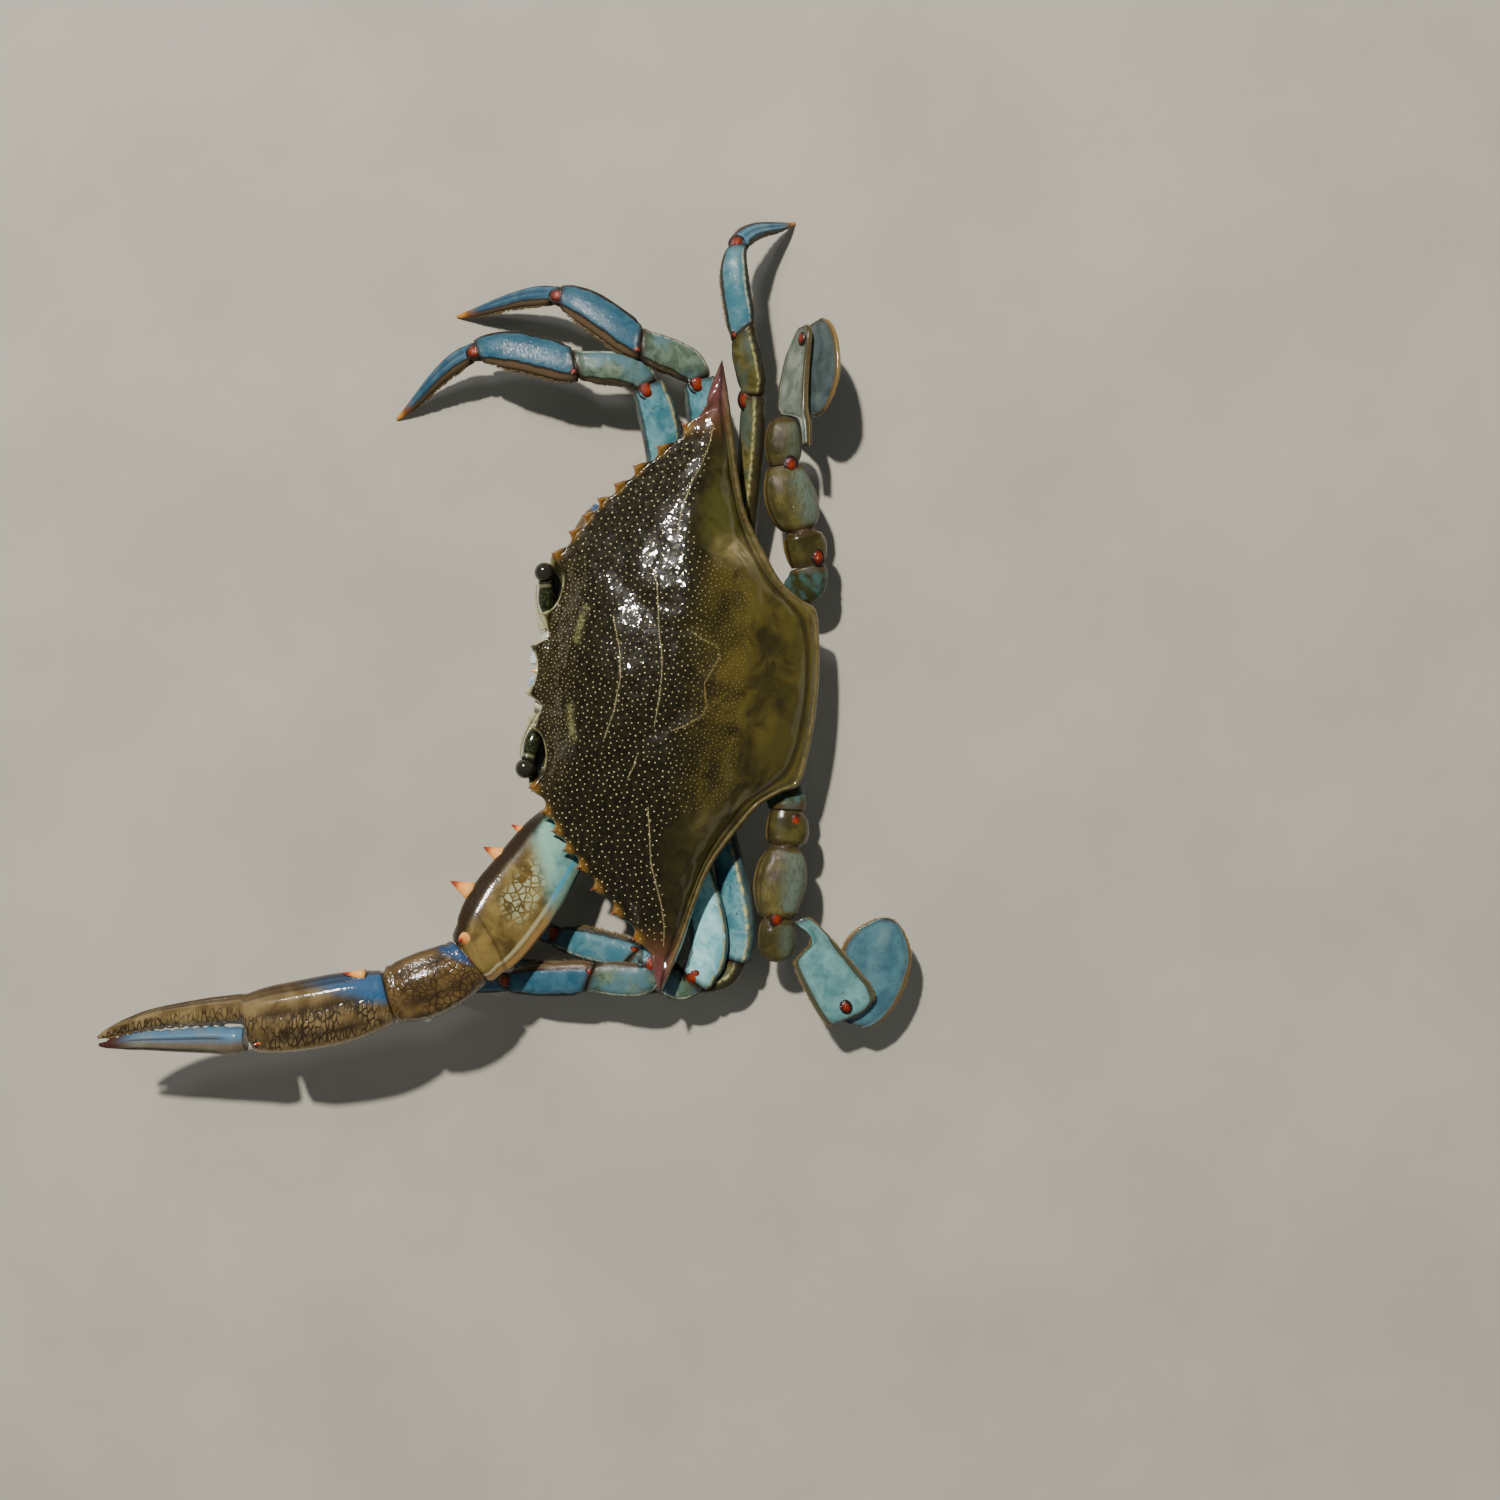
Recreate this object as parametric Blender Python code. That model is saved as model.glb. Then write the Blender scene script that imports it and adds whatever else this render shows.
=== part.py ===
"""A life-size blue crab, at rest on its belly with one claw reached out.

The crab faces -Y and its left side is +X. The floor is Z = 0 and the origin is
the middle of the belly's flat. Lengths in this file are millimetres, and MM
turns them into Blender's metres when a mesh is made.
"""

import math

import bpy
import bmesh
from mathutils import Matrix, Vector

MM = 0.001
GAP = 0.3            # clearance that two touching pieces keep
UP = Vector((0, 0, 1))

# Shell: the carapace between its spine tips, its length and its heights
SPINE_REACH = 82.0
SPINE_LEAN = 2.2     # the crab's right spine is this much longer and the left one shorter
FRONT_Y = -39.3
REAR_Y = 33.0
CROWN = Vector((0, -4, 38.0))
RIM_Z = 23.2
REAR_RIM_Z = 19.6
SEAM_Z = 13.0        # level where the carapace sits on the breast plate
RIM_HALF = 0.9       # half the thickness of the shell's edge
DOME_POWER = 2.3
# Rows of the dome from the edge inwards: (share of the way out, smoothing)
DOME_ROWS = [(0.95, 1), (0.86, 4), (0.72, 8), (0.54, 8), (0.35, 8), (0.17, 8)]

# Tips of the teeth from the eye socket to the last one before the side spine
TOOTH_TIPS = [(30.4, -38.9), (36.4, -35.2), (41.0, -32.2), (45.7, -28.9),
              (49.8, -24.8), (54.9, -20.4), (60.5, -14.8), (66.6, -8.7)]
TOOTH_DEPTH = [2.5, 2.3, 2.3, 2.3, 2.4, 2.5, 2.6, 2.6]
NOTCH_SHARE = (0.62, 0.84)   # place of the notch between two tips, first and last

# Tail flap's outer face from the rear of the shell to its tip: (y, z, half width)
TAIL_FLAP = [(30.9, 16.0, 11.2), (30.4, 13.2, 13.2), (29.4, 10.2, 14.6), (27.4, 6.2, 15.2),
             (23.8, 2.6, 14.6), (18.0, 0.0, 12.6), (15.0, 0.0, 8.4), (11.0, 0.0, 6.8),
             (3.0, 0.0, 5.8), (-7.0, 0.0, 4.4), (-10.0, 0.0, 2.2)]

# Eyes, their stalks and the floor of the socket: (x, front, rear, level, thickness)
EYE = Vector((25.4, -40.3, 21.4))
EYE_RADIUS = 2.6
STALK_ROOT = Vector((14.6, -38.5, 19.4))
SOCKET_FLOOR = [(8.3, -37.3, -25.0, 16.8, 1.8), (16.0, -39.6, -26.0, 16.6, 1.8),
                (24.0, -39.8, -27.0, 17.0, 1.8), (28.4, -39.0, -29.0, 18.8, 1.8),
                (31.2, -37.8, -31.0, 21.4, 1.6)]

# Breast plate: half width, front, rear and the level of its underside
BREAST_HALF = 33.0
BREAST_FRONT = -23.0
BREAST_REAR = 25.0
BREAST_LOW = 2.1

# Joints of the legs: hip, knee, wrist, ankle and tip, as (x, y, z)
LEGS = {
    "R2": [(-33, -8.5, 8.6), (-77.0, -19.2, 15.6), (-80.3, -38.1, 17.0),
           (-82.0, -64.3, 13.0), (-64.2, -86.4, 0.0)],
    "R3": [(-34.5, 1.2, 8.4), (-79.9, -6.0, 15.2), (-87.3, -21.6, 17.6),
           (-98.0, -43.9, 14.4), (-93.4, -73.0, 0.0)],
    "R4": [(-33.5, 10.2, 8.8), (-76.8, 8.7, 17.0), (-92.0, 4.6, 20.5),
           (-114.0, 1.0, 19.5), (-127.3, 15.0, 0.0)],
    "L2": [(33, -8.5, 8.6), (73.9, -2.6, 18.4), (78.0, -18.6, 17.4),
           (81.4, -40.0, 13.0), (88.0, -65.0, 0.0)],
    "L3": [(34.5, 1.2, 8.4), (76.0, 8.3, 15.6), (72.4, -8.6, 9.2),
           (69.0, -29.5, 6.8), (62.0, -53.0, 0.0)],
    "L4": [(33.5, 11.1, 8.8), (70.4, 18.3, 12.2), (78.4, 1.0, 5.6),
           (79.6, -20.0, 6.4), (77.6, -45.0, 0.0)],
}
# How each leg's flat faces turn about its length, in degrees, piece by piece
LEG_ROLL = {
    "R2": (8, 12, 12, 14), "R3": (8, 12, 12, 14), "R4": (-60, -38, -14, -6),
    "L2": (-8, -8, -6, -6), "L3": (-6, -4, 0, 0), "L4": (34, 56, 60, 20),
}
# Width and depth along each piece: (place, width, depth)
MERUS = [(0, 6.2, 5.6), (0.12, 7.0, 5.6), (0.45, 9.0, 5.6), (0.84, 10.2, 5.2),
         (1, 8.2, 4.8)]
CARPUS = [(0, 6.0, 4.6), (0.3, 8.8, 5.0), (0.66, 9.0, 4.8), (1, 7.0, 4.2)]
PROPODUS = [(0, 7.0, 4.0), (0.2, 8.5, 4.3), (0.6, 8.4, 4.1), (0.88, 6.8, 3.8),
            (1, 5.4, 3.4)]
DACTYL = [(0, 5.2, 3.3), (0.12, 5.6, 3.3), (0.45, 4.4, 2.8), (0.78, 2.6, 2.0),
          (1, 0.9, 0.9)]
# How much wider or narrower than the tables each leg's four pieces are
LEG_WIDTH = {"R2": (1, 1, 1.2, 1), "R3": (1, 1.06, 1.15, 1), "R4": (0.94, 0.94, 0.87, 0.94)}
# How far each knee's face turns from thigh towards shin
KNEE_TURN = {"R2": 0.25, "R3": 0.25, "R4": 0.25, "L2": 0.25, "L3": 0.42, "L4": 0.25}
FLAT_FOOT = 0.9      # width of the small flat under each leg tip

# Swimming legs: hip, knee, far end of the carpus, root and end of the paddle's
# first plate, and the root and tip of its blade as seen from above
PADDLE_LEGS = {
    "R5": [(-34.0, 26.4, 15.0), (-59.4, 18.6, 17.6), (-72.0, 17.2, 18.2),
           (-68.6, 21.9, 17.4), (-94.8, 19.6, 13.6), (-98.0, 23.0), (-73.4, 26.4)],
    "L5": [(29.9, 27.2, 14.6), (57.8, 28.2, 17.2), (69.3, 29.3, 17.0),
           (60.6, 35.6, 17.0), (81.7, 46.8, 16.6), (83.9, 50.6), (55.4, 57.8)],
}
# Turns of the merus, the carpus and the paddle about their lengths
PADDLE_ROLL = {"R5": (10, 6, -56), "L5": (-6, -4, 0)}
# Merus with the short ischium before it: (place, width, depth, shift to the rear)
PADDLE_MERUS = [(0, 8.4, 7.0, 0.8), (0.08, 10.6, 8.0, 1.2), (0.2, 11.4, 8.2, 1.2),
                (0.3, 9.2, 7.2, 0.9), (0.36, 9.2, 7.2, 0.8), (0.5, 12.8, 8.3, 0.6),
                (0.66, 14.0, 8.5, 0.3), (0.86, 12.2, 7.8, 0), (1, 8.6, 6.4, 0)]
PADDLE_CARPUS = [(0, 7.4, 5.6), (0.2, 9.2, 6.4), (0.5, 9.8, 6.4), (0.8, 8.2, 5.4),
                 (0.95, 5.0, 3.6), (1, 2.6, 2.0)]
# Paddle's first plate: (place, reach to the rear, reach to the front, thickness).
# Its narrow root lies beside the carpus.
PADDLE_PLATE = {
    "R5": [(-0.16, 4.0, -1.8, 2.0), (0.0, 4.0, -1.4, 2.4), (0.1, 3.6, -0.6, 2.8),
           (0.17, 3.0, 2.4, 3.0), (0.25, 2.8, 8.0, 3.2), (0.34, 2.8, 9.6, 3.2),
           (0.5, 3.0, 9.2, 3.2), (0.66, 3.4, 8.0, 3.0), (0.82, 4.0, 6.2, 2.8),
           (0.94, 4.4, 3.8, 2.4), (1.02, 3.8, 2.0, 2.0), (1.06, 2.6, 0.8, 1.4)],
    "L5": [(-0.14, 2.0, 1.8, 2.2), (-0.06, 3.4, 0.8, 2.5), (0.0, 4.1, -0.1, 2.6),
           (0.08, 4.9, -0.6, 2.8), (0.16, 5.6, 0.0, 3.0), (0.21, 6.0, 3.0, 3.2),
           (0.28, 6.6, 5.6, 3.2), (0.36, 7.2, 5.9, 3.2), (0.5, 8.3, 5.8, 3.2),
           (0.66, 9.5, 5.6, 3.0), (0.82, 10.7, 5.2, 2.8), (0.94, 10.5, 4.6, 2.4),
           (1.02, 8.2, 3.8, 2.0), (1.06, 4.8, 2.6, 1.4)],
}
# Blade: (place, half width, thickness)
PADDLE_BLADE = [(0, 3.6, 1.6), (0.05, 5.4, 1.8), (0.16, 7.8, 2.2), (0.32, 9.4, 2.4),
                (0.5, 9.9, 2.4), (0.66, 9.6, 2.3), (0.8, 7.9, 2.1), (0.91, 5.2, 1.7),
                (0.98, 2.4, 1.2), (1.0, 0.9, 0.8)]

# Claw arms: hip, shoulder, far end of the merus, start of the carpus, wrist, tips.
# The left arm reaches out; the right one is folded under the front of the shell.
ARMS = {
    "L1": [(25.5, -17.5, 8.4), (33.0, -23.0, 11.4), (75.5, -49.0, 26.5),
           (75.5, -49.0, 26.5), (86.0, -68.0, 29.0), (104.6, -140.5, 29.0)],
    "R1": [(-20.5, -17.6, 6.9), (-25.0, -20.0, 7.1), (-41.4, -20.2, 7.5),
           (-44.6, -27.3, 8.4), (-33.4, -32.4, 8.2), (17.2, -41.2, 6.2)],
}
ARM_ROLL = {"L1": (-12, 0, 0), "R1": (62, 78, -84)}
ARM_MERUS = [(0, 10.4, 8.4), (0.1, 12.2, 9.2), (0.4, 17.4, 11.0),
             (0.75, 18.6, 11.4), (0.95, 16.0, 10.6), (1, 13.6, 9.4)]
# the outstretched arm's long piece bulges forward: (place, width, depth, shift to the rear)
REACHING_MERUS = [(0, 10.4, 8.4, 0), (0.1, 13.6, 9.2, -0.8), (0.3, 18.8, 10.6, -1.5),
                  (0.5, 21.0, 11.2, -1.5), (0.65, 22.0, 11.4, -1.6), (0.8, 21.0, 11.4, -1.2),
                  (0.93, 17.6, 10.8, -0.5), (1, 13.6, 9.4, 0)]
# thorns of the front edge: (place, reach of the edge there, length, width)
MERUS_THORNS = {"L1": [(0.33, 10.9, 4.2, 3.4), (0.50, 12.0, 5.2, 4.6), (0.73, 12.4, 6.0, 5.0)],
                "R1": [(0.30, 7.6, 5.6, 4.2), (0.50, 8.5, 5.6, 4.2), (0.72, 8.8, 5.6, 4.2)]}
ARM_CARPUS = [(0, 13.2, 9.6), (0.2, 15.6, 11.4), (0.55, 17.2, 12.4),
              (0.88, 15.6, 11.2), (1, 12.6, 9.2)]
PALM = [(0, 12.8, 9.2), (0.05, 15.6, 11.4), (0.2, 18.2, 13.0), (0.36, 17.6, 12.6),
        (0.47, 15.0, 11.2)]
# Fingers beyond the palm: (place, share of the palm's width, shift across)
FIXED_FINGER = [(0.5, 0.52, 0.24), (0.62, 0.44, 0.27), (0.75, 0.36, 0.26),
                (0.88, 0.27, 0.20), (0.97, 0.15, 0.10), (1.0, 0.06, 0.06)]
MOVABLE_FINGER = [(0.502, 0.40, -0.27), (0.53, 0.47, -0.27), (0.62, 0.42, -0.22),
                  (0.75, 0.34, -0.16), (0.88, 0.25, -0.10), (0.97, 0.13, -0.09),
                  (1.0, 0.06, -0.07)]
RIGHT_ARM_SCALE = 0.7    # the tucked claw is the smaller one


def hermite(start, end, leave, arrive, s):
    """A point and the tangent at share s of a curve with given end directions."""
    reach = (end - start).length
    a, b = leave.normalized() * reach, arrive.normalized() * reach
    s2, s3 = s * s, s * s * s
    place = (start * (2 * s3 - 3 * s2 + 1) + a * (s3 - 2 * s2 + s)
             + end * (3 * s2 - 2 * s3) + b * (s3 - s2))
    along = (start * (6 * s2 - 6 * s) + a * (3 * s2 - 4 * s + 1)
             + end * (6 * s - 6 * s2) + b * (3 * s2 - 2 * s))
    return place, along.normalized()


def axes_across(along, roll):
    """Width and depth directions across a limb whose flat faces look up."""
    wide = UP.cross(along).normalized()
    deep = along.cross(wide).normalized()
    turn = Matrix.Rotation(math.radians(roll), 3, along)
    return turn @ wide, turn @ deep


def ring(centre, wide, deep, width, depth, sides, power=2.2):
    """Points of a rounded section, a superellipse of the given width and depth."""
    points = []
    for i in range(sides):
        angle = 2 * math.pi * (i + 0.5) / sides
        c, s = math.cos(angle), math.sin(angle)
        x = math.copysign(abs(c) ** (2 / power), c) * width / 2
        y = math.copysign(abs(s) ** (2 / power), s) * depth / 2
        points.append(centre + wide * x + deep * y)
    return points


def limb_rings(start, end, leave, arrive, stations, roll, sides=10):
    """Rings of a limb piece. A station is (place, width, depth, shift, lift)."""
    rings = []
    for station in stations:
        s, width, depth = station[:3]
        shift = station[3] if len(station) > 3 else 0
        lift = station[4] if len(station) > 4 else 0
        centre, along = hermite(start, end, leave, arrive, s)
        wide, deep = axes_across(along, roll)
        centre = centre + wide * shift + deep * lift
        rings.append(ring(centre, wide, deep, width, depth, sides))
    return rings


def loft(rings):
    """A bmesh through rings of equal count, capped at both ends."""
    mesh = bmesh.new()
    rows = [[mesh.verts.new(p * MM) for p in row] for row in rings]
    count = len(rows[0])
    for low, high in zip(rows, rows[1:]):
        for i in range(count):
            j = (i + 1) % count
            mesh.faces.new((low[i], low[j], high[j], high[i]))
    mesh.faces.new(list(reversed(rows[0])))
    mesh.faces.new(rows[-1])
    bmesh.ops.triangulate(mesh, faces=mesh.faces[:])
    bmesh.ops.recalc_face_normals(mesh, faces=mesh.faces[:])
    return mesh


def spine(root, tip, width, sides=6):
    """A curved-in thorn from root to tip, as a bmesh."""
    along = (tip - root).normalized()
    wide, deep = axes_across(along, 0)
    rows = [ring(root, wide, deep, width, width * 0.85, sides, 2),
            ring(root.lerp(tip, 0.55), wide, deep, width * 0.55, width * 0.46, sides, 2),
            ring(tip, wide, deep, 0.35, 0.3, sides, 2)]
    return loft(rows)


def material(name, colour, roughness=0.3):
    made = bpy.data.materials.new(name)
    made.use_nodes = True
    shader = made.node_tree.nodes["Principled BSDF"]
    shader.inputs["Base Color"].default_value = (*colour, 1)
    shader.inputs["Roughness"].default_value = roughness
    shader.inputs["Metallic"].default_value = 0.0
    return made


def link(name, mesh, finish):
    """Makes one named object from a bmesh."""
    data = bpy.data.meshes.new(name)
    mesh.to_mesh(data)
    mesh.free()
    data.materials.append(finish)
    data.shade_smooth()
    data.set_sharp_from_angle(angle=math.radians(40))
    made = bpy.data.objects.new(name, data)
    bpy.context.scene.collection.objects.link(made)
    return made


def largest_shell(data):
    """Keeps only the largest closed surface of a mesh."""
    mesh = bmesh.new()
    mesh.from_mesh(data)
    left, shells = set(mesh.faces), []
    while left:
        shell, edge = set(), [left.pop()]
        while edge:
            face = edge.pop()
            shell.add(face)
            near = {f for e in face.edges for f in e.link_faces} & left
            left -= near
            edge.extend(near)
        shells.append(shell)
    keep = max(shells, key=lambda faces: sum(f.calc_area() for f in faces))
    bmesh.ops.delete(mesh, geom=[f for f in mesh.faces if f not in keep], context="FACES")
    bmesh.ops.triangulate(mesh, faces=mesh.faces[:])
    mesh.to_mesh(data)
    mesh.free()


def fused(name, meshes, finish):
    """Joins closed bmeshes into one solid with a Boolean union."""
    base = link(name, meshes[0], finish)
    if len(meshes) == 1:
        return base
    tools = bpy.data.collections.new(name + "_pieces")
    bpy.context.scene.collection.children.link(tools)
    for number, mesh in enumerate(meshes[1:]):
        data = bpy.data.meshes.new(f"{name}_piece_{number}")
        mesh.to_mesh(data)
        mesh.free()
        tools.objects.link(bpy.data.objects.new(data.name, data))
    union = base.modifiers.new("union", "BOOLEAN")
    union.operation = "UNION"
    union.operand_type = "COLLECTION"
    union.collection = tools
    union.solver = "EXACT"
    graph = bpy.context.evaluated_depsgraph_get()
    whole = bpy.data.meshes.new_from_object(base.evaluated_get(graph))
    base.modifiers.clear()
    base.data = whole
    for piece in list(tools.objects):
        bpy.data.objects.remove(piece)
    bpy.data.collections.remove(tools)
    largest_shell(base.data)
    base.data.shade_smooth()
    base.data.set_sharp_from_angle(angle=math.radians(40))
    return base


def joint_faces(points, follow):
    """Direction of the joint face at each inner point of a chain of joints."""
    spans = [(b - a).normalized() for a, b in zip(points, points[1:])]
    faces = [spans[0]]
    for number, (before, after) in enumerate(zip(spans, spans[1:])):
        faces.append(before.slerp(after, follow[number]) if before.angle(after) > 0.01
                     else before)
    faces.append(spans[-1])
    return faces


def chain_piece(points, faces, number, stations, roll, sides=10, scale=1.0):
    """Rings of one piece of a chain of joints, half a gap short at both ends."""
    start = points[number] + faces[number] * GAP / 2
    end = points[number + 1] - faces[number + 1] * GAP / 2
    sized = [(s[0], *(v * scale for v in s[1:])) for s in stations]
    return limb_rings(start, end, faces[number], faces[number + 1], sized, roll, sides)


def foot_flat(rings):
    """Levels the lowest ring of a leg tip, so that the tip stands on a small flat."""
    middle = sum(rings[-1], Vector()) / len(rings[-1])
    count = len(rings[-1])
    rings[-1] = [Vector((middle.x + FLAT_FOOT / 2 * math.cos(2 * math.pi * (i + 0.5) / count),
                         middle.y + FLAT_FOOT / 2 * math.sin(2 * math.pi * (i + 0.5) / count),
                         0.0)) for i in range(count)]
    return rings


def tip_ring_matched(rings):
    """Turns the flat tip ring so that its points follow the ring before it."""
    before, last = rings[-2], rings[-1]
    count = len(last)
    orders = []
    for flip in (1, -1):
        for turn in range(count):
            order = [last[(flip * i + turn) % count] for i in range(count)]
            orders.append((sum((a - b).length for a, b in zip(before, order)), flip, turn))
    _, flip, turn = min(orders)
    rings[-1] = [last[(flip * i + turn) % count] for i in range(count)]
    return rings


def walking_leg(side_name, finishes):
    points = [Vector(p) for p in LEGS[side_name]]
    faces = joint_faces(points, (KNEE_TURN[side_name], 0.5, 0.5))
    rolls = LEG_ROLL[side_name]
    pieces = (("merus", MERUS), ("carpus", CARPUS), ("propodus", PROPODUS),
              ("dactyl", DACTYL))
    widths = LEG_WIDTH.get(side_name, (1, 1, 1, 1))
    for number, (name, stations) in enumerate(pieces):
        stations = [(s, width * widths[number], depth) for s, width, depth in stations]
        rings = chain_piece(points, faces, number, stations, rolls[number])
        if name == "dactyl":
            rings = tip_ring_matched(foot_flat(rings))
        link(f"{name}_{side_name}", loft(rings), finishes[name])


def swimming_leg(side_name, finishes):
    sign = 1 if side_name[0] == "L" else -1
    hip, knee, end, root, far = (Vector(p) for p in PADDLE_LEGS[side_name][:5])
    rolls = PADDLE_ROLL[side_name]
    points = [hip, knee, end]
    faces = joint_faces(points, (0.4,))
    merus = [(s, width, depth, sign * shift) for s, width, depth, shift in PADDLE_MERUS]
    for number, (name, stations) in enumerate((("merus", merus), ("carpus", PADDLE_CARPUS))):
        rings = chain_piece(points, faces, number, stations, rolls[number], 12)
        link(f"{name}_{side_name}", loft(rings), finishes["paddle_" + name])
    span = (far - root).normalized()
    wide, deep = axes_across(span, rolls[2])
    rings = []
    for s, rear, front, thick in PADDLE_PLATE[side_name]:
        centre = root.lerp(far, s) + wide * sign * (rear - front) / 2
        rings.append(ring(centre, wide, deep, rear + front, thick, 12))
    link(f"propodus_{side_name}", loft(rings), finishes["paddle_propodus"])
    start, tip = (blade_point(p, far, deep) for p in PADDLE_LEGS[side_name][5:])
    along = (tip - start).normalized()
    across = along.cross(deep).normalized()
    rings = [ring(start.lerp(tip, s), across, deep, half * 2, thick, 12)
             for s, half, thick in PADDLE_BLADE]
    link(f"dactyl_{side_name}", loft(rings), finishes["paddle_dactyl"])


def blade_point(flat, hinge, normal):
    """The point at a plan position that lies in the plane under the paddle's plate."""
    under = hinge - normal * (1.6 + 1.05 + GAP)
    x, y = flat
    lift = -(normal.x * (x - under.x) + normal.y * (y - under.y)) / normal.z
    return Vector((x, y, under.z + lift))


def claw_arm(side_name, scale, finishes):
    """One claw arm: merus, carpus, palm with its fixed finger, and movable finger."""
    sign = 1 if side_name == "L1" else -1
    rolls = ARM_ROLL[side_name]
    hip, shoulder, elbow, carpus_start, wrist, tip = (Vector(p) for p in ARMS[side_name])
    upper = (elbow - shoulder).normalized()
    middle = (wrist - carpus_start).normalized()
    hand = (tip - wrist).normalized()
    shoulder_face = (shoulder - hip).normalized().slerp(upper, 0.5)
    bent = upper.slerp(middle, 0.4) if elbow == carpus_start else None
    wrist_face = middle.slerp(hand, 0.5)
    merus = [loft(limb_rings(shoulder + shoulder_face * GAP / 2,
                             elbow - (bent or upper) * GAP / 2, shoulder_face,
                             bent or upper,
                             REACHING_MERUS if side_name == "L1" else resized(ARM_MERUS, scale),
                             rolls[0], 12))]
    merus += merus_spines(shoulder, elbow, rolls[0], scale, MERUS_THORNS[side_name])
    fused(f"merus_{side_name}", merus, finishes["arm_merus"])
    rings = limb_rings(carpus_start + (bent or middle) * GAP / 2,
                       wrist - wrist_face * GAP / 2, bent or middle, wrist_face,
                       resized(ARM_CARPUS, scale), rolls[1], 12)
    link(f"carpus_{side_name}", loft(rings), finishes["arm_carpus"])
    start = wrist + wrist_face * GAP / 2
    width = PALM[-1][1] * scale
    outer = -1 if side_name == "L1" else 1
    palm_stations = resized(PALM, scale) + [
        (s, width * share, width * share * 0.95, outer * width * shift)
        for s, share, shift in FIXED_FINGER]
    rings = limb_rings(start, tip, wrist_face, hand, palm_stations, rolls[2], 12)
    palm = [loft(rings)] + palm_spines(start, tip, rolls[2], outer, scale, width)
    fused(f"palm_{side_name}", palm, finishes["palm"])
    stations = [(s, width * share, width * share * 0.95, outer * width * shift)
                for s, share, shift in MOVABLE_FINGER]
    rings = limb_rings(start, tip, wrist_face, hand, stations, rolls[2], 12)
    link(f"finger_{side_name}", loft(rings), finishes["finger"])


def resized(stations, scale):
    return [(s, width * scale, depth * scale) for s, width, depth in stations]


def merus_spines(start, end, roll, scale, places):
    """Thorns on the arm's front edge, and one behind the elbow."""
    span = end - start
    wide, _ = axes_across(span.normalized(), roll)
    front = wide if wide.y < 0 else -wide
    thorns = []
    for share, reach, length, width in places:
        root = start + span * share + front * (reach - 1.8) * scale
        tip = root + (front * length + span.normalized() * length * 0.22) * scale
        thorns.append(spine(root, tip, width * scale))
    root = start + span * 0.9 - front * 6.2 * scale
    tip = root + (span.normalized() * 6.4 - front * 1.6) * scale
    thorns.append(spine(root, tip, 3.4 * scale))
    return thorns


def palm_spines(start, end, roll, outer, scale, width):
    """Thorns on the palm: one beside the wrist and one above the knuckle."""
    span = end - start
    along = span.normalized()
    wide, deep = axes_across(along, roll)
    thorns = []
    for share, side, lift in ((0.07, -0.44, 0.2), (0.40, 0.36, 0.28)):
        root = start + span * share - wide * outer * side * width + deep * lift * width
        tip = root + (along * 4.6 + deep * 1.6 - wide * outer * side * 3.0) * scale
        thorns.append(spine(root, tip, 3.0 * scale))
    return thorns


def half_outline():
    """The shell's edge from the middle of the front round the left side to the rear.

    Each entry is (tip point, base point): the base point is where a smooth edge
    without teeth would lie, and both are the same where there is no tooth.
    """
    edge = [((0, FRONT_Y), (0, FRONT_Y + 0.6)), ((3.2, -40.0), (3.2, -39.0)),
            ((6.2, -41.8), (5.8, -39.0)), ((8.8, -37.4), (8.6, -37.0)),
            ((11.6, -38.4), (11.6, -37.0)), ((14.6, -39.8), (14.0, -36.8)),
            ((16.6, -36.8), (16.8, -35.6)), ((20.7, -35.2), (20.7, -34.4)),
            ((25.4, -35.6), (25.2, -34.0))]
    for number, (x, y) in enumerate(TOOTH_TIPS):
        depth = TOOTH_DEPTH[number]
        after = TOOTH_TIPS[number + 1] if number < 7 else (71.6, -2.9)
        across = Vector((after[0] - x, after[1] - y))
        inward = Vector((-across.y, across.x)).normalized()
        first, last = NOTCH_SHARE
        share = first + (last - first) * number / 7
        if number == 7:
            share, depth = 0.74, 1.1
        tip = Vector((x, y))
        notch = tip + across * share + inward * depth
        side = tip + across * share * 0.5 + inward * depth * 0.32
        base = tip + across * 0.12 + inward * depth * 1.1
        edge.append((tuple(tip), tuple(base)))
        edge.append((tuple(side), tuple(side + inward * depth * 0.75)))
        edge.append((tuple(notch), tuple(notch + inward * 0.5)))
    edge += [((74.4, -2.6), (70.0, -2.2)), ((SPINE_REACH, 0.0), (71.0, 0.2)),
             ((75.4, 2.1), (69.6, 2.0)), ((66.0, 4.6), (64.0, 3.8)),
             ((56.0, 6.8), (55.4, 5.8)), ((47.0, 9.4), (46.4, 8.4)),
             ((40.6, 12.8), (40.0, 11.8)), ((34.6, 16.6), (34.0, 15.6)),
             ((29.0, 20.8), (28.4, 19.8)), ((25.2, 26.0), (24.6, 25.2)),
             ((22.6, 30.4), (22.0, 29.4)), ((15.0, 32.0), (14.6, 31.0)),
             ((7.0, 32.8), (6.8, 31.8)), ((0, REAR_Y), (0, REAR_Y - 1.0))]
    return edge


def rim_height(x, y):
    """Level of the shell's edge: lower at the rear and a little raised in front."""
    front = max(0.0, min(1.0, (-30 - y) / 10))
    rear = max(0.0, min(1.0, (y - 2) / 28))
    return RIM_Z + 1.4 * front + (REAR_RIM_Z - RIM_Z) * rear


def whole_loop(half):
    """Both sides of the edge as one closed loop of (tip, base) points."""
    left = [(Vector((*t, 0)), Vector((*b, 0))) for t, b in half]
    right = [(Vector((-t.x, t.y, 0)), Vector((-b.x, b.y, 0))) for t, b in left[-2:0:-1]]
    loop = left + right
    for tip, _ in loop:
        tip.x -= SPINE_LEAN * max(0.0, min(1.0, (abs(tip.x) - 66) / (SPINE_REACH - 66)))
    return loop


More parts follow.
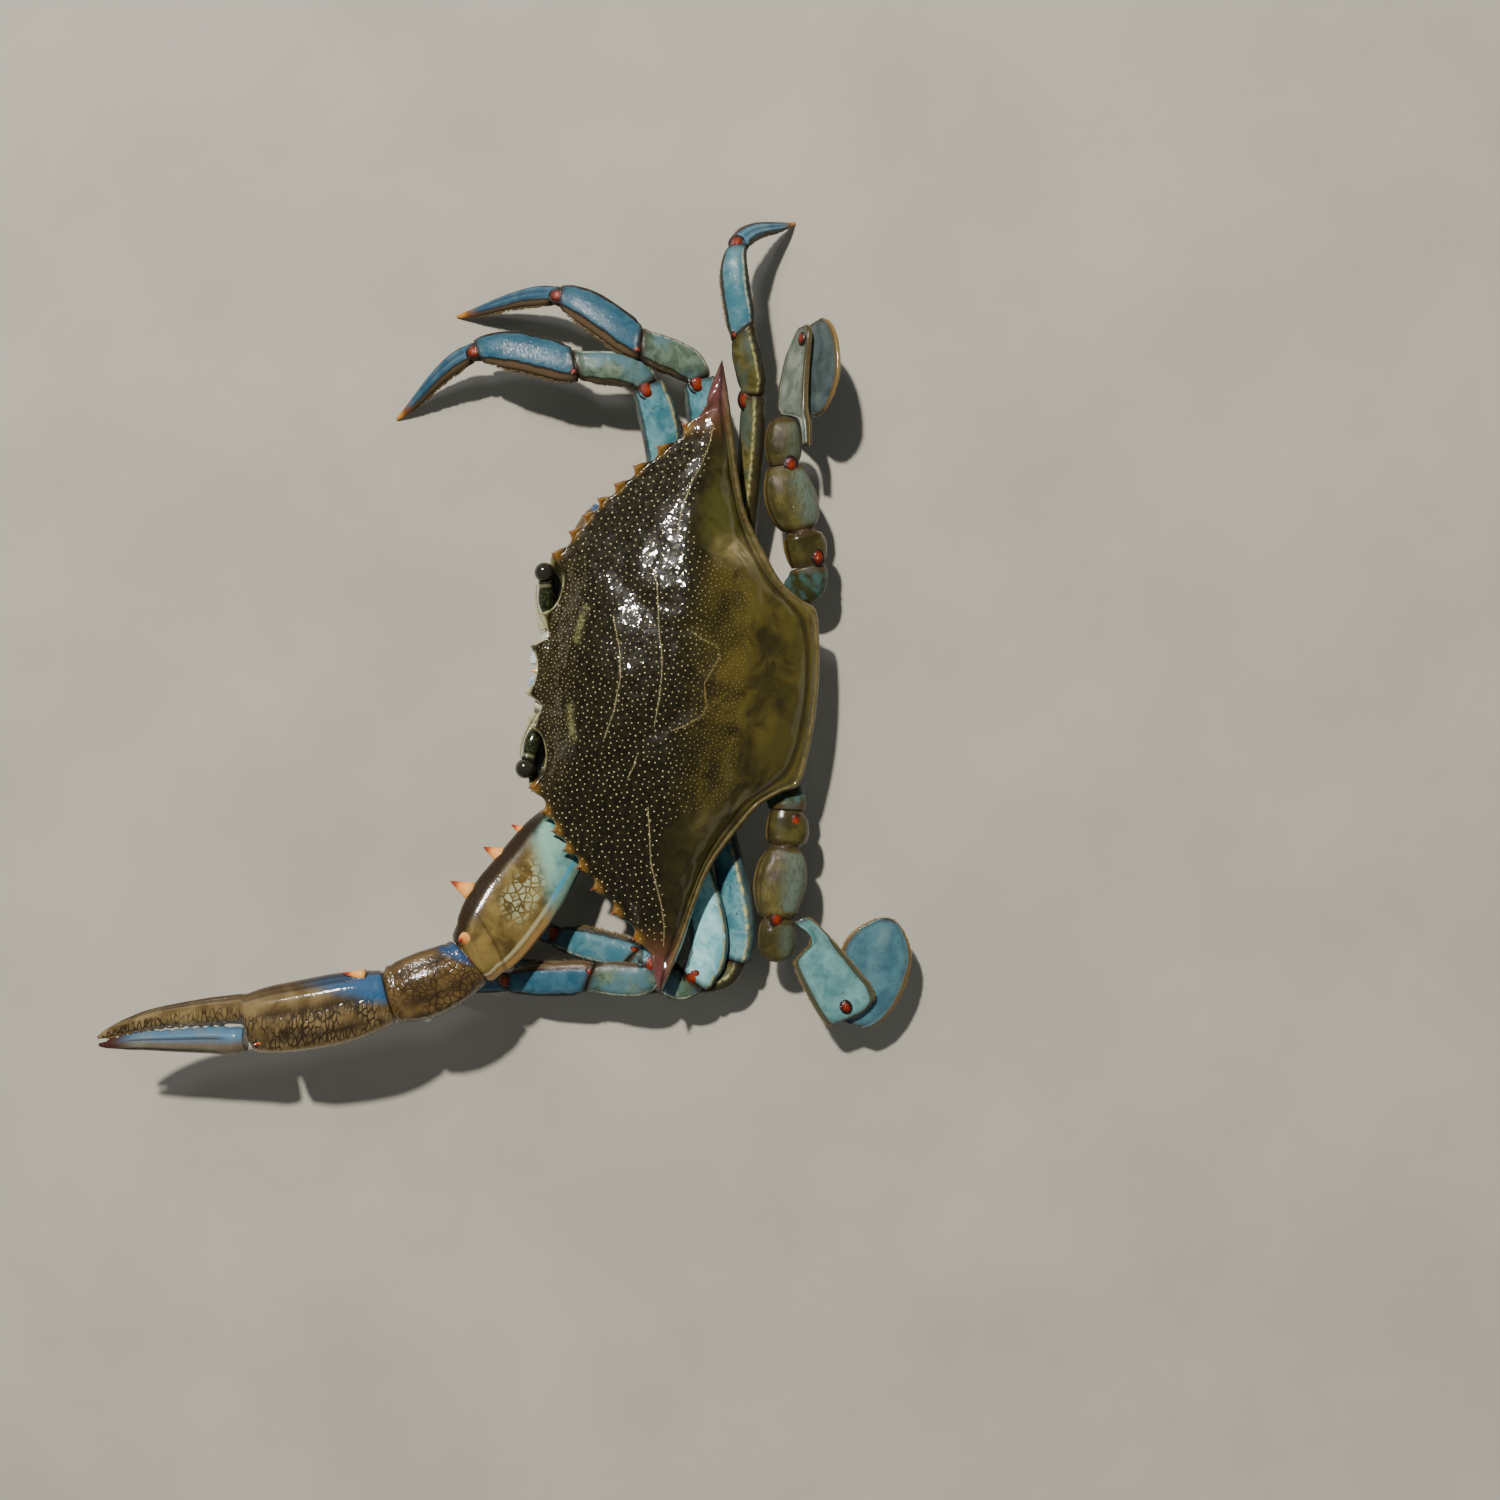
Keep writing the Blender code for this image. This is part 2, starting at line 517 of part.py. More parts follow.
def seam_point(toward, inset=0.0):
    """Where the carapace meets the breast plate, in the direction of a point."""
    middle = Vector((0, 1.0, 0))
    flat = toward - middle
    angle = math.atan2(flat.y, flat.x)
    c, s = math.cos(angle), math.sin(angle)
    reach_y = (BREAST_REAR if s > 0 else -BREAST_FRONT) - (1.0 if s > 0 else -1.0)
    radius = 1 / ((abs(c) / BREAST_HALF) ** 2.4 + (abs(s) / reach_y) ** 2.4) ** (1 / 2.4)
    return middle + Vector((c, s, 0)) * (radius - inset)


def carapace(finish):
    loop = whole_loop(half_outline())
    rows = []
    smooth = [base for _, base in loop]
    for share, passes in DOME_ROWS:
        for _ in range(passes):
            smooth = [smooth[i - 1] * 0.25 + p * 0.5 + smooth[(i + 1) % len(smooth)] * 0.25
                      for i, p in enumerate(smooth)]
        row = []
        for base in smooth:
            flat = CROWN.xy.to_3d() + (base - CROWN.xy.to_3d()) * share
            rim = rim_height(base.x, base.y)
            flat.z = rim + RIM_HALF + (CROWN.z - rim) * (1 - share ** DOME_POWER)
            row.append(flat)
        rows.append(row)
    shoulder = []
    for tip, base in loop:
        rim = rim_height(base.x, base.y)
        shoulder.append(Vector((base.x, base.y, rim + RIM_HALF + 0.5)))
    edge = [Vector((tip.x, tip.y, rim_height(base.x, base.y) + 0.2)) for tip, base in loop]
    below, wall = [], []
    for _, base in loop:
        rim = rim_height(base.x, base.y)
        inner = CROWN.xy.to_3d() + (base - CROWN.xy.to_3d()) * 0.97
        below.append(Vector((inner.x, inner.y, rim - RIM_HALF)))
        seam = seam_point(base)
        middle = inner.lerp(seam, 0.55)
        wall.append(Vector((middle.x, middle.y, rim - 1.2 - (rim - SEAM_Z) * 0.42)))
    floor = [Vector((*seam_point(base).xy, SEAM_Z)) for _, base in loop]
    rings = list(reversed(rows)) + [shoulder, edge, below, wall, floor]
    mesh = bmesh.new()
    made = [[mesh.verts.new(p * MM) for p in row] for row in rings]
    count = len(loop)
    for high, low in zip(made, made[1:]):
        for i in range(count):
            j = (i + 1) % count
            mesh.faces.new((high[i], high[j], low[j], low[i]))
    crown = mesh.verts.new((CROWN + Vector((0, 0, RIM_HALF))) * MM)
    base = mesh.verts.new(Vector((0, 1.0, SEAM_Z)) * MM)
    for i in range(count):
        j = (i + 1) % count
        mesh.faces.new((crown, made[0][j], made[0][i]))
        mesh.faces.new((base, made[-1][i], made[-1][j]))
    bmesh.ops.triangulate(mesh, faces=mesh.faces[:])
    bmesh.ops.recalc_face_normals(mesh, faces=mesh.faces[:])
    return fused("carapace", [mesh] + face(), finish)


def face():
    """The mouth frame between the eyes, and the floor of each eye socket."""
    profile = [(-38.6, 22.8), (-39.1, 18.8), (-37.4, 17.2), (-26.4, 7.8), (-22.8, 7.8),
               (-22.8, 15.6), (-20.0, 16.4), (-20.0, 21.0)]
    middle = Vector((0, -30.0, 15.0))
    rows = []
    for x, size in ((-10.6, 0.86), (-9.4, 1.0), (9.4, 1.0), (10.6, 0.86)):
        rows.append([Vector((x, middle.y + (y - middle.y) * size,
                             middle.z + (z - middle.z) * size)) for y, z in profile])
    pieces = [loft(rows)]
    for sign in (1, -1):
        rows = []
        for x, front, rear, z, thick in SOCKET_FLOOR:
            section = [(front, z - thick), (front - 0.4, z + 0.7), (front + 1.0, z + 0.8),
                       (front + 2.2, z), (rear, z + 0.6), (rear, z - thick)]
            rows.append([Vector((x * sign, y, height)) for y, height in section])
        pieces.append(loft(rows))
    pieces.append(spine(Vector((0, -37.0, 19.6)), Vector((0.2, -41.6, 20.4)), 3.0))
    return pieces


def eye(side_name, sign, skin, glass):
    """An eyeball in the cup at the end of its stalk."""
    centre = Vector((EYE.x * sign, EYE.y, EYE.z))
    root = Vector((STALK_ROOT.x * sign, STALK_ROOT.y, STALK_ROOT.z))
    ball = bmesh.new()
    bmesh.ops.create_icosphere(ball, subdivisions=2, radius=EYE_RADIUS * MM)
    bmesh.ops.translate(ball, verts=ball.verts[:], vec=centre * MM)
    link(f"eye_{side_name}", ball, glass)
    along = (centre - root).normalized()
    wide, deep = axes_across(along, 0)
    cup = EYE_RADIUS + GAP * 1.5
    reach = (centre - root).length
    rows = []
    for s, radius in ((0, 1.6), (0.2, 2.0), (0.5, 2.3), (0.72, 2.1), (0.94, 1.7)):
        rows.append(ring(root + along * s * (reach - cup), wide, deep, radius * 2,
                         radius * 1.8, 10, 2))
    for angle in (38, 14):
        turn = math.radians(angle)
        size = cup * math.sin(turn) * 2
        rows.append(ring(centre - along * cup * math.cos(turn), wide, deep, size, size, 10, 2))
    link(f"eyestalk_{side_name}", loft(rows), skin)


def feelers(side_name, sign, skin):
    """The long feeler laid along the front edge and the short one folded beside it."""
    root, tip = Vector((10.9 * sign, -39.45, 18.4)), Vector((22.4 * sign, -42.4, 18.0))
    stations = [(0, 2.0, 1.8), (0.16, 1.8, 1.6), (0.2, 1.1, 1.0), (0.5, 0.8, 0.8),
                (1, 0.6, 0.6)]
    rings = limb_rings(root, tip, Vector((sign * 0.9, -0.5, 0)), Vector((sign, 0.1, 0)),
                       stations, 0, 8)
    link(f"antenna_{side_name}", loft(rings), skin)
    root, tip = Vector((6.4 * sign, -40.3, 18.4)), Vector((1.7 * sign, -41.0, 20.2))
    stations = [(0, 1.2, 1.2), (0.3, 2.2, 2.0), (0.7, 2.3, 2.0), (1, 1.2, 1.0)]
    rings = limb_rings(root, tip, tip - root, tip - root, stations, 0, 8)
    link(f"antennule_{side_name}", loft(rings), skin)


def mouth_plate(side_name, sign, skin):
    """One of the two flat mouthparts that close over the mouth like doors."""
    top, low = Vector((0, -37.2, 16.9)), Vector((0, -26.6, 7.9))
    down = (low - top).normalized()
    out = Vector((0, down.z, -down.y)).normalized()
    rows = []
    for s, inner, outer in ((0.0, 1.4, 5.2), (0.06, 0.5, 6.8), (0.4, 0.2, 7.5),
                            (0.46, 0.2, 6.8), (0.9, 0.2, 6.2), (1.04, 1.0, 5.0)):
        centre = top.lerp(low, s) + out * (1.0 + GAP)
        centre = centre + Vector((sign * (inner + outer) / 2, 0, 0))
        rows.append(ring(centre, Vector((1, 0, 0)), out, outer - inner, 1.7, 10, 3))
    link(f"maxilliped_{side_name}", loft(rows), skin)


def breast_plate(finish):
    """The sternum with the first joint of every limb."""
    count = 36
    rows = []
    for level, inset in ((SEAM_Z - GAP, 0.6), (9.6, 2.4), (5.8, 6.6), (3.2, 10.6),
                         (BREAST_LOW, 14.6)):
        row = []
        for i in range(count):
            angle = 2 * math.pi * i / count
            toward = Vector((math.cos(angle) * 40, 1.0 + math.sin(angle) * 40, 0))
            point = seam_point(toward, inset)
            row.append(Vector((point.x, point.y, level)))
        rows.append(row)
    pieces = [loft(rows)]
    for name, joints in {**LEGS, **PADDLE_LEGS}.items():
        hip, knee = Vector(joints[0]), Vector(joints[1])
        along = (knee - hip).normalized()
        inner = Vector((hip.x * 0.62, hip.y * 0.86 + 0.3, 7.4))
        leave = (hip - inner).normalized()
        stations = [(0, 5.4, 5.0), (0.5, 7.8, 6.4), (0.8, 7.4, 6.2), (1, 6.4, 5.6)]
        if name in PADDLE_LEGS:
            inner = Vector((hip.x * 0.5, hip.y * 0.6, 6.0))
            leave = (hip.xy - inner.xy).to_3d().normalized()
            rear = 1 if hip.x > 0 else -1
            stations = [(0, 5.4, 5.0), (0.35, 7.4, 5.6), (0.6, 9.0, 5.8),
                        (0.82, 10.4, 6.4, rear * 0.9), (1, 8.8, 6.2, rear * 0.8)]
        rings = limb_rings(inner, hip - along * GAP / 2, leave, along, stations, 0, 8)
        pieces.append(loft(rings))
    for side_name, joints in ARMS.items():
        scale = 1.0 if side_name == "L1" else 0.78
        hip, shoulder, elbow = (Vector(p) for p in joints[:3])
        face_way = (shoulder - hip).normalized().slerp((elbow - shoulder).normalized(), 0.5)
        inner = Vector((hip.x * 0.62, hip.y * 0.82, 7.6))
        stations = resized([(0, 8.6, 7.4), (0.5, 10.6, 8.0), (1, 10.2, 8.0)], scale)
        rings = limb_rings(inner, shoulder - face_way * GAP / 2, (hip - inner).normalized(),
                           face_way, stations, 0, 10)
        pieces.append(loft(rings))
    return fused("breast_plate", pieces, finish)


def abdomen(finish):
    """The male's tail flap: broad under the shell's rear, narrow along the breast."""
    thick = 1.7
    rows = []
    for number, (y, z, half) in enumerate(TAIL_FLAP):
        before = TAIL_FLAP[max(number - 1, 0)]
        after = TAIL_FLAP[min(number + 1, len(TAIL_FLAP) - 1)]
        way = Vector((0, after[0] - before[0], after[1] - before[1])).normalized()
        inward = Vector((0, way.z, -way.y))
        low = Vector((0, y, z))
        high = low + inward * thick
        rows.append([Vector((-half, low.y, low.z)), Vector((half, low.y, low.z)),
                     Vector((half - 0.6, high.y, high.z)),
                     Vector((-half + 0.6, high.y, high.z))])
    return link("abdomen", loft(rows), finish)


def clear_scene():
    for item in list(bpy.data.objects):
        bpy.data.objects.remove(item)


def main():
    clear_scene()
    olive = (0.09, 0.075, 0.035)
    blue = (0.10, 0.30, 0.42)
    finishes = {
        "merus": material("leg_merus", (0.16, 0.38, 0.46)),
        "carpus": material("leg_carpus", (0.22, 0.36, 0.32)),
        "propodus": material("leg_propodus", blue),
        "dactyl": material("leg_dactyl", blue),
        "paddle_merus": material("paddle_merus", (0.16, 0.17, 0.10)),
        "paddle_carpus": material("paddle_carpus", (0.16, 0.18, 0.12)),
        "paddle_propodus": material("paddle_propodus", (0.20, 0.36, 0.40)),
        "paddle_dactyl": material("paddle_dactyl", (0.16, 0.32, 0.42)),
        "arm_merus": material("arm_merus", (0.20, 0.16, 0.07)),
        "arm_carpus": material("arm_carpus", (0.14, 0.10, 0.04)),
        "palm": material("palm", (0.24, 0.16, 0.06)),
        "finger": material("finger", (0.25, 0.34, 0.42)),
    }
    carapace(material("carapace", olive, 0.18))
    breast_plate(material("breast", (0.62, 0.60, 0.52), 0.4))
    abdomen(material("abdomen", (0.66, 0.64, 0.58), 0.4))
    skin = material("eyestalk", (0.06, 0.08, 0.07), 0.15)
    glass = material("eye", (0.015, 0.02, 0.018), 0.05)
    pale = material("feelers", (0.50, 0.52, 0.50), 0.35)
    plate = material("mouth_plate", (0.42, 0.44, 0.40), 0.35)
    for side_name, sign in (("L", 1), ("R", -1)):
        eye(side_name, sign, skin, glass)
        feelers(side_name, sign, pale)
        mouth_plate(side_name, sign, plate)
    for side_name in LEGS:
        walking_leg(side_name, finishes)
    for side_name in PADDLE_LEGS:
        swimming_leg(side_name, finishes)
    claw_arm("L1", 1.0, finishes)
    claw_arm("R1", RIGHT_ARM_SCALE, finishes)


main()
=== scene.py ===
# %% [markdown]
# # A blue crab, life size
# The crab rests on its belly with one claw reached out, as in the photograph. Its shell is
# 164 mm across the side spines. It faces -Y and its left side is +X.
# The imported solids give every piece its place, and each cell below puts one finer, finished
# piece where a plain solid is. We load the solids first and keep their box.

# %% Load the solids
import math

import bpy
import numpy as np
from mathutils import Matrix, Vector
from mathutils.bvhtree import BVHTree


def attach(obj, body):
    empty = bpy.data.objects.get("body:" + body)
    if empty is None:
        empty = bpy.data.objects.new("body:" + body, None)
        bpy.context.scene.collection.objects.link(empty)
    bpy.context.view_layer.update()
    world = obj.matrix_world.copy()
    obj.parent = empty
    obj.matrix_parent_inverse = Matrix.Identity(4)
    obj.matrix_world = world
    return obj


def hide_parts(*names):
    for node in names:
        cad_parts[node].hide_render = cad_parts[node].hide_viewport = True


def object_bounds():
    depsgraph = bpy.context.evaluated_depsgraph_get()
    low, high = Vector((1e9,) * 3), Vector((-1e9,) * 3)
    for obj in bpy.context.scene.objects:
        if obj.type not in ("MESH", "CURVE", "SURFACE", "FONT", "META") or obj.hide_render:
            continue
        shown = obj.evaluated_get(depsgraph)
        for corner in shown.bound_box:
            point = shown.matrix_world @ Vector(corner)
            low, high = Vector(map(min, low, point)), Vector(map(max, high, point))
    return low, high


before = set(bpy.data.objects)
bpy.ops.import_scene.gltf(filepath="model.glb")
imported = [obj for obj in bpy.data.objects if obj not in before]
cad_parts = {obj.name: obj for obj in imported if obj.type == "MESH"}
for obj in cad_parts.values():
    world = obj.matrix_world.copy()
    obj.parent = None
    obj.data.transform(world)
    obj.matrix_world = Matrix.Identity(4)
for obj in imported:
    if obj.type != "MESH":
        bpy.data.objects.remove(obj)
solid_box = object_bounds()
MM = 0.001


def in_mm(box):
    return [round(c / MM, 1) for c in (*box[0], *box[1])]


print("solids:", len(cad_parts), "box", in_mm(solid_box))

# %% [markdown]
# ## Camera
# The photograph looks almost straight down from half a metre, with the crab's front to the
# left. A lens of 44.65 mm on a 36 mm sensor gives the same framing. The turn about Z is the
# angle at which the camera was held over the crab.

# %% Camera
SENSOR_WIDTH, LENS_LENGTH = 36.0, 44.65
CAMERA_PLACE, CAMERA_TURN = (0.0150, 0.0169, 0.501), 95.6

lens = bpy.data.cameras.new("camera")
lens.sensor_width = SENSOR_WIDTH
lens.lens = LENS_LENGTH
lens.clip_start = 0.01
camera = bpy.data.objects.new("camera", lens)
camera.location = CAMERA_PLACE
camera.rotation_euler = (0.0, 0.0, math.radians(CAMERA_TURN))
bpy.context.scene.collection.objects.link(camera)
bpy.context.scene.camera = camera

# %% [markdown]
# ## Light
# Four area lights and a faint sky. The key light stands on the crab's right, where the sun
# is in the photograph, and it is small, so the shadows fall to the same side with clear
# edges. The sparkle of the wet shell comes from a light of its own, a little lower, which
# lights nothing but gloss, so its glints can be set without changing the shadows. Two broad
# faint lights at the far sides open up the shadows. The floor comes last of all.

# %% Light and sky
LIGHTS = {  # place, width and power of each light, and its colour
    "key": ((-0.92, -0.60, 1.80), 0.10, 86.0, (1.0, 0.96, 0.90)),
    "sparkle": ((-1.13, -0.74, 1.61), 0.28, 70.0, (1.0, 0.97, 0.93)),
    "fill": ((1.1, -0.9, 0.6), 0.7, 4.0, (0.95, 0.97, 1.0)),
    "rear": ((0.3, 1.2, 0.6), 0.6, 3.0, (0.95, 0.97, 1.0)),
}
SKY_COLOUR, SKY_STRENGTH = (0.74, 0.82, 0.92, 1), 0.13

for name, (place, width, power, colour) in LIGHTS.items():
    data = bpy.data.lights.new(name, "AREA")
    data.shape, data.size, data.energy, data.color = "DISK", width, power, colour
    light = bpy.data.objects.new(name, data)
    light.location = place
    light.rotation_euler = (-Vector(place)).to_track_quat("-Z", "Y").to_euler()
    light.visible_glossy = name == "sparkle"
    light.visible_diffuse = name != "sparkle"
    bpy.context.scene.collection.objects.link(light)

sky = bpy.data.worlds.new("sky")
sky.use_nodes = True
sky.node_tree.nodes["Background"].inputs["Color"].default_value = SKY_COLOUR
sky.node_tree.nodes["Background"].inputs["Strength"].default_value = SKY_STRENGTH
bpy.context.scene.world = sky
print("lights:", ", ".join(LIGHTS))

# %% [markdown]
# ## A maker for materials
# Every finish on a crab is a few colours mixed by marks and by noise, under a clear wet
# coat. The class below keeps that short: each call adds one node and gives back its output,
# and `lay` lays one more colour over the finish so far, as a painter would. Marks are numbers
# stored on the mesh points, such as how far along a leg a point lies, so a finish can tell
# an edge from a face on any side. Sizes are given in millimetres.

# %% Materials
PER_METRE = 1000.0


class Finish:
    """A node material, built one small step at a time."""

    def __init__(self, name, roughness=0.3, coat=0.0, coat_roughness=0.08):
        self.made = bpy.data.materials.new(name)
        self.made.use_nodes = True
        self.tree = self.made.node_tree
        self.shader = self.tree.nodes["Principled BSDF"]
        self.shader.inputs["Roughness"].default_value = roughness
        self.shader.inputs["Coat Weight"].default_value = coat
        self.shader.inputs["Coat Roughness"].default_value = coat_roughness
        self.shader.inputs["Specular IOR Level"].default_value = 0.12 if coat else 0.5
        self.place = self.tree.nodes.new("ShaderNodeTexCoord").outputs["Object"]

    def feed(self, socket, value):
        if isinstance(value, bpy.types.NodeSocket):
            self.tree.links.new(value, socket)
        elif isinstance(value, tuple):
            socket.default_value = (*value, 1)
        else:
            socket.default_value = value

    def mark(self, name):
        node = self.tree.nodes.new("ShaderNodeAttribute")
        node.attribute_name = name
        return node.outputs["Fac"]

    def noise(self, size_mm, detail=3.0, rough=0.55, warp=0.0, stretch=(1, 1, 1)):
        node = self.tree.nodes.new("ShaderNodeTexNoise")
        self.feed(node.inputs["Vector"], self.stretched(stretch))
        node.inputs["Scale"].default_value = PER_METRE / size_mm
        node.inputs["Detail"].default_value = detail
        node.inputs["Roughness"].default_value = rough
        node.inputs["Distortion"].default_value = warp
        return node.outputs["Fac"]

    def stretched(self, stretch):
        if stretch == (1, 1, 1):
            return self.place
        node = self.tree.nodes.new("ShaderNodeMapping")
        self.feed(node.inputs["Vector"], self.place)
        node.inputs["Scale"].default_value = stretch
        return node.outputs["Vector"]

    def cells(self, size_mm, feature="F1", spread=1.0, stretch=(1, 1, 1)):
        node = self.tree.nodes.new("ShaderNodeTexVoronoi")
        self.feed(node.inputs["Vector"], self.stretched(stretch))
        node.feature = feature
        node.inputs["Scale"].default_value = PER_METRE / size_mm
        node.inputs["Randomness"].default_value = spread
        return node.outputs["Distance"]

    def ramp(self, value, *stops):
        node = self.tree.nodes.new("ShaderNodeValToRGB")
        self.feed(node.inputs["Fac"], value)
        bar = node.color_ramp.elements
        while len(bar) < len(stops):
            bar.new(0.5)
        for stop, (place, shade) in zip(bar, stops):
            stop.position = place
            stop.color = (*shade, 1)
        return node.outputs["Color"]

    def step(self, value, low, high):
        """0 below low and 1 above high, smooth between; high may be the smaller one."""
        node = self.tree.nodes.new("ShaderNodeMapRange")
        node.interpolation_type = "SMOOTHSTEP"
        self.feed(node.inputs["Value"], value)
        ends = (low, high, 0.0, 1.0) if low <= high else (high, low, 1.0, 0.0)
        for socket, number in zip(("From Min", "From Max", "To Min", "To Max"), ends):
            node.inputs[socket].default_value = number
        return node.outputs["Result"]

    def mix(self, share, low, high):
        node = self.tree.nodes.new("ShaderNodeMix")
        node.data_type = "RGBA"
        self.feed(node.inputs["Factor"], share)
        for socket, value in zip([s for s in node.inputs if s.type == "RGBA"], (low, high)):
            self.feed(socket, value)
        return [s for s in node.outputs if s.type == "RGBA"][0]

    def calc(self, kind, first, second=0.5):
        node = self.tree.nodes.new("ShaderNodeMath")
        node.operation = kind
        self.feed(node.inputs[0], first)
        self.feed(node.inputs[1], second)
        return node.outputs[0]

    def plus(self, first, second):
        return self.calc("ADD", first, second)

    def minus(self, first, second):
        return self.calc("SUBTRACT", first, second)

    def times(self, first, second):
        return self.calc("MULTIPLY", first, second)

    def lay(self, shade, share, strength=1.0):
        """Lays a colour over the finish so far, as much as share times strength says."""
        if strength != 1.0:
            share = self.times(share, strength)
        self.colour = self.mix(share, self.colour, shade)

    def raise_by(self, height, depth_mm, strength=1.0):
        node = self.tree.nodes.new("ShaderNodeBump")
        node.inputs["Strength"].default_value = strength
        node.inputs["Distance"].default_value = depth_mm * MM
        self.feed(node.inputs["Height"], height)
        for socket in ("Normal", "Coat Normal"):
            self.feed(self.shader.inputs[socket], node.outputs["Normal"])

    def glitter(self, size_mm, tilt, share):
        """Turns the gloss of each small cell its own way, as wet grains flash one by one."""
        cell = self.tree.nodes.new("ShaderNodeTexVoronoi")
        self.feed(cell.inputs["Vector"], self.place)
        cell.inputs["Scale"].default_value = PER_METRE / size_mm
        steps = []
        for kind in ("SUBTRACT", "SCALE", "ADD", "NORMALIZE"):
            node = self.tree.nodes.new("ShaderNodeVectorMath")
            node.operation = kind
            self.feed(node.inputs[0], steps[-1].outputs[0] if steps else cell.outputs["Color"])
            steps.append(node)
        steps[0].inputs[1].default_value = (0.5, 0.5, 0.5)
        self.feed(steps[1].inputs["Scale"], self.times(share, tilt))
        coat = self.shader.inputs["Coat Normal"]
        self.feed(steps[2].inputs[1], coat.links[0].from_socket)
        self.feed(coat, steps[3].outputs[0])

    def done(self, colour=None, roughness=None):
        self.feed(self.shader.inputs["Base Color"], self.colour if colour is None else colour)
        if roughness is not None:
            self.feed(self.shader.inputs["Roughness"], roughness)
        return self.made

# %% [markdown]
# ## A maker for pieces
# Pieces are built as rows of points, like the hoops of a barrel, and skinned with quads.
# Points are worked out in millimetres with numpy, which is quick enough for the whole crab
# in a few seconds. `piece` stores the marks, rides the piece on the frame and hides the
# plain solid that it stands for. `smooth_step` and `bell` shape most heights and marks.

# %% Pieces from rows of points
def hoops(rows, around, first=0, close_start=False, close_end=False):
    """Quads between rows of points; a closed end gets one n-sided cap."""
    quads = []
    for r in range(rows - 1):
        low, high = first + r * around, first + (r + 1) * around
        for i in range(around):
            j = (i + 1) % around
            quads.append((low + i, low + j, high + j, high + i))
    if close_start:
        quads.append(tuple(range(first + around - 1, first - 1, -1)))
    if close_end:
        last = first + (rows - 1) * around
        quads.append(tuple(range(last, last + around)))
    return quads


def inside_out(data):
    """True where most faces look towards the middle of the piece."""
    count = len(data.polygons)
    centres, normals, areas = np.zeros(count * 3), np.zeros(count * 3), np.zeros(count)
    data.polygons.foreach_get("center", centres)
    data.polygons.foreach_get("normal", normals)
    data.polygons.foreach_get("area", areas)
    away = centres.reshape(-1, 3) - centres.reshape(-1, 3).mean(0)
    return ((away * normals.reshape(-1, 3)).sum(1) * areas).sum() < 0


def piece(name, points, faces, finish, nodes=(), marks=None):
    """Makes a finished mesh piece from points in millimetres and puts it on the frame."""
    data = bpy.data.meshes.new(name)
    data.from_pydata((np.asarray(points) * MM).tolist(), [], faces)
    data.materials.append(finish)
    for mark, values in (marks or {}).items():
        layer = data.attributes.new(mark, "FLOAT", "POINT")
        layer.data.foreach_set("value", np.asarray(values, dtype=np.float32).ravel())
    if inside_out(data):
        data.flip_normals()
    data.shade_smooth()
    data.update()
    made = bpy.data.objects.new(name, data)
    bpy.context.scene.collection.objects.link(made)
    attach(made, "root")
    if nodes:
        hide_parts(*nodes)
    return made


def smooth_step(value, low, high):
    t = np.clip((np.asarray(value, float) - low) / (high - low), 0, 1)
    return t * t * (3 - 2 * t)


def bell(value, spread):
    """1 where the value is 0, fading softly to both sides."""
    return np.exp(-(value / spread) ** 2)

# %% [markdown]
# ## The shell's outline
# Seen from above, the shell is a wide oval with a spine at each side, eight teeth in front
# of each spine, and a front edge with the eye sockets and four small teeth. The outline is
# listed for the left half and mirrored. Each entry has the real edge and the smooth edge
# that would be there without teeth, because the dome rises from the smooth one.

# %% Outline of the shell
SPINE_REACH = 82.0
SPINE_LEAN = 2.2
CROWN = np.array([0.0, -4.0])
CROWN_Z = 38.0
RIM_HALF = 0.9
SEAM_Z = 13.0
TOOTH_TIPS = [(30.4, -38.9), (36.4, -35.2), (41.0, -32.2), (45.7, -28.9),
              (49.8, -24.8), (54.9, -20.4), (60.5, -14.8), (66.6, -8.7), (71.6, -2.9)]
TOOTH_DEPTH = [2.5, 2.3, 2.3, 2.3, 2.4, 2.5, 2.6, 1.1]
NOTCH = [0.62, 0.65, 0.68, 0.71, 0.75, 0.78, 0.81, 0.74]
TEETH = len(NOTCH)
FRONT_EDGE = [((0, -39.3), (0, -38.7)), ((3.2, -40.0), (3.2, -39.0)),
              ((6.2, -41.8), (5.8, -39.0)), ((8.8, -37.4), (8.6, -37.0)),
              ((11.6, -38.4), (11.6, -37.0)), ((14.6, -39.8), (14.0, -36.8)),
              ((16.6, -36.8), (16.8, -35.6)), ((20.7, -35.2), (20.7, -34.4)),
              ((25.4, -35.6), (25.2, -34.0))]
REAR_EDGE = [((74.4, -2.6), (70.0, -2.2)), ((SPINE_REACH, 0.0), (71.0, 0.2)),
             ((75.4, 2.1), (69.6, 2.0)), ((66.0, 4.6), (64.0, 3.8)), ((56.0, 6.8), (55.4, 5.8)),
             ((47.0, 9.4), (46.4, 8.4)), ((40.6, 12.8), (40.0, 11.8)),
             ((34.6, 16.6), (34.0, 15.6)), ((29.0, 20.8), (28.4, 19.8)),
             ((25.2, 26.0), (24.6, 25.2)), ((22.6, 30.4), (22.0, 29.4)),
             ((15.0, 32.0), (14.6, 31.0)), ((7.0, 32.8), (6.8, 31.8)), ((0, 33.0), (0, 32.0))]


def tooth_frame(number):
    tip, after = np.array(TOOTH_TIPS[number]), np.array(TOOTH_TIPS[number + 1])
    across = after - tip
    inward = np.array([-across[1], across[0]]) / np.hypot(*across)
    return tip, across, inward * TOOTH_DEPTH[number]


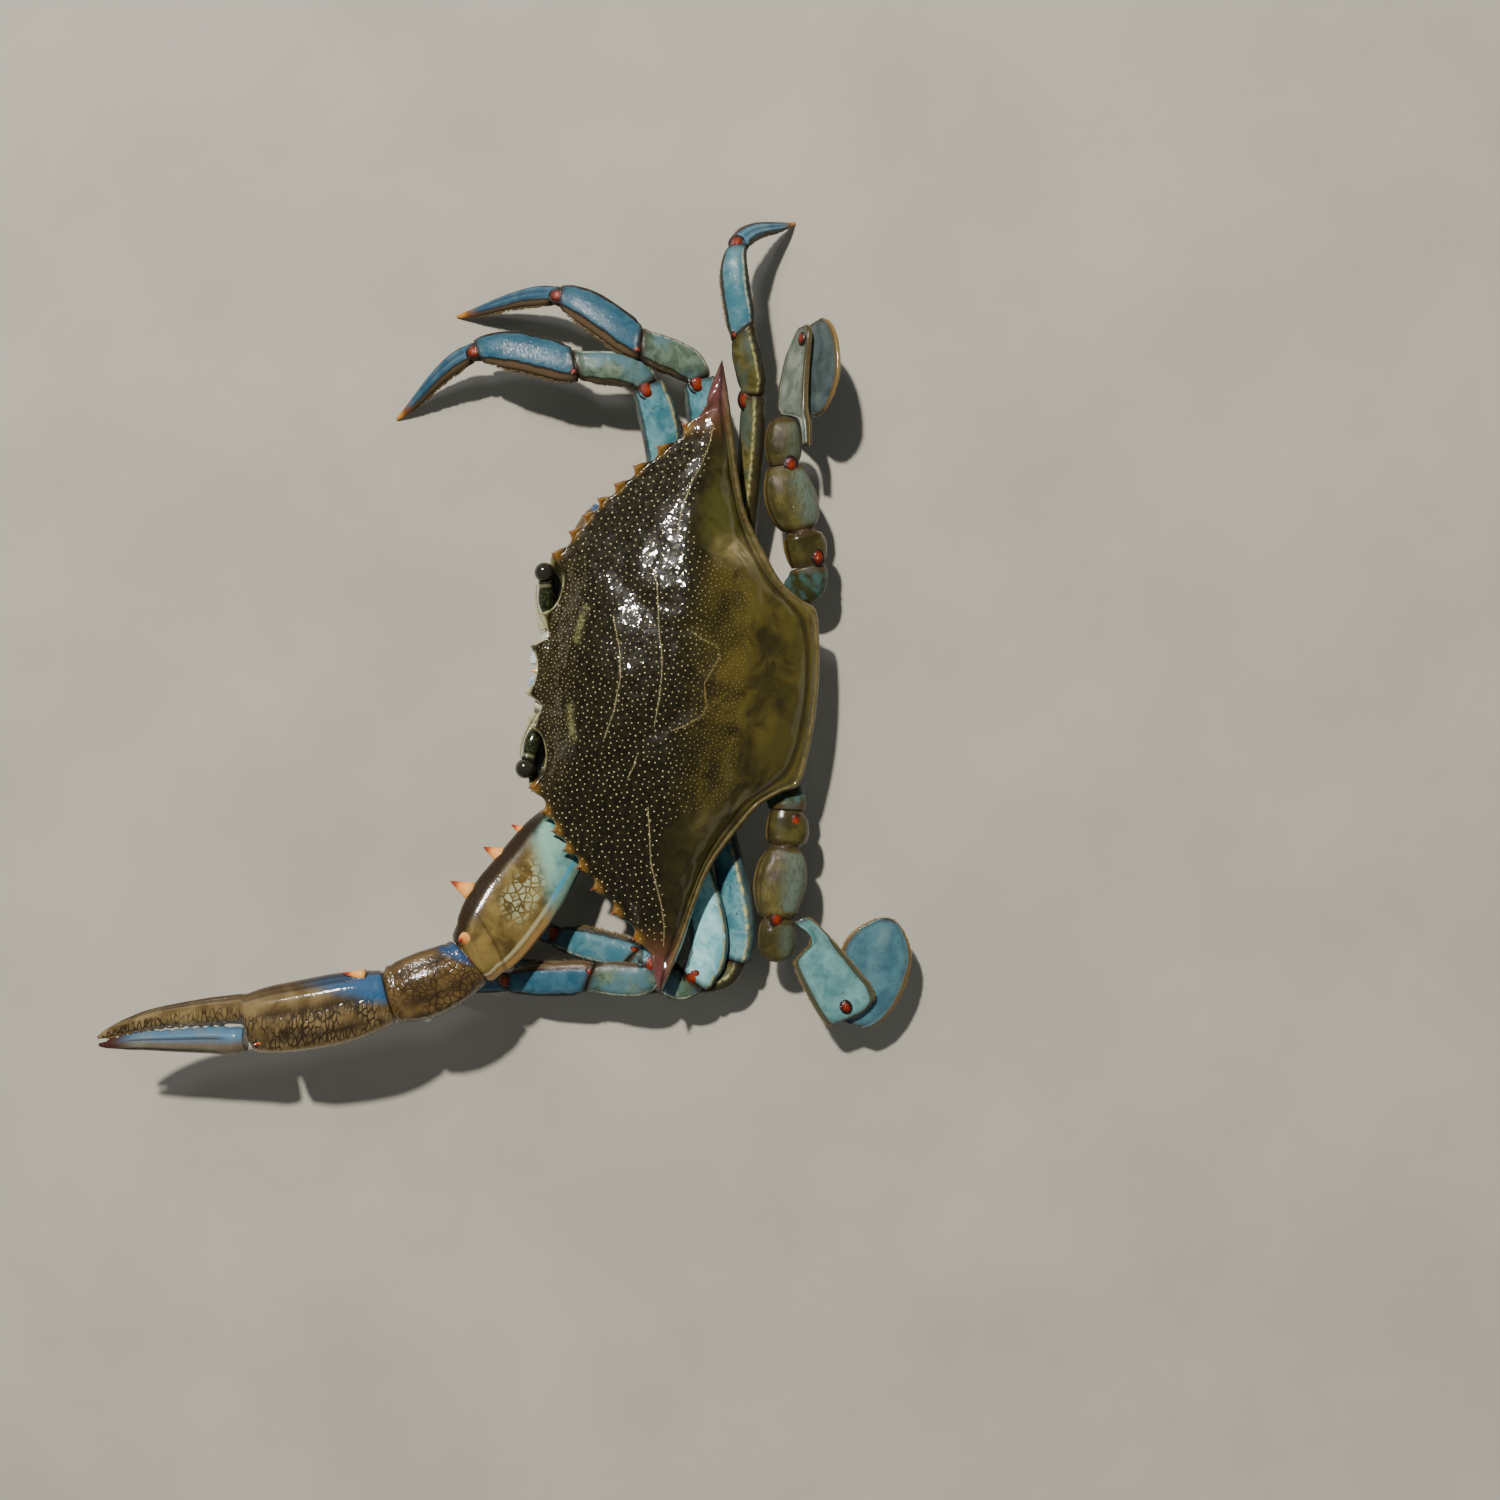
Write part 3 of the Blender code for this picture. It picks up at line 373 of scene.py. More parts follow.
def edge_knots():
    """(edge point, smooth point, is a sharp tip) of the left half, front to rear."""
    knots = [(tip, base, n in (2, 5)) for n, (tip, base) in enumerate(FRONT_EDGE)]
    for number in range(TEETH):
        tip, across, inward = tooth_frame(number)
        side = tip + across * NOTCH[number] / 2 + inward * 0.32
        notch = tip + across * NOTCH[number] + inward
        knots.append((tip, tip + across * 0.12 + inward * 1.1, True))
        knots.append((side, side + inward * 0.75, False))
        knots.append((notch, notch + inward / TOOTH_DEPTH[number] * 0.5, False))
    return knots + [(tip, base, n == 1) for n, (tip, base) in enumerate(REAR_EDGE)]


half = edge_knots()
mirror = [((-p[0], p[1]), (-b[0], b[1]), s) for p, b, s in half[-2:0:-1]]
knots = half + mirror
edge = np.array([k[0] for k in knots], float)
base = np.array([k[1] for k in knots], float)
sharp = np.array([k[2] for k in knots])
print("outline knots:", len(knots), "width", np.ptp(edge[:, 0]))

# %% [markdown]
# ## Finer outline
# A curve through the knots gives the edge of the shell. At a sharp tip the curve must not
# round over, so the slope there is taken from one side only. Between two tips the real
# edge is a thorn, a low shoulder and a round bite, which a small table of offsets gives.
# The number kept for each fine point is its place among the knots, so that the inner rows
# of the dome can be read at the same place.

# %% Fine points round the shell
TOOTH_SHAPE = [(0.0, 0.0), (0.03, 0.16), (0.08, 0.27), (0.2, 0.38), (0.34, 0.58), (0.48, 0.85),
               (0.6, 0.98), (0.7, 1.0), (0.8, 0.93), (0.88, 0.75), (0.94, 0.5), (0.975, 0.28),
               (1.0, 0.0)]
LAST_SHAPE = [(0.0, 0.0), (0.03, 0.25), (0.1, 0.55), (0.3, 0.95), (0.55, 1.0), (0.8, 0.7),
              (1.0, 0.0)]
TOOTH_POINTS, FRONT_POINTS, REAR_POINTS = 24, 8, 12


def along_loop(loop, place):
    """A smooth closed curve through the loop's points, read at places between them."""
    n = len(loop)
    i = np.floor(place).astype(int)
    f = (place - i)[:, None]
    a, b, c, d = (loop[(i + k) % n] for k in (-1, 0, 1, 2))
    return 0.5 * (2 * b + (c - a) * f + (2 * a - 5 * b + 4 * c - d) * f ** 2
                  + (3 * b - a - 3 * c + d) * f ** 3)


def edge_piece(number, f):
    """The edge between two knots, with a corner kept at sharp tips."""
    n = len(edge)
    p, q = edge[number], edge[(number + 1) % n]
    leave = q - p if sharp[number] else (q - edge[number - 1]) / 2
    arrive = q - p if sharp[(number + 1) % n] else (edge[(number + 2) % n] - p) / 2
    f = f[:, None]
    return (p * (2 * f ** 3 - 3 * f ** 2 + 1) + leave * (f ** 3 - 2 * f ** 2 + f)
            + q * (3 * f ** 2 - 2 * f ** 3) + arrive * (f ** 3 - f ** 2))


def fine_half():
    """Places and edge points of the left half, front middle to rear middle."""
    places, points = [], []
    for number in range(len(half) - 1):
        tooth, part = divmod(number - len(FRONT_EDGE), 3)
        if 0 <= tooth < TEETH:
            if part:
                continue
            tip, across, inward = tooth_frame(tooth)
            share = np.arange(TOOTH_POINTS) / TOOTH_POINTS
            share = share - 0.03 * np.sin(2 * math.pi * share)
            cut = NOTCH[tooth]
            shape = TOOTH_SHAPE if tooth < TEETH - 1 else LAST_SHAPE
            deep = np.interp(share, *zip(*shape))
            places.append(number + np.where(share < cut, share / cut * 2,
                                            2 + (share - cut) / (1 - cut)))
            points.append(tip + across * share[:, None] + inward * deep[:, None])
        else:
            count = FRONT_POINTS if number < len(FRONT_EDGE) else REAR_POINTS
            f = np.arange(count) / count
            places.append(number + f)
            points.append(edge_piece(number, f))
    return np.concatenate(places), np.concatenate(points)


left_places, left_points = fine_half()
right_points = left_points[:0:-1] * [-1, 1]
right_places = len(knots) - left_places[:0:-1]
edge_fine = np.concatenate([left_points, [REAR_EDGE[-1][0]], right_points])
for outline in (edge_fine, edge, base):
    outline[:, 0] -= SPINE_LEAN * np.clip((np.abs(outline[:, 0]) - 66) / (SPINE_REACH - 66), 0, 1)
place_fine = np.concatenate([left_places, [len(half) - 1.0], right_places])
AROUND = len(edge_fine)
print("fine outline points:", AROUND)

# %% [markdown]
# ## The dome
# The dome climbs from the rim to the crown by one power curve, and each row further in
# follows a smoother outline, so the teeth fade out after a few millimetres. On top of that
# go the regions that every crab shows: the stomach in front, the gill chambers at the
# sides, the heart behind, the grooves between them and the fine crests. They are written
# as heights over a place, so they can be read anywhere.

# %% Heights of the shell
DOME_ROWS = [(1.0, 0), (0.95, 1), (0.86, 4), (0.72, 8), (0.54, 8), (0.35, 8), (0.17, 8), (0.0, 0)]
CRESTS = {
    "front_left": [(0.5, -17.0), (8.6, -17.8), (15.8, -19.7)],
    "front_right": [(0.5, -17.0), (-6.7, -17.8), (-15.0, -20.5)],
    "middle": [(-27.4, -11.6), (-24.0, -10.2), (-12.0, -8.5), (-5.9, -7.1), (0.0, -6.7),
               (5.1, -6.8), (11.4, -7.4)],
    "middle_left": [(19.4, -11.2), (22.0, -11.6), (24.9, -12.8)],
    "arc_left": [(31.9, -7.1), (36.0, -6.4), (41.0, -5.8), (46.3, -5.1), (50.5, -3.6),
                 (55.8, -1.8), (61.5, -0.5), (67.0, -0.2)],
    "arc_right": [(-37.5, -6.4), (-43.7, -6.1), (-51.2, -4.3), (-56.2, -2.3), (-61.5, -1.0),
                  (-67.0, -0.4)],
    "heart": [(-12.8, -0.3), (-10.9, 3.4), (-10.3, 6.1), (-7.4, 7.2), (-3.6, 5.4), (-0.5, 4.1),
              (2.4, 4.4), (5.1, 5.2), (7.7, 4.2), (10.4, 0.6), (12.2, -3.1)],
}
GROOVES = [
    [(27.0, -25.0), (24.5, -19.0), (19.5, -14.5), (14.0, -9.0), (9.5, -2.5), (5.0, 0.6), (0, 1.2)],
    [(13.5, -4.0), (14.5, 3.0), (12.5, 9.0), (10.5, 14.0)],
    [(30.5, -13.5), (33.5, -18.0), (37.0, -24.0)],
]


def rim_height(y):
    front = np.clip((-30 - y) / 10, 0, 1)
    rear = np.clip((y - 2) / 28, 0, 1)
    return 23.2 + 1.4 * front - 3.6 * rear


def line_gap(x, y, line):
    """Distance in plan from each point to a broken line."""
    line = np.array(line, float)
    best = np.full(np.shape(x), 1e9)
    for (ax, ay), (bx, by) in zip(line, line[1:]):
        t = np.clip(((x - ax) * (bx - ax) + (y - ay) * (by - ay))
                    / ((bx - ax) ** 2 + (by - ay) ** 2), 0, 1)
        best = np.minimum(best, np.hypot(x - ax - t * (bx - ax), y - ay - t * (by - ay)))
    return best


def crest_mark(x, y, width):
    """1 on the fine crests of the shell and 0 away from them."""
    gaps = [line_gap(x, y, line) for line in CRESTS.values()]
    return bell(np.min(gaps, axis=0), width)


def relief(x, y):
    """What the regions, grooves and crests add to the smooth dome, in millimetres."""
    ax = np.abs(x)

    def hill(cx, cy, wide, long, high):
        return high * np.exp(-((ax - cx) / wide) ** 2 - ((y - cy) / long) ** 2)

    h = (hill(0, -18, 20, 9, 0.55) + hill(12, -28, 7, 4, 0.5) + hill(40, -12, 15, 9, 0.8)
         + hill(26, 3, 11, 9, 1.0) + hill(5.5, 11, 5, 5, 0.7) + hill(0, 20, 10, 6, 0.3)
         + hill(32, 12, 5, 6, 0.9) - hill(44, 3, 12, 4, 0.5) - hill(22, 17, 6, 6, 0.5)
         - hill(21, -31.5, 5, 3, 0.7) - hill(5, -34, 9, 3, 0.6))
    for line, deep, wide in zip(GROOVES, (0.42, 0.28, 0.2), (2.2, 1.6, 2.2)):
        h = h - deep * bell(line_gap(ax, y, line), wide)
    h = h + 0.14 * crest_mark(x, y, 0.8)
    return h * smooth_step(76 - ax, 0, 14) - 0.45

# %% [markdown]
# ## Rows of the shell's upper side
# The rows run from the crown out to the smooth edge and then along each tooth to its tip.
# The marks are worked out here too: how near a tooth's tip a point is, how far out on the
# side spine, where the beads grow, and how near the rolled rear border.

# %% Upper side of the shell
DOME_SHARES = np.concatenate([np.linspace(0.006, 0.89, 42), np.linspace(0.9, 1.0, 14)])
TOOTH_SHARES = (0.85, 0.7, 0.54, 0.38, 0.24, 0.12, 0.05, 0.0)


def smooth_loops():
    """The knots' smooth edge at each step inwards, as part of the dome's own form."""
    loop, loops = base.copy(), []
    for _, passes in DOME_ROWS:
        for _ in range(passes):
            loop = np.roll(loop, 1, 0) * 0.25 + loop * 0.5 + np.roll(loop, -1, 0) * 0.25
        loops.append(along_loop(loop, place_fine))
    return loops


loops = smooth_loops()
base_fine = loops[0]


def dome_row(share):
    """A closed row of the dome at a share of the way from the crown to the edge."""
    shares = [s for s, _ in DOME_ROWS]
    k = max(i for i, s in enumerate(shares) if s >= share - 1e-9)
    k = min(k, len(shares) - 2)
    f = (shares[k] - share) / (shares[k] - shares[k + 1])
    smooth = loops[k] * (1 - f) + loops[k + 1] * f
    rim = rim_height(smooth[:, 1])
    flat = CROWN + (smooth - CROWN) * share
    z = rim + RIM_HALF + (CROWN_Z - rim) * (1 - share ** 2.3)
    z = z + relief(*flat.T) * smooth_step(1 - share, 0, 0.06)
    inset = np.hypot(*(smooth - flat).T)
    rolled = smooth_step(smooth[:, 1], 0, 6)
    roll = 0.34 * bell(inset - 1.15, 0.55) - 0.38 * bell(inset - 2.35, 0.6)
    return np.column_stack([flat, z + roll * rolled])


def upper_rows():
    rows = [dome_row(share) for share in DOME_SHARES]
    rim = rim_height(base_fine[:, 1])
    reach = np.hypot(*(edge_fine - base_fine).T)
    for q in TOOTH_SHARES:
        flat = edge_fine * (1 - q) + base_fine * q
        swell = 0.7 * np.sin(q * math.pi / 2) + 0.35 * np.sin(q * math.pi) * np.minimum(reach, 4)
        tip = 0.35 * (1 - q) * smooth_step(reach, 1.6, 3.4) * (np.abs(base_fine[:, 0]) < 70)
        rows.append(np.column_stack([flat, rim + 0.2 + swell + tip]))
    return rows


upper = upper_rows()
upper_points = np.concatenate(upper)
ux, uy, uz = upper_points.T
wide = np.abs(ux)
BEAD_EDGE = [(0, 13.5), (24, 14), (28, 12.4), (30.5, 9), (31.8, 4), (34, -0.5), (39, -3.6),
             (47, -3.2), (55, -1.2), (62, 0.2), (70, 0.4)]


def bead_rear(x):
    """The line behind which the shell is smooth."""
    return np.interp(np.abs(x), *zip(*BEAD_EDGE))


def edge_marks(points):
    """Marks of both sides of the shell: how near a tooth's tip, and how far out on the spine."""
    x, y = np.abs(points[:, 0]), points[:, 1]
    gap = np.min([np.hypot(x - tip_x, y - tip_y) for tip_x, tip_y in TOOTH_TIPS[:TEETH]], axis=0)
    return {"tooth": 1 - np.clip(gap / 5.0, 0, 1), "spine": np.clip((x - 60) / 22, 0, 1)}


upper_marks = {
    **edge_marks(upper_points),
    "beaded": smooth_step(bead_rear(ux) - uy, -1.5, 2.5),
    "crest": crest_mark(ux, uy, 0.17),
    # the band behind each side spine, which gets a tan colour and a painted highlight
    "swelling_and_highlight": np.exp(-((wide - 35) / 3.4) ** 2 - ((uy - 10.0) / 5.5) ** 2),
    "patch": bell(line_gap(wide, uy, [(8.4, -29.3), (12, -29.0), (16.5, -27.8)]), 0.8),
    "brow": np.repeat([0.0] * 58 + [0.1, 0.4, 0.8, 1, 1, 1], AROUND) * smooth_step(-uy, 33.5, 35)
    * (1 - smooth_step(wide, 23, 26)),
    "border": np.repeat([*np.zeros(42), *np.linspace(0, 0.5, 14), *np.linspace(0.55, 1, 8)], AROUND)
    * smooth_step(uy, -2, 4),
    "behind": smooth_step(uy, -14, 24),
    "slope": smooth_step(wide, 19, 30) * smooth_step(uy - bead_rear(ux), -1, 6)
    * (1 - smooth_step(wide, 56, 70)),
    "front": smooth_step(-uy, 26, 36),
}
print("upper shell rows", len(upper), "points", len(upper_points), "top", round(uz.max(), 2))

# %% [markdown]
# ## Finish of the upper shell
# The real shell is almost black-brown in front, turning to olive behind, with soft
# yellow-green clouds on the smooth slopes. The pale tan on the band behind each side spine
# is partly its own colour and partly a painted highlight, and both the clouds and that band
# are weakened on the left side as painted shade. The teeth are orange-brown with dark red
# tips and a painted pink highlight at the very point, and the side spines are dull purple.
# Over everything lies a wet film, which is the coat. Where the beads grow the water stands
# in small pools between them and each grain flashes for itself, so `glitter` tilts the coat
# of every 0.7 mm cell its own way.

# %% Shell finish
def shell_finish():
    f = Finish("wet_shell", 0.38, coat=1.0, coat_roughness=0.03)
    cloud = f.noise(9, 4, 0.6, 0.6)
    fine = f.noise(1.6, 4, 0.65)
    dark = f.mix(f.step(fine, 0.3, 0.75), (0.0055, 0.0045, 0.0014), (0.016, 0.0125, 0.0036))
    olive = f.mix(f.step(cloud, 0.35, 0.68), (0.020, 0.0155, 0.003), (0.084, 0.064, 0.010))
    smooth = f.mix(f.step(f.noise(22, 3), 0.4, 0.66), olive, (0.064, 0.053, 0.008))
    f.colour = f.mix(f.step(f.plus(f.mark("behind"), f.times(cloud, 0.3)), 0.25, 1.1), dark,
                     smooth)
    clouds = f.step(f.noise(11, 4, 0.6, 0.8), 0.42, 0.66)
    f.lay((0.056, 0.052, 0.009), f.times(f.mark("slope"), clouds))
    # Painted highlight, in part: the pale tan streaks on the band behind each side spine are partly
    # its own colour and partly a painted highlight.
    streak = f.step(f.noise(6, 4, 0.6, 1.2, (1.0, 0.45, 1.0)), 0.45, 0.68)
    f.lay((0.26, 0.205, 0.085), f.times(f.mark("swelling_and_highlight"), f.plus(streak, 0.35)))
    brown = f.mix(f.step(fine, 0.35, 0.7), (0.014, 0.0105, 0.0035), (0.036, 0.026, 0.009))
    f.lay(brown, f.mark("front"), 0.75)
    patch = f.times(f.mark("patch"), f.step(f.noise(1.2, 3), 0.32, 0.60))
    f.lay((0.19, 0.19, 0.075), patch, 0.7)
    side = f.ramp(f.mark("spine"), (0.0, (0.040, 0.024, 0.006)), (0.35, (0.070, 0.032, 0.012)),
                  (0.7, (0.110, 0.034, 0.034)), (0.93, (0.070, 0.016, 0.018)),
                  (1.0, (0.085, 0.026, 0.026)))
    f.lay(side, f.step(f.mark("spine"), 0.02, 0.45))
    # The teeth run from orange-brown to dark red tips; the pink of the ramp's last stop, at the
    # very point, is a painted highlight.
    tooth = f.ramp(f.mark("tooth"), (0.0, (0.030, 0.020, 0.005)), (0.35, (0.085, 0.046, 0.008)),
                   (0.66, (0.165, 0.078, 0.009)), (0.84, (0.13, 0.030, 0.010)),
                   (1.0, (0.50, 0.19, 0.14)))
    f.lay(tooth, f.step(f.mark("tooth"), 0.12, 0.5))
    f.lay((0.16, 0.14, 0.075), f.mark("crest"), 0.38)
    brow = f.times(f.mark("brow"), f.step(f.noise(1.6, 3), 0.30, 0.55))
    f.lay((0.42, 0.40, 0.19), brow)
    rim = f.step(f.mark("border"), 0.30, 0.52)
    dip = f.times(f.step(f.mark("border"), 0.12, 0.2), f.step(f.mark("border"), 0.34, 0.26))
    f.lay((0.012, 0.008, 0.003), dip, 0.7)
    tan = f.mix(f.step(fine, 0.3, 0.7), (0.065, 0.050, 0.018), (0.15, 0.115, 0.05))
    f.lay(tan, rim, 0.6)
    cell = f.cells(1.25)
    film = f.times(f.minus(1.0, f.times(cell, cell)), f.mark("beaded"))
    pool = f.times(f.noise(8.5, 1), 9.0)
    f.raise_by(f.plus(f.times(film, 0.4), pool), 0.13, 1.0)
    f.glitter(0.72, 0.27, f.mark("beaded"))
    return f.done(roughness=f.step(fine, -0.3, 1.6))


# Painted shade: the slope clouds and the tan band with its painted highlight are weakened on the
# left side (+X), which is turned away from the light, so that side reads darker.
left_painted_shade = 1 - 0.75 * smooth_step(ux, 0, 32)
for mark in ("slope", "swelling_and_highlight"):
    upper_marks[mark] = upper_marks[mark] * left_painted_shade
piece("shell_upper", upper_points, hoops(len(upper), AROUND, close_start=True), shell_finish(),
      ["carapace"], upper_marks)

# %% [markdown]
# ## Beads of the shell
# What marks this shell from a step away is its pale beads: two and a half thousand of them,
# wide apart in the middle and small and close towards the rear and the front edge. They
# could be a bump in the material, but real beads catch the light and show at the outline,
# so each is a small dome of mesh. Places are drawn one by one, and a place too close to an
# earlier one is dropped, which spaces them as evenly as on the animal.

# %% Places of the beads
upper_tree = BVHTree.FromPolygons(upper_points.tolist(), hoops(len(upper), AROUND))


def bead_size(x, y):
    """(spacing, radius) of the beads at a place, in millimetres."""
    rear = float(smooth_step(y, -4, 8)) * (1 - float(smooth_step(abs(x), 36, 46)))
    front = float(smooth_step(-y, 26.5, 30.5)) * (1 - float(smooth_step(abs(x), 26, 31)))
    fine = max(rear, front * 0.9)
    out = float(smooth_step(abs(x), 18, 46))
    return 1.24 - 0.44 * fine + 0.22 * out, 0.228 - 0.072 * fine + 0.02 * out


def on_shell(x, y):
    """The point of the shell straight below a place, its upward normal and its row."""
    spot, normal, face, _ = upper_tree.ray_cast(Vector((x, y, 60)), Vector((0, 0, -1)))
    if spot is None:
        return None, None, len(upper)
    return spot, normal * math.copysign(1, normal.z), face // AROUND


def too_near(boxes, x, y, gap):
    i, j = int(x // 2), int(y // 2)
    near = [p for m in (i - 1, i, i + 1) for n in (j - 1, j, j + 1) for p in boxes.get((m, n), ())]
    return any((px - x) ** 2 + (py - y) ** 2 < gap * gap for px, py in near)


def scatter_beads(seed=11, tries=70000):
    rng = np.random.default_rng(seed)
    darts = rng.uniform((-66, -40), (66, 15), (tries, 2))
    keep = (darts[:, 1] < bead_rear(darts[:, 0]) - 0.3 * rng.random(tries))
    kept, boxes = [], {}
    for x, y in darts[keep]:
        gap, radius = bead_size(x, y)
        if too_near(boxes, x, y, gap):
            continue
        spot, normal, row = on_shell(x, y)
        if row < len(DOME_SHARES):
            boxes.setdefault((int(x // 2), int(y // 2)), []).append((x, y))
            kept.append((spot, normal, radius * rng.uniform(0.78, 1.2)))
    return kept


def crest_beads(seed=5):
    """Small beads in single file along the crests."""
    rng = np.random.default_rng(seed)
    made = []
    for line in CRESTS.values():
        line = np.array(line, float)
        steps = np.hypot(*np.diff(line, axis=0).T)
        total = np.concatenate([[0], np.cumsum(steps)])
        for s in np.arange(0, total[-1], 0.46):
            x, y = (np.interp(s + rng.uniform(-0.08, 0.08), total, line[:, k]) for k in (0, 1))
            spot, normal, _ = on_shell(x, y + rng.normal(0, 0.05))
            made.append((spot, normal, rng.uniform(0.13, 0.2)))
    return made


bead_places = scatter_beads() + crest_beads()
print("beads:", len(bead_places))

# %% [markdown]
# ## One mesh for all the beads
# Every bead is the same little dome, turned to the shell's slope and sunk a little into
# it. One joined mesh is quicker than thousands of objects. Each bead also gets its own
# small patch in a UV map named OFBake, at the bead's place on the shell laid out flat,
# so that a baked colour can be kept for each bead.

# %% Mesh of the beads
BEAD_SIDES = 7
BEAD_RINGS = [(1.0, -0.30), (0.86, 0.28), (0.50, 0.58)]
BEAD_TOP = 0.70


def domes(places):
    """Points, faces, height marks and patch places of many small domes."""
    points, faces, cap, spots = [], [], [], []
    angles = [2 * math.pi * i / BEAD_SIDES for i in range(BEAD_SIDES)]
    for spot, normal, radius in places:
        side = normal.orthogonal().normalized()
        front = normal.cross(side)
        first = len(points)
        for share, lift in BEAD_RINGS:
            for angle in angles:
                out = side * math.cos(angle) + front * math.sin(angle)
                points.append(spot + (out * share + normal * lift) * radius)
                cap.append(max(lift, 0) / BEAD_TOP)
        points.append(spot + normal * BEAD_TOP * radius)
        cap.append(1.0)
        top = len(points) - 1
        spots += [(spot.x, spot.y)] * (top + 1 - first)
        rings = hoops(len(BEAD_RINGS), BEAD_SIDES, first)
        faces += rings + [(a, b, top) for _, _, b, a in rings[-BEAD_SIDES:]]
    return np.array([tuple(p) for p in points]), faces, np.array(cap), np.array(spots)


def bake_map(made, centres, local, size=0.0015):
    """The OFBake map: each point sits near its patch's place, by its own small offset."""
    layer = made.data.uv_layers.new(name="OFBake")
    corner = np.zeros(len(made.data.loops), dtype=np.int32)
    made.data.loops.foreach_get("vertex_index", corner)
    uv = np.clip(centres, 0.01, 0.99) + local * size
    layer.data.foreach_set("uv", uv[corner].astype(np.float32).ravel())


def bead_finish():
    f = Finish("pale_beads", 0.28, coat=0.9, coat_roughness=0.06)
    cream = f.mix(f.mark("behind"), (0.49, 0.42, 0.20), (0.27, 0.19, 0.05))
    worn = f.mix(0.5, cream, (0.06, 0.045, 0.015))
    cream = f.mix(f.step(f.noise(2.2), 0.3, 0.7), worn, cream)
    return f.done(f.mix(f.step(f.mark("cap"), 0.0, 0.55), (0.016, 0.012, 0.004), cream))


bead_points, bead_faces, cap, spots = domes(bead_places)
beads = piece("shell_beads", bead_points, bead_faces, bead_finish(), ["carapace"],
              {"cap": cap, "behind": smooth_step(spots[:, 1], -6, 6)})
BEAD_POINTS = BEAD_SIDES * len(BEAD_RINGS) + 1
turn = np.tile(np.arange(BEAD_POINTS) * 2 * math.pi / BEAD_SIDES, len(bead_places))
shares = np.repeat([share for share, _ in BEAD_RINGS], BEAD_SIDES)
reach = np.tile([*shares, 0.0], len(bead_places))
bake_map(beads, spots / 176 + 0.5, np.column_stack([np.cos(turn), np.sin(turn)]) * reach[:, None])
print("bead triangles:", sum(len(f) - 2 for f in bead_faces))

# %% [markdown]
# ## The shell's underside
# Under the edge the shell turns in and slopes down to the breast plate. On the animal this
# side is pale, with a blue cast and a tan line at the edge. It starts from the same edge
# points as the upper side, so no gap shows, and ends where the solid meets the breast.

# %% Underside of the shell
SEAM_MIDDLE, SEAM_HALF, SEAM_POWER = np.array([0, 1.0]), (33.0, 24.0), 2.4


def seam_reach(c, s):
    """How far the rounded oval of the seam lies from its middle, in the direction (c, s)."""
    return ((np.abs(c) / SEAM_HALF[0]) ** SEAM_POWER
            + (np.abs(s) / SEAM_HALF[1]) ** SEAM_POWER) ** (-1 / SEAM_POWER)


def seam_point(flat):
    """Where the shell meets the breast plate, in the direction of each point."""
    away = flat - SEAM_MIDDLE
    angle = np.arctan2(away[:, 1], away[:, 0])
    c, s = np.cos(angle), np.sin(angle)
    return SEAM_MIDDLE + np.column_stack([c, s]) * seam_reach(c, s)[:, None]


def lower_rows():
    rim = rim_height(base_fine[:, 1])
    inner = CROWN + (base_fine - CROWN) * 0.97
    seam = seam_point(base_fine)
    wall = inner + (seam - inner) * 0.55
    low = np.column_stack([inner, rim - RIM_HALF])
    middle = np.column_stack([wall, rim - 1.2 - (rim - SEAM_Z) * 0.42])
    last = np.column_stack([seam, np.full(AROUND, SEAM_Z)])
    rows = [upper[-1]]
    for q in (0.12, 0.35, 0.65, 1.0):
        flat = edge_fine * (1 - q) + inner * q
        rows.append(np.column_stack([flat, rim + 0.2 - (RIM_HALF + 0.2) * q ** 0.6]))
    for q in np.linspace(0.1, 1.0, 9):
        curve = (low * (1 - q) ** 2 + (middle * 2 - (low + last) / 2) * 2 * q * (1 - q)
                 + last * q * q)
        ripple = 0.25 * np.sin(q * 9) * (1 - q)
        rows.append(curve + [0, 0, 1] * np.full((AROUND, 1), ripple))
    return rows


lower = lower_rows()
lower_points = np.concatenate(lower)
fading = np.repeat([1, 0.9, 0.7, 0.4, 0.2] + [0.1 - 0.01 * i for i in range(9)], AROUND)


def under_finish(name, pale, blue, tan):
    f = Finish(name, 0.38, coat=0.35, coat_roughness=0.15)
    fine, cloud = f.noise(0.9, 4), f.noise(7, 3)
    f.colour = f.mix(f.step(cloud, 0.35, 0.7), pale, blue)
    f.lay(f.mix(0.5, f.colour, tan), f.step(fine, 0.55, 0.8))
    f.raise_by(fine, 0.08, 0.5)
    return f


f = under_finish("shell_under", (0.52, 0.51, 0.42), (0.34, 0.46, 0.52), (0.30, 0.22, 0.10))
f.lay((0.14, 0.095, 0.035), f.step(f.mark("border"), 0.15, 0.75))
f.lay((0.42, 0.15, 0.06), f.step(f.mark("tooth"), 0.3, 0.75))
f.lay((0.24, 0.09, 0.08), f.step(f.mark("spine"), 0.2, 0.7))
piece("shell_lower", lower_points, hoops(len(lower), AROUND, close_end=True), f.done(),
      ["carapace"], {"border": fading, **edge_marks(lower_points)})
print("shell's underside rows", len(lower))

# %% [markdown]
# ## A maker for limb pieces
# Legs and arms are chains of hard tubes. Each tube follows a curve between two joints, and
# a table says how wide and deep it is along the way, so one function can make them all.
# Ridges and grooves that run lengthwise, and swellings that run round, are added as small
# pushes outwards. Angles are counted from the edge that lies on the body's inner or front
# side (0), over the top (90), to the outer edge (180), and right and left are mirrored.

# %% Limb maker
GAP = 0.3
UP = np.array([0.0, 0.0, 1.0])


def unit(v):
    v = np.asarray(v, float)
    return v / np.linalg.norm(v, axis=-1, keepdims=True)


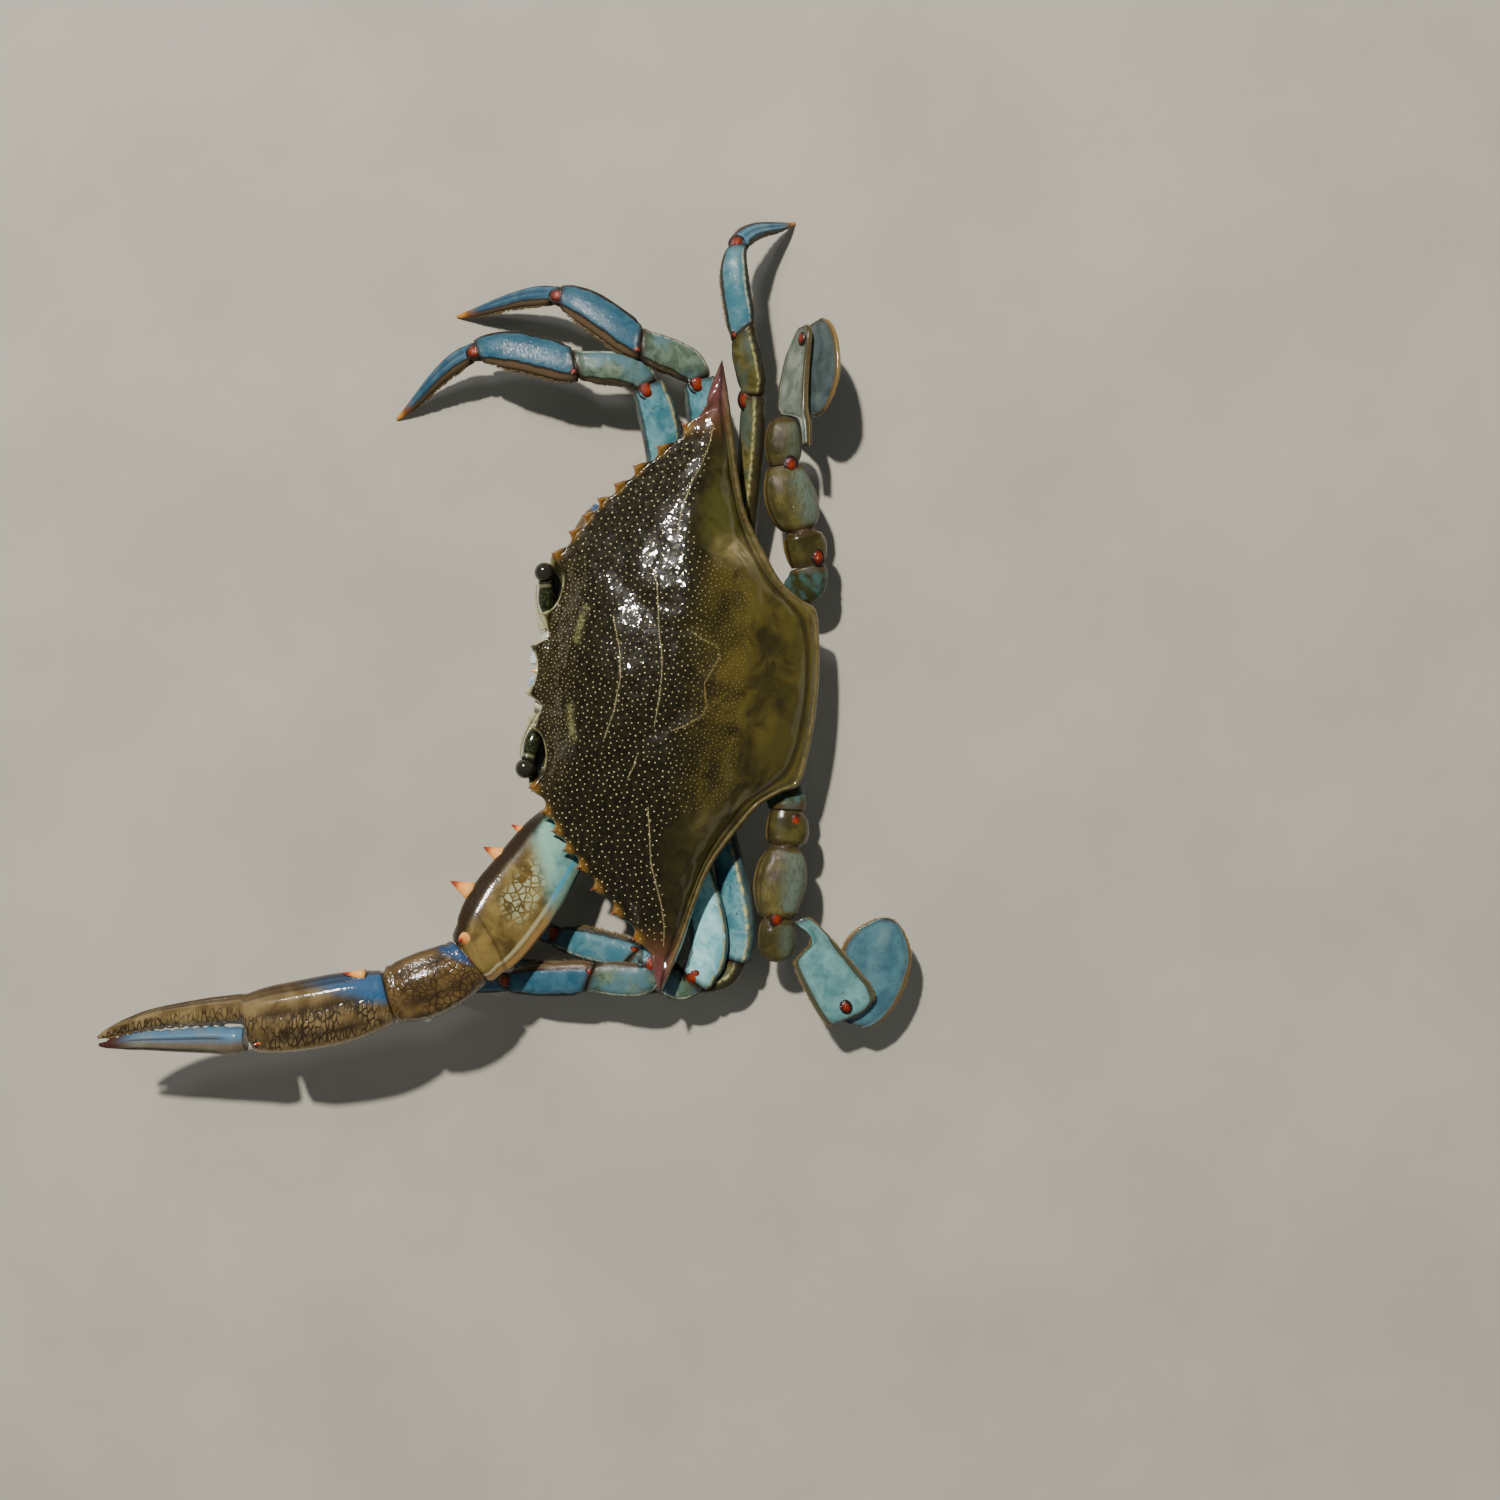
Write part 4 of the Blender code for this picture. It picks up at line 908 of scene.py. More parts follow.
def smooth_table(table, s):
    """Reads the columns of a station table at the places s, smoothly and without overshoot."""
    table = np.array(table, float)
    x, y = table[:, 0], table[:, 1:]
    step = np.diff(x)[:, None]
    rise = np.diff(y, axis=0) / step
    slope = np.zeros_like(y)
    both = rise[:-1] * rise[1:]
    slope[1:-1] = np.where(both > 0, 2 * both / np.where(both > 0, rise[:-1] + rise[1:], 1), 0)
    slope[0], slope[-1] = rise[0], rise[-1]
    i = np.clip(np.searchsorted(x, s, side="right") - 1, 0, len(x) - 2)
    h = step[i]
    f = np.clip((np.asarray(s) - x[i])[:, None] / h, 0, 1)
    return (y[i] * (1 + 2 * f) * (1 - f) ** 2 + slope[i] * h * f * (1 - f) ** 2
            + y[i + 1] * f * f * (3 - 2 * f) + slope[i + 1] * h * f * f * (f - 1))


def section_ways(along, roll):
    """The wide and deep directions of a section across a limb, rolled about it in degrees."""
    wide = unit(np.cross(UP, along))
    deep = np.cross(along, wide)
    c, t = math.cos(math.radians(roll)), math.sin(math.radians(roll))
    return wide * c + deep * t, deep * c - wide * t


def oval(around, wide_power, deep_power):
    """Angles round a section and its sideways and upward shares, with soft corners."""
    angle = 2 * math.pi * (np.arange(around) + 0.5) / around
    c, v = np.cos(angle), np.sin(angle)
    return angle, np.sign(c) * np.abs(c) ** wide_power, np.sign(v) * np.abs(v) ** deep_power


def path_frame(start, end, leave, arrive, s, roll):
    """Centres, and the wide and deep directions, along the curve of a limb piece."""
    start, end = np.asarray(start, float), np.asarray(end, float)
    reach = np.linalg.norm(end - start)
    a, b, s = unit(leave) * reach, unit(arrive) * reach, np.asarray(s)[:, None]
    centre = (start * (2 * s ** 3 - 3 * s ** 2 + 1) + a * (s ** 3 - 2 * s ** 2 + s)
              + end * (3 * s ** 2 - 2 * s ** 3) + b * (s ** 3 - s ** 2))
    along = unit(start * (6 * s ** 2 - 6 * s) + a * (3 * s ** 2 - 4 * s + 1)
                 + end * (6 * s - 6 * s ** 2) + b * (3 * s ** 2 - 2 * s))
    return centre, along, *section_ways(along, roll)


def limb(start, end, leave, arrive, stations, roll, side=1, rows=34, around=32, power=2.2,
         ridges=(), bands=(), bumps=(), first=0.0, last=1.0, blunt=0.8, slant=(0, 0, 0, 0)):
    """Points and marks of one limb piece. side is 1 on the crab's right and -1 on its left.

    ridges: (angle, spread, height, from, to); bands: (place, spread, height);
    bumps: (angle, spread, height, from, to, count), a row of teeth along the piece;
    slant: how far the inner and outer edges slide along at the start and at the end.
    """
    t = np.linspace(0, 1, rows)
    s = first + (last - first) * (0.6 * t + 0.4 * (1 - np.cos(math.pi * t)) / 2)
    centre, along, wide, deep = path_frame(start, end, leave, arrive, s, roll)
    size = smooth_table([tuple(r) + (0,) * (5 - len(r)) for r in stations], s)
    angle, u, v = oval(around, 2 / power, 2 / power)
    turn = np.degrees(angle)
    turn = turn if side > 0 else 180 - turn
    out = (wide[:, None] * (u * size[:, :1] / 2)[..., None]
           + deep[:, None] * (v * size[:, 1:2] / 2)[..., None])
    push, ridge, groove = (np.zeros((rows, around)) for _ in range(3))
    for at, spread, high, begin, stop in ridges:
        near = bell((turn - at + 180) % 360 - 180, spread)
        near = near * (smooth_step(s, begin, begin + 0.07)
                       * (1 - smooth_step(s, stop - 0.07, stop)))[:, None]
        push += high * near
        if high > 0:
            ridge = np.maximum(ridge, near)
        else:
            groove = np.maximum(groove, near)
    for at, spread, high in bands:
        push += high * bell(s - at, spread)[:, None]
    for at, spread, high, begin, stop, count in bumps:
        near = bell((turn - at + 180) % 360 - 180, spread)
        wave = np.abs(np.sin(math.pi * count * (s - begin) / (stop - begin))) ** 0.7
        push += high * near * (wave * (s > begin) * (s < stop))[:, None]
    place = centre + wide * size[:, 2:3] + deep * size[:, 3:4]
    inner, outer = np.clip(u * side, 0, 1), np.clip(-u * side, 0, 1)
    slide = ((1 - smooth_step(s, first, first + 0.4))[:, None]
             * (inner * slant[0] + outer * slant[1])
             + smooth_step(s, last - 0.4, last)[:, None] * (inner * slant[2] + outer * slant[3]))
    slide = along[:, None] * slide[..., None]
    points = place[:, None] + out + unit(out) * push[..., None] + slide
    reach = np.linalg.norm(np.asarray(end, float) - start)
    near_end = np.minimum(s - first, last - s)[:, None] * reach + np.zeros((1, around))
    if blunt:
        caps = [place[row, None] + out[row] * blunt + slide[row]
                for row in (slice(0, 1), slice(-1, None))]
        points = np.concatenate([caps[0], points, caps[1]])
        s = np.concatenate([s[:1], s, s[-1:]])
        ridge, groove, near_end = (np.concatenate([a[:1], a, a[-1:]])
                                   for a in (ridge, groove, near_end))
    count = len(points)
    marks = {
        "along": np.repeat(s, around), "side": np.tile(u * side, count),
        "up": np.tile(v, count), "ridge": ridge.ravel(), "groove": groove.ravel(),
        "rim": bell(near_end, 1.25).ravel(),
    }
    return points, marks, {"centre": place, "wide": wide, "deep": deep, "along": along,
                           "size": size}


def limb_piece(name, made, finish, nodes=()):
    points, marks = made[:2]
    faces = hoops(*points.shape[:2], close_start=True, close_end=True)
    return piece(name, points.reshape(-1, 3), faces, finish, nodes, marks)


def turned(before, after, share):
    """The direction part of the way from one direction to another."""
    angle = math.acos(np.clip(np.dot(before, after), -1, 1))
    if angle < 0.01:
        return before
    return (math.sin((1 - share) * angle) * before
            + math.sin(share * angle) * after) / math.sin(angle)

# %% [markdown]
# ## Joined small things
# Thorns, knobs at the joints and the soft skin in the joints come in dozens. Each kind is
# gathered in a list and made into one mesh, with a mark that says where on the small thing
# a point lies.

# %% Joined pieces
KNOB_LENGTH, KNOB_HEIGHT = 1.2, 0.38


def joined(name, parts, finish, nodes=()):
    """One mesh from many (points, marks) of closed rows."""
    points, faces, marks, first = [], [], {}, 0
    for rows, own in parts:
        count, around = rows.shape[:2]
        faces += hoops(count, around, first, close_start=True, close_end=True)
        points.append(rows.reshape(-1, 3))
        first += count * around
        for mark, values in own.items():
            marks.setdefault(mark, []).append(values)
    return piece(name, np.concatenate(points), faces, finish, nodes,
                 {mark: np.concatenate(values) for mark, values in marks.items()})


def thorn(root, tip, width, around=12, rows=12, bend=0.0):
    """A thorn that is broad below and curves in to a fine tip."""
    root, tip = np.asarray(root, float), np.asarray(tip, float)
    way = tip - root
    stations = [(0, width, width * 0.9), (0.3, width * 0.74, width * 0.66),
                (0.6, width * 0.44, width * 0.38), (0.85, width * 0.2, width * 0.17),
                (1, 0.22, 0.2)]
    lean = UP * bend * np.linalg.norm(way)
    points, marks, _ = limb(root, tip, way - lean, way + lean, stations, 0, rows=rows,
                            around=around, power=2, blunt=0)
    return points, {"along": marks["along"]}


def knob(place, axis, along, radius, around=18):
    """A smooth oval knob in a dark rim, longer along the limb than across it."""
    place, axis = np.asarray(place, float), unit(axis)
    side = unit(np.cross(axis, along))
    front = np.cross(side, axis) * KNOB_LENGTH
    profile = [(0.7, -0.9), (1.30, -0.7), (1.42, -0.25), (1.30, 0.02), (1.10, 0.0), (1.0, 0.22),
               (0.9, 0.50), (0.74, 0.76), (0.52, 0.95), (0.28, 1.06), (0.05, 1.1)]
    angle = np.arange(around) * 2 * math.pi / around
    ring = side * np.cos(angle)[:, None] + front * np.sin(angle)[:, None]
    rows = np.array([place + ring * out * radius + axis * lift * radius * KNOB_HEIGHT
                     for out, lift in profile])
    return rows, {"along": np.repeat(np.linspace(0, 1, len(profile)), around)}

# %% [markdown]
# ## Finishes of the legs
# The legs are azure and teal with brown edges. The colours lie in the shell itself as soft
# clouds, and the wet coat over them gives long highlights. The dark lines along the last
# joint are grooves, so their mark comes from the same table that cuts them.

# %% Leg finishes
BROWN = (0.055, 0.030, 0.012)
DARK = (0.014, 0.009, 0.005)


def leg_finish(name, low, high, margin=0.8, lines=0.0, tip=None, cream=None, spots=0.3,
               ends=0.8, grey=None, inner=0.78):
    f = Finish(name, 0.34, coat=0.22, coat_roughness=0.06)
    fine, cloud = f.noise(0.8, 4, 0.6), f.noise(4.2, 4, 0.6, 0.6)
    f.colour = f.mix(f.step(cloud, 0.34, 0.66), low, high)
    if grey:
        f.lay(grey, f.step(f.noise(9, 3), 0.42, 0.62), 0.8)
    speck = f.times(f.step(f.noise(1.5, 3, 0.6, 1.0), 0.60, 0.70), spots)
    f.lay((0.016, 0.026, 0.012), speck)
    side = f.mark("side")
    if cream:
        line = f.times(f.step(side, -0.66, -0.78), f.step(side, -0.95, -0.88))
        f.lay(cream, f.times(line, f.step(f.noise(1.1, 3), 0.35, 0.6)))
    if lines:
        f.lay((0.012, 0.020, 0.028), f.mark("groove"), lines)
    waver = f.times(f.minus(f.noise(2.6, 3), 0.5), 0.22)
    edge_side = f.plus(side, waver)
    f.lay(f.mix(f.step(edge_side, inner + 0.06, inner + 0.2), DARK, (0.075, 0.048, 0.022)),
          f.step(edge_side, inner - 0.05, inner + 0.05), margin)
    f.lay(DARK, f.step(edge_side, -0.80, -0.90), margin)
    below = f.step(f.mark("up"), -0.25, -0.75)
    f.lay((0.34, 0.40, 0.38), below, 0.6)
    f.lay((0.020, 0.011, 0.006), f.mark("rim"), ends)
    if tip:
        f.lay((0.13, 0.045, 0.012), f.step(f.mark("along"), 0.74, 0.90))
        f.lay(tip, f.step(f.mark("along"), 0.86, 0.97))
    f.raise_by(f.plus(f.times(fine, 0.8), f.times(f.noise(0.45, 2), 0.5)), 0.16, 0.9)
    return f.done(roughness=f.step(fine, -0.4, 1.7))


BLUE_LINES = dict(lines=0.9, tip=(0.42, 0.19, 0.03), spots=0.15, margin=0.97, inner=0.56)
LEG_LOOKS = {
    "merus": ((0.034, 0.125, 0.155), (0.108, 0.245, 0.265),
              dict(cream=(0.36, 0.34, 0.15), spots=0.75, margin=0.75)),
    "carpus": ((0.036, 0.060, 0.038), (0.105, 0.145, 0.10),
               dict(cream=(0.36, 0.38, 0.26), grey=(0.055, 0.125, 0.155), margin=0.9, ends=0.95)),
    "propodus": ((0.015, 0.062, 0.096), (0.036, 0.098, 0.135),
                 dict(spots=0.2, margin=0.97, ends=0.95, inner=0.66)),
    "dactyl": ((0.024, 0.078, 0.130), (0.058, 0.125, 0.175), BLUE_LINES),
    "pale_dactyl": ((0.050, 0.150, 0.225), (0.11, 0.23, 0.30), BLUE_LINES),
    "pale": ((0.034, 0.115, 0.150), (0.080, 0.175, 0.195),
             dict(spots=0.3, margin=0.9, ends=0.95, inner=0.80, cream=(0.30, 0.32, 0.22))),
    "bright": ((0.12, 0.34, 0.37), (0.29, 0.56, 0.55),
               dict(cream=(0.36, 0.34, 0.15), spots=0.5, margin=0.8)),
    "olive": ((0.046, 0.040, 0.009), (0.115, 0.100, 0.030),
              dict(cream=(0.27, 0.25, 0.10), spots=0.5, grey=(0.055, 0.080, 0.065), ends=0.9)),
}
leg_skins = {part: leg_finish(f"leg_{part}", low, high, **more)
             for part, (low, high, more) in LEG_LOOKS.items()}
print("leg finishes:", ", ".join(leg_skins))

# %% [markdown]
# ## Walking legs
# Six of the eight thin legs are walking legs. Each has four visible pieces, and every joint
# faces half-way between its two neighbours, so that the pieces meet without a wedge of air.
# The tables are the same for all legs, because the legs differ in length and bend but
# hardly in form. Each leg also has its first short joint, which leads it to the breast.

# %% Walking legs
LEGS = {
    "R2": [(-33, -8.5, 8.6), (-77, -19.2, 15.6), (-80.3, -38.1, 17), (-82, -64.3, 13),
           (-64.2, -86.4, 0)],
    "R3": [(-34.5, 1.2, 8.4), (-79.9, -6, 15.2), (-87.3, -21.6, 17.6), (-98, -43.9, 14.4),
           (-93.4, -73, 0)],
    "R4": [(-33.5, 10.2, 8.8), (-76.8, 8.7, 17), (-92, 4.6, 20.5), (-114, 1, 19.5),
           (-127.3, 15, 0)],
    "L2": [(33, -8.5, 8.6), (73.9, -2.6, 18.4), (78, -18.6, 17.4), (81.4, -40, 13),
           (88, -65, 0)],
    "L3": [(34.5, 1.2, 8.4), (76, 8.3, 15.6), (72.4, -8.6, 9.2), (69, -29.5, 6.8),
           (62, -53, 0)],
    "L4": [(33.5, 11.1, 8.8), (70.4, 18.3, 12.2), (78.4, 1, 5.6), (79.6, -20, 6.4),
           (77.6, -45, 0)],
}
LEG_ROLL = {"R2": (8, 12, 12, 14), "R3": (8, 12, 12, 14), "R4": (-60, -38, -14, -6),
            "L2": (-8, -8, -6, -6), "L3": (-6, -4, 0, 0), "L4": (34, 56, 60, 20)}
KNEE_TURN = {"L3": 0.42}
LEG_WIDTH = {"R2": (1, 1, 1.2, 1), "R3": (1, 1.06, 1.15, 1), "R4": (0.94, 0.94, 0.87, 0.94)}
LEG_SKIN = {("R4", "merus"): "olive", ("R4", "carpus"): "olive", ("L4", "carpus"): "olive",
            ("R4", "propodus"): "pale", ("R4", "dactyl"): "pale_dactyl",
            ("L3", "propodus"): "pale", ("L3", "merus"): "bright"}
LEG_TABLES = {
    "merus": [(0, 6.2, 5.6), (0.12, 7.0, 5.6), (0.45, 9.0, 5.6), (0.84, 10.2, 5.2), (1, 8.2, 4.8)],
    "carpus": [(0, 6.0, 4.6), (0.3, 8.8, 5.0), (0.66, 9.0, 4.8), (1, 7.0, 4.2)],
    "propodus": [(0, 7.0, 4.0), (0.2, 8.5, 4.3), (0.6, 8.4, 4.1), (0.88, 6.8, 3.8),
                 (1, 5.4, 3.4)],
    "dactyl": [(0, 5.2, 3.3), (0.12, 5.6, 3.3), (0.45, 4.4, 2.8), (0.78, 2.6, 2.0),
               (1, 0.9, 0.9)],
}
LEG_RIDGES = {
    "merus": [(168, 12, 0.25, 0.05, 0.97), (150, 10, -0.16, 0.1, 0.95), (12, 12, 0.15, 0.1, 0.95)],
    "carpus": [(20, 10, 0.22, 0.1, 0.95), (120, 12, 0.3, 0.15, 1.0), (100, 9, -0.18, 0.2, 1.0),
               (45, 10, -0.12, 0.1, 0.9)],
    "propodus": [(14, 9, 0.24, 0.05, 0.98), (36, 10, -0.22, 0.06, 0.94), (166, 9, 0.24, 0.05, 0.98),
                 (145, 10, -0.22, 0.06, 0.94), (-35, 10, -0.15, 0.1, 0.9)],
    "dactyl": [(66, 8, -0.28, 0.04, 0.86), (101, 8, -0.26, 0.06, 0.84), (140, 7, -0.24, 0.04, 0.86),
               (84, 8, 0.10, 0.05, 0.9), (122, 8, 0.10, 0.05, 0.9), (-60, 9, -0.2, 0.05, 0.85),
               (-120, 9, -0.2, 0.05, 0.85)],
}
LEG_BANDS = {"merus": [(0.03, 0.03, 0.3), (0.975, 0.025, 0.35), (0.93, 0.02, -0.15)],
             "carpus": [(0.05, 0.05, 0.25), (0.95, 0.05, 0.3)],
             "propodus": [(0.03, 0.03, 0.25), (0.97, 0.03, 0.2)], "dactyl": [(0.02, 0.02, 0.2)]}
LEG_SLANTS = {"merus": (0, 0, 0, 0), "carpus": (0, 0, -1.9, 1.9),
              "propodus": (-1.9, 1.9, -1.0, 0.7), "dactyl": (2.2, 0.7, 0, 0)}
SKIN_SLANTS = {"carpus": (0, 0), "propodus": (-1.9, 1.9), "dactyl": (0.6, 0.7)}
KNOBS = {"carpus": (1.8, 1.1, 0.16), "propodus": (0.7, 0.4, 0.30), "dactyl": (1.55, -0.2, 0.08)}
leg_made, knobs, skins = {}, [], []
print("leg tables for", ", ".join(LEGS))

# %% [markdown]
# ## Making the walking legs
# The pieces of a leg are made from the body outwards. Between two pieces a soft sleeve shows
# in the gap, and on top of each joint sits a knob.

# %% Making the walking legs
def joint_faces(points, follow):
    spans = unit(np.diff(points, axis=0))
    turns = [turned(a, b, share) for a, b, share in zip(spans, spans[1:], follow)]
    return [spans[0], *turns, spans[-1]]


def joint_skin(before, after, size=0.80, slant=(0, 0), side=1):
    """A short soft sleeve between the end of one piece and the start of the next.

    slant: how far its inner and outer edges slide along the limb, as those of the pieces do.
    """
    a, b = before[2], after[2]
    start, end = a["centre"][-1] - a["along"][-1] * 0.9, b["centre"][0] + b["along"][0] * 0.9
    w0, w1 = a["size"][-1][:2] * size, b["size"][0][:2] * size
    t = np.linspace(0, 1, 7)[:, None]
    centre = start + (end - start) * t
    wide, deep = (unit(a[k][-1] * (1 - t) + b[k][0] * t) for k in ("wide", "deep"))
    width, depth = ((w0 * (1 - t) + w1 * t) * (1 + 0.05 * np.sin(t * 22)))[:, :2].T
    angle = (np.arange(20) + 0.5) * math.pi / 10
    rows = (centre[:, None] + wide[:, None] * (np.cos(angle) * width[:, None] / 2)[..., None]
            + deep[:, None] * (np.sin(angle) * depth[:, None] / 2)[..., None])
    inner, outer = np.clip(np.cos(angle) * side, 0, 1), np.clip(-np.cos(angle) * side, 0, 1)
    rows = rows + a["along"][-1] * (inner * slant[0] + outer * slant[1])[:, None]
    return rows, {"along": np.repeat(t.ravel(), 20)}


for leg, joints in LEGS.items():
    side = 1 if leg[0] == "R" else -1
    points = np.array(joints, float)
    faces = joint_faces(points, (KNEE_TURN.get(leg, 0.25), 0.5, 0.5))
    before = None
    for number, (part, table) in enumerate(LEG_TABLES.items()):
        broad = LEG_WIDTH.get(leg, (1, 1, 1, 1))[number]
        table = [(s, width * broad, depth) for s, width, depth in table]
        made = limb(points[number] + faces[number] * GAP / 2,
                    points[number + 1] - faces[number + 1] * GAP / 2,
                    faces[number], faces[number + 1], table, LEG_ROLL[leg][number], side,
                    ridges=LEG_RIDGES[part], bands=LEG_BANDS[part], slant=LEG_SLANTS[part],
                    rows=44 if part in ("merus", "propodus") else 34)
        if part == "dactyl":
            made[0][..., 2] = np.maximum(made[0][..., 2], 0)
        leg_made[leg, part] = made
        skin = leg_skins[LEG_SKIN.get((leg, part), part)]
        limb_piece(f"{part}_fine_{leg}", made, skin, [f"{part}_{leg}"])
        if before:
            skins.append(joint_skin(before, made, 0.86, SKIN_SLANTS[part], side))
            grid, (size, back, inward) = made[2], KNOBS[part]
            (broad, thick), along = grid["size"][0][:2], grid["along"][0]
            top = grid["centre"][0] + grid["deep"][0] * (thick * 0.44)
            place = top - along * back + grid["wide"][0] * side * broad * inward
            knobs.append(knob(place, grid["deep"][0] + UP * 0.3, along, size))
        before = made
print("walking legs:", len(leg_made), "pieces")

# %% [markdown]
# ## Swimming legs
# The last pair ends in paddles. Its first two joints are short and swollen and show olive
# from above. Then comes a flat plate and, under its far edge, the oval blade that is turned
# back in the photograph. Both flat pieces have a thick dark rim, and the blade has a pale
# rib down its middle.

# %% Swimming legs
PADDLE_LEGS = {
    "R5": [(-34.0, 26.4, 15.0), (-59.4, 18.6, 17.6), (-72.0, 17.2, 18.2), (-68.6, 21.9, 17.4),
           (-94.8, 19.6, 13.6), (-98.0, 23.0), (-73.4, 26.4)],
    "L5": [(29.9, 27.2, 14.6), (57.8, 28.2, 17.2), (69.3, 29.3, 17.0), (60.6, 35.6, 17.0),
           (81.7, 46.8, 16.6), (83.9, 50.6), (55.4, 57.8)],
}
PADDLE_ROLL = {"R5": (10, 6, -56), "L5": (-6, -4, 0)}
ISCHIUM = [(0, 8.4, 7.0, 0.8), (0.08, 10.6, 8.0, 1.2), (0.2, 11.4, 8.2, 1.3),
           (0.28, 10.0, 7.4, 1.2), (0.325, 8.0, 6.2, 1.0)]
PADDLE_MERUS = [(0.34, 6.6, 5.6, 0.9), (0.39, 9.8, 7.2, 0.8), (0.50, 12.8, 8.3, 0.6),
                (0.66, 14.0, 8.5, 0.3), (0.86, 12.2, 7.8, 0), (1, 8.6, 6.4, 0)]
PADDLE_CARPUS = [(0, 7.4, 5.6), (0.2, 9.2, 6.4), (0.5, 9.8, 6.4), (0.8, 8.2, 5.4),
                 (0.95, 5, 3.6), (1, 2.6, 2)]
PADDLE_TUBES = {"ischium": ("merus", 0, ISCHIUM), "merus": ("merus", 0, PADDLE_MERUS),
                "carpus": ("carpus", 1, PADDLE_CARPUS)}
HINGES = {"R5": (-93.0, 23.3), "L5": (78.9, 48.2)}
PADDLE_PLATE = {
    "R5": [(-0.16, 4.0, -1.8, 2.0), (0.0, 4.0, -1.4, 2.4), (0.1, 3.6, -0.6, 2.8),
           (0.17, 3.0, 2.4, 3.0), (0.25, 2.8, 8.0, 3.2), (0.34, 2.8, 9.6, 3.2),
           (0.5, 3.0, 9.2, 3.2), (0.66, 3.4, 8.0, 3.0), (0.82, 4.0, 6.2, 2.8),
           (0.94, 4.4, 3.8, 2.4), (1.02, 3.8, 2.0, 2.0), (1.06, 2.6, 0.8, 1.4)],
    "L5": [(-0.14, 2.0, 1.8, 2.2), (-0.06, 3.4, 0.8, 2.5), (0.0, 4.1, -0.1, 2.6),
           (0.08, 4.9, -0.6, 2.8), (0.16, 5.6, 0.0, 3.0), (0.21, 6.0, 3.0, 3.2),
           (0.28, 6.6, 5.6, 3.2), (0.36, 7.2, 5.9, 3.2), (0.5, 8.3, 5.8, 3.2),
           (0.66, 9.5, 5.6, 3.0), (0.82, 10.7, 5.2, 2.8), (0.94, 10.5, 4.6, 2.4),
           (1.02, 8.2, 3.8, 2.0), (1.06, 4.8, 2.6, 1.4)],
}
PLATE_HALF, BLADE_HALF, RIM_ROOM = 1.6, 1.05, 1.3
UNDER_PLATE = PLATE_HALF + BLADE_HALF + GAP
PADDLE_BLADE = [(0, 3.6, 1.6), (0.05, 5.4, 1.8), (0.16, 7.8, 2.2), (0.32, 9.4, 2.4),
                (0.5, 9.9, 2.4), (0.66, 9.6, 2.3), (0.8, 7.9, 2.1), (0.91, 5.2, 1.7),
                (0.98, 2.4, 1.2), (1, 0.9, 0.8)]
print("paddle tables for", ", ".join(PADDLE_LEGS))

# %% [markdown]
# ## Finishes of the swimming legs
# The short joints are olive, with grey-green on the upper faces of their swollen backs,
# partly their own colour and partly a painted highlight, and fine wrinkles. The plates are
# teal and the blades a darker blue, all with a brown rim, whose outer line is lit gold. One
# function with a few choices makes all seven finishes.

# %% Paddle finishes
def paddle_finish(name, low, high, rim, grey_green_and_highlight=None, rib=None, inner=0.86, gold=0.7):
    f = Finish(name, 0.34, coat=0.6, coat_roughness=0.07)
    fine, cloud = f.noise(0.9, 4, 0.6), f.noise(5.5, 4, 0.55, 0.4)
    f.colour = f.mix(f.step(cloud, 0.34, 0.68), low, high)
    depth = 0.07
    if grey_green_and_highlight:
        # Painted highlight, in part: grey-green on the upper faces of the swollen backs, partly
        # their own colour and partly a painted highlight.
        rear = f.step(f.plus(f.mark("side"), f.times(cloud, 0.5)), 0.55, -0.25)
        swollen = f.times(f.step(f.mark("up"), 0.2, 0.8), f.step(f.mark("rim"), 0.5, 0.0))
        f.lay(grey_green_and_highlight, f.times(swollen, rear), 0.85)
        wrinkle = f.noise(1.3, 4, 0.6, 0.8, (0.6, 1.6, 1.0))
        f.lay(rim, f.step(wrinkle, 0.52, 0.36), 0.45)
        fine, depth = f.plus(fine, f.times(wrinkle, 1.6)), 0.20
    if rib:
        f.lay(rib, f.mark("ridge"), 0.7)
    f.lay((0.022, 0.019, 0.008), f.mark("groove"), 0.7)
    edge = f.calc("ABSOLUTE", f.mark("side"))
    f.lay(rim, f.step(edge, inner, inner + 0.06), 0.92)
    f.lay((0.20, 0.135, 0.04), f.step(edge, 0.95, 0.99), gold)
    spots = f.step(f.cells(1.1), 0.28, 0.12)
    f.lay((0.030, 0.026, 0.010), spots, 0.35)
    f.lay((0.040, 0.024, 0.008), f.mark("rim"), 0.75)
    f.raise_by(f.plus(fine, f.noise(0.35, 2)), depth, 0.6)
    return f.done(roughness=f.step(fine, -0.4, 1.8))


PADDLE_LOOKS = {
    "ischium": ("ischium", (0.022, 0.018, 0.005), (0.060, 0.052, 0.013), (0.020, 0.012, 0.005), {}),
    "merus": ("merus", (0.040, 0.034, 0.009), (0.098, 0.084, 0.022), (0.030, 0.021, 0.007),
              dict(grey_green_and_highlight=(0.085, 0.118, 0.092))),
    "carpus": ("carpus", (0.026, 0.022, 0.005), (0.066, 0.056, 0.013), (0.030, 0.018, 0.006),
               dict(grey_green_and_highlight=(0.060, 0.078, 0.050))),
    "plate_L5": ("plate_left", (0.055, 0.145, 0.150), (0.12, 0.26, 0.25), (0.040, 0.034, 0.012),
                 dict(inner=0.78)),
    "blade_L5": ("blade_left", (0.030, 0.082, 0.108), (0.060, 0.142, 0.165),
                 (0.085, 0.050, 0.015), dict(rib=(0.26, 0.32, 0.28))),
    "plate_R5": ("plate_right", (0.078, 0.102, 0.084), (0.18, 0.21, 0.165),
                 (0.034, 0.026, 0.009), dict(inner=0.80, gold=0.15)),
    "blade_R5": ("blade_right", (0.025, 0.038, 0.038), (0.056, 0.082, 0.084),
                 (0.085, 0.050, 0.015), dict(rib=(0.20, 0.22, 0.17))),
}
paddle_skins = {part: paddle_finish(f"paddle_{name}", low, high, rim, **more)
                for part, (name, low, high, rim, more) in PADDLE_LOOKS.items()}
print("paddle finishes:", ", ".join(paddle_skins))

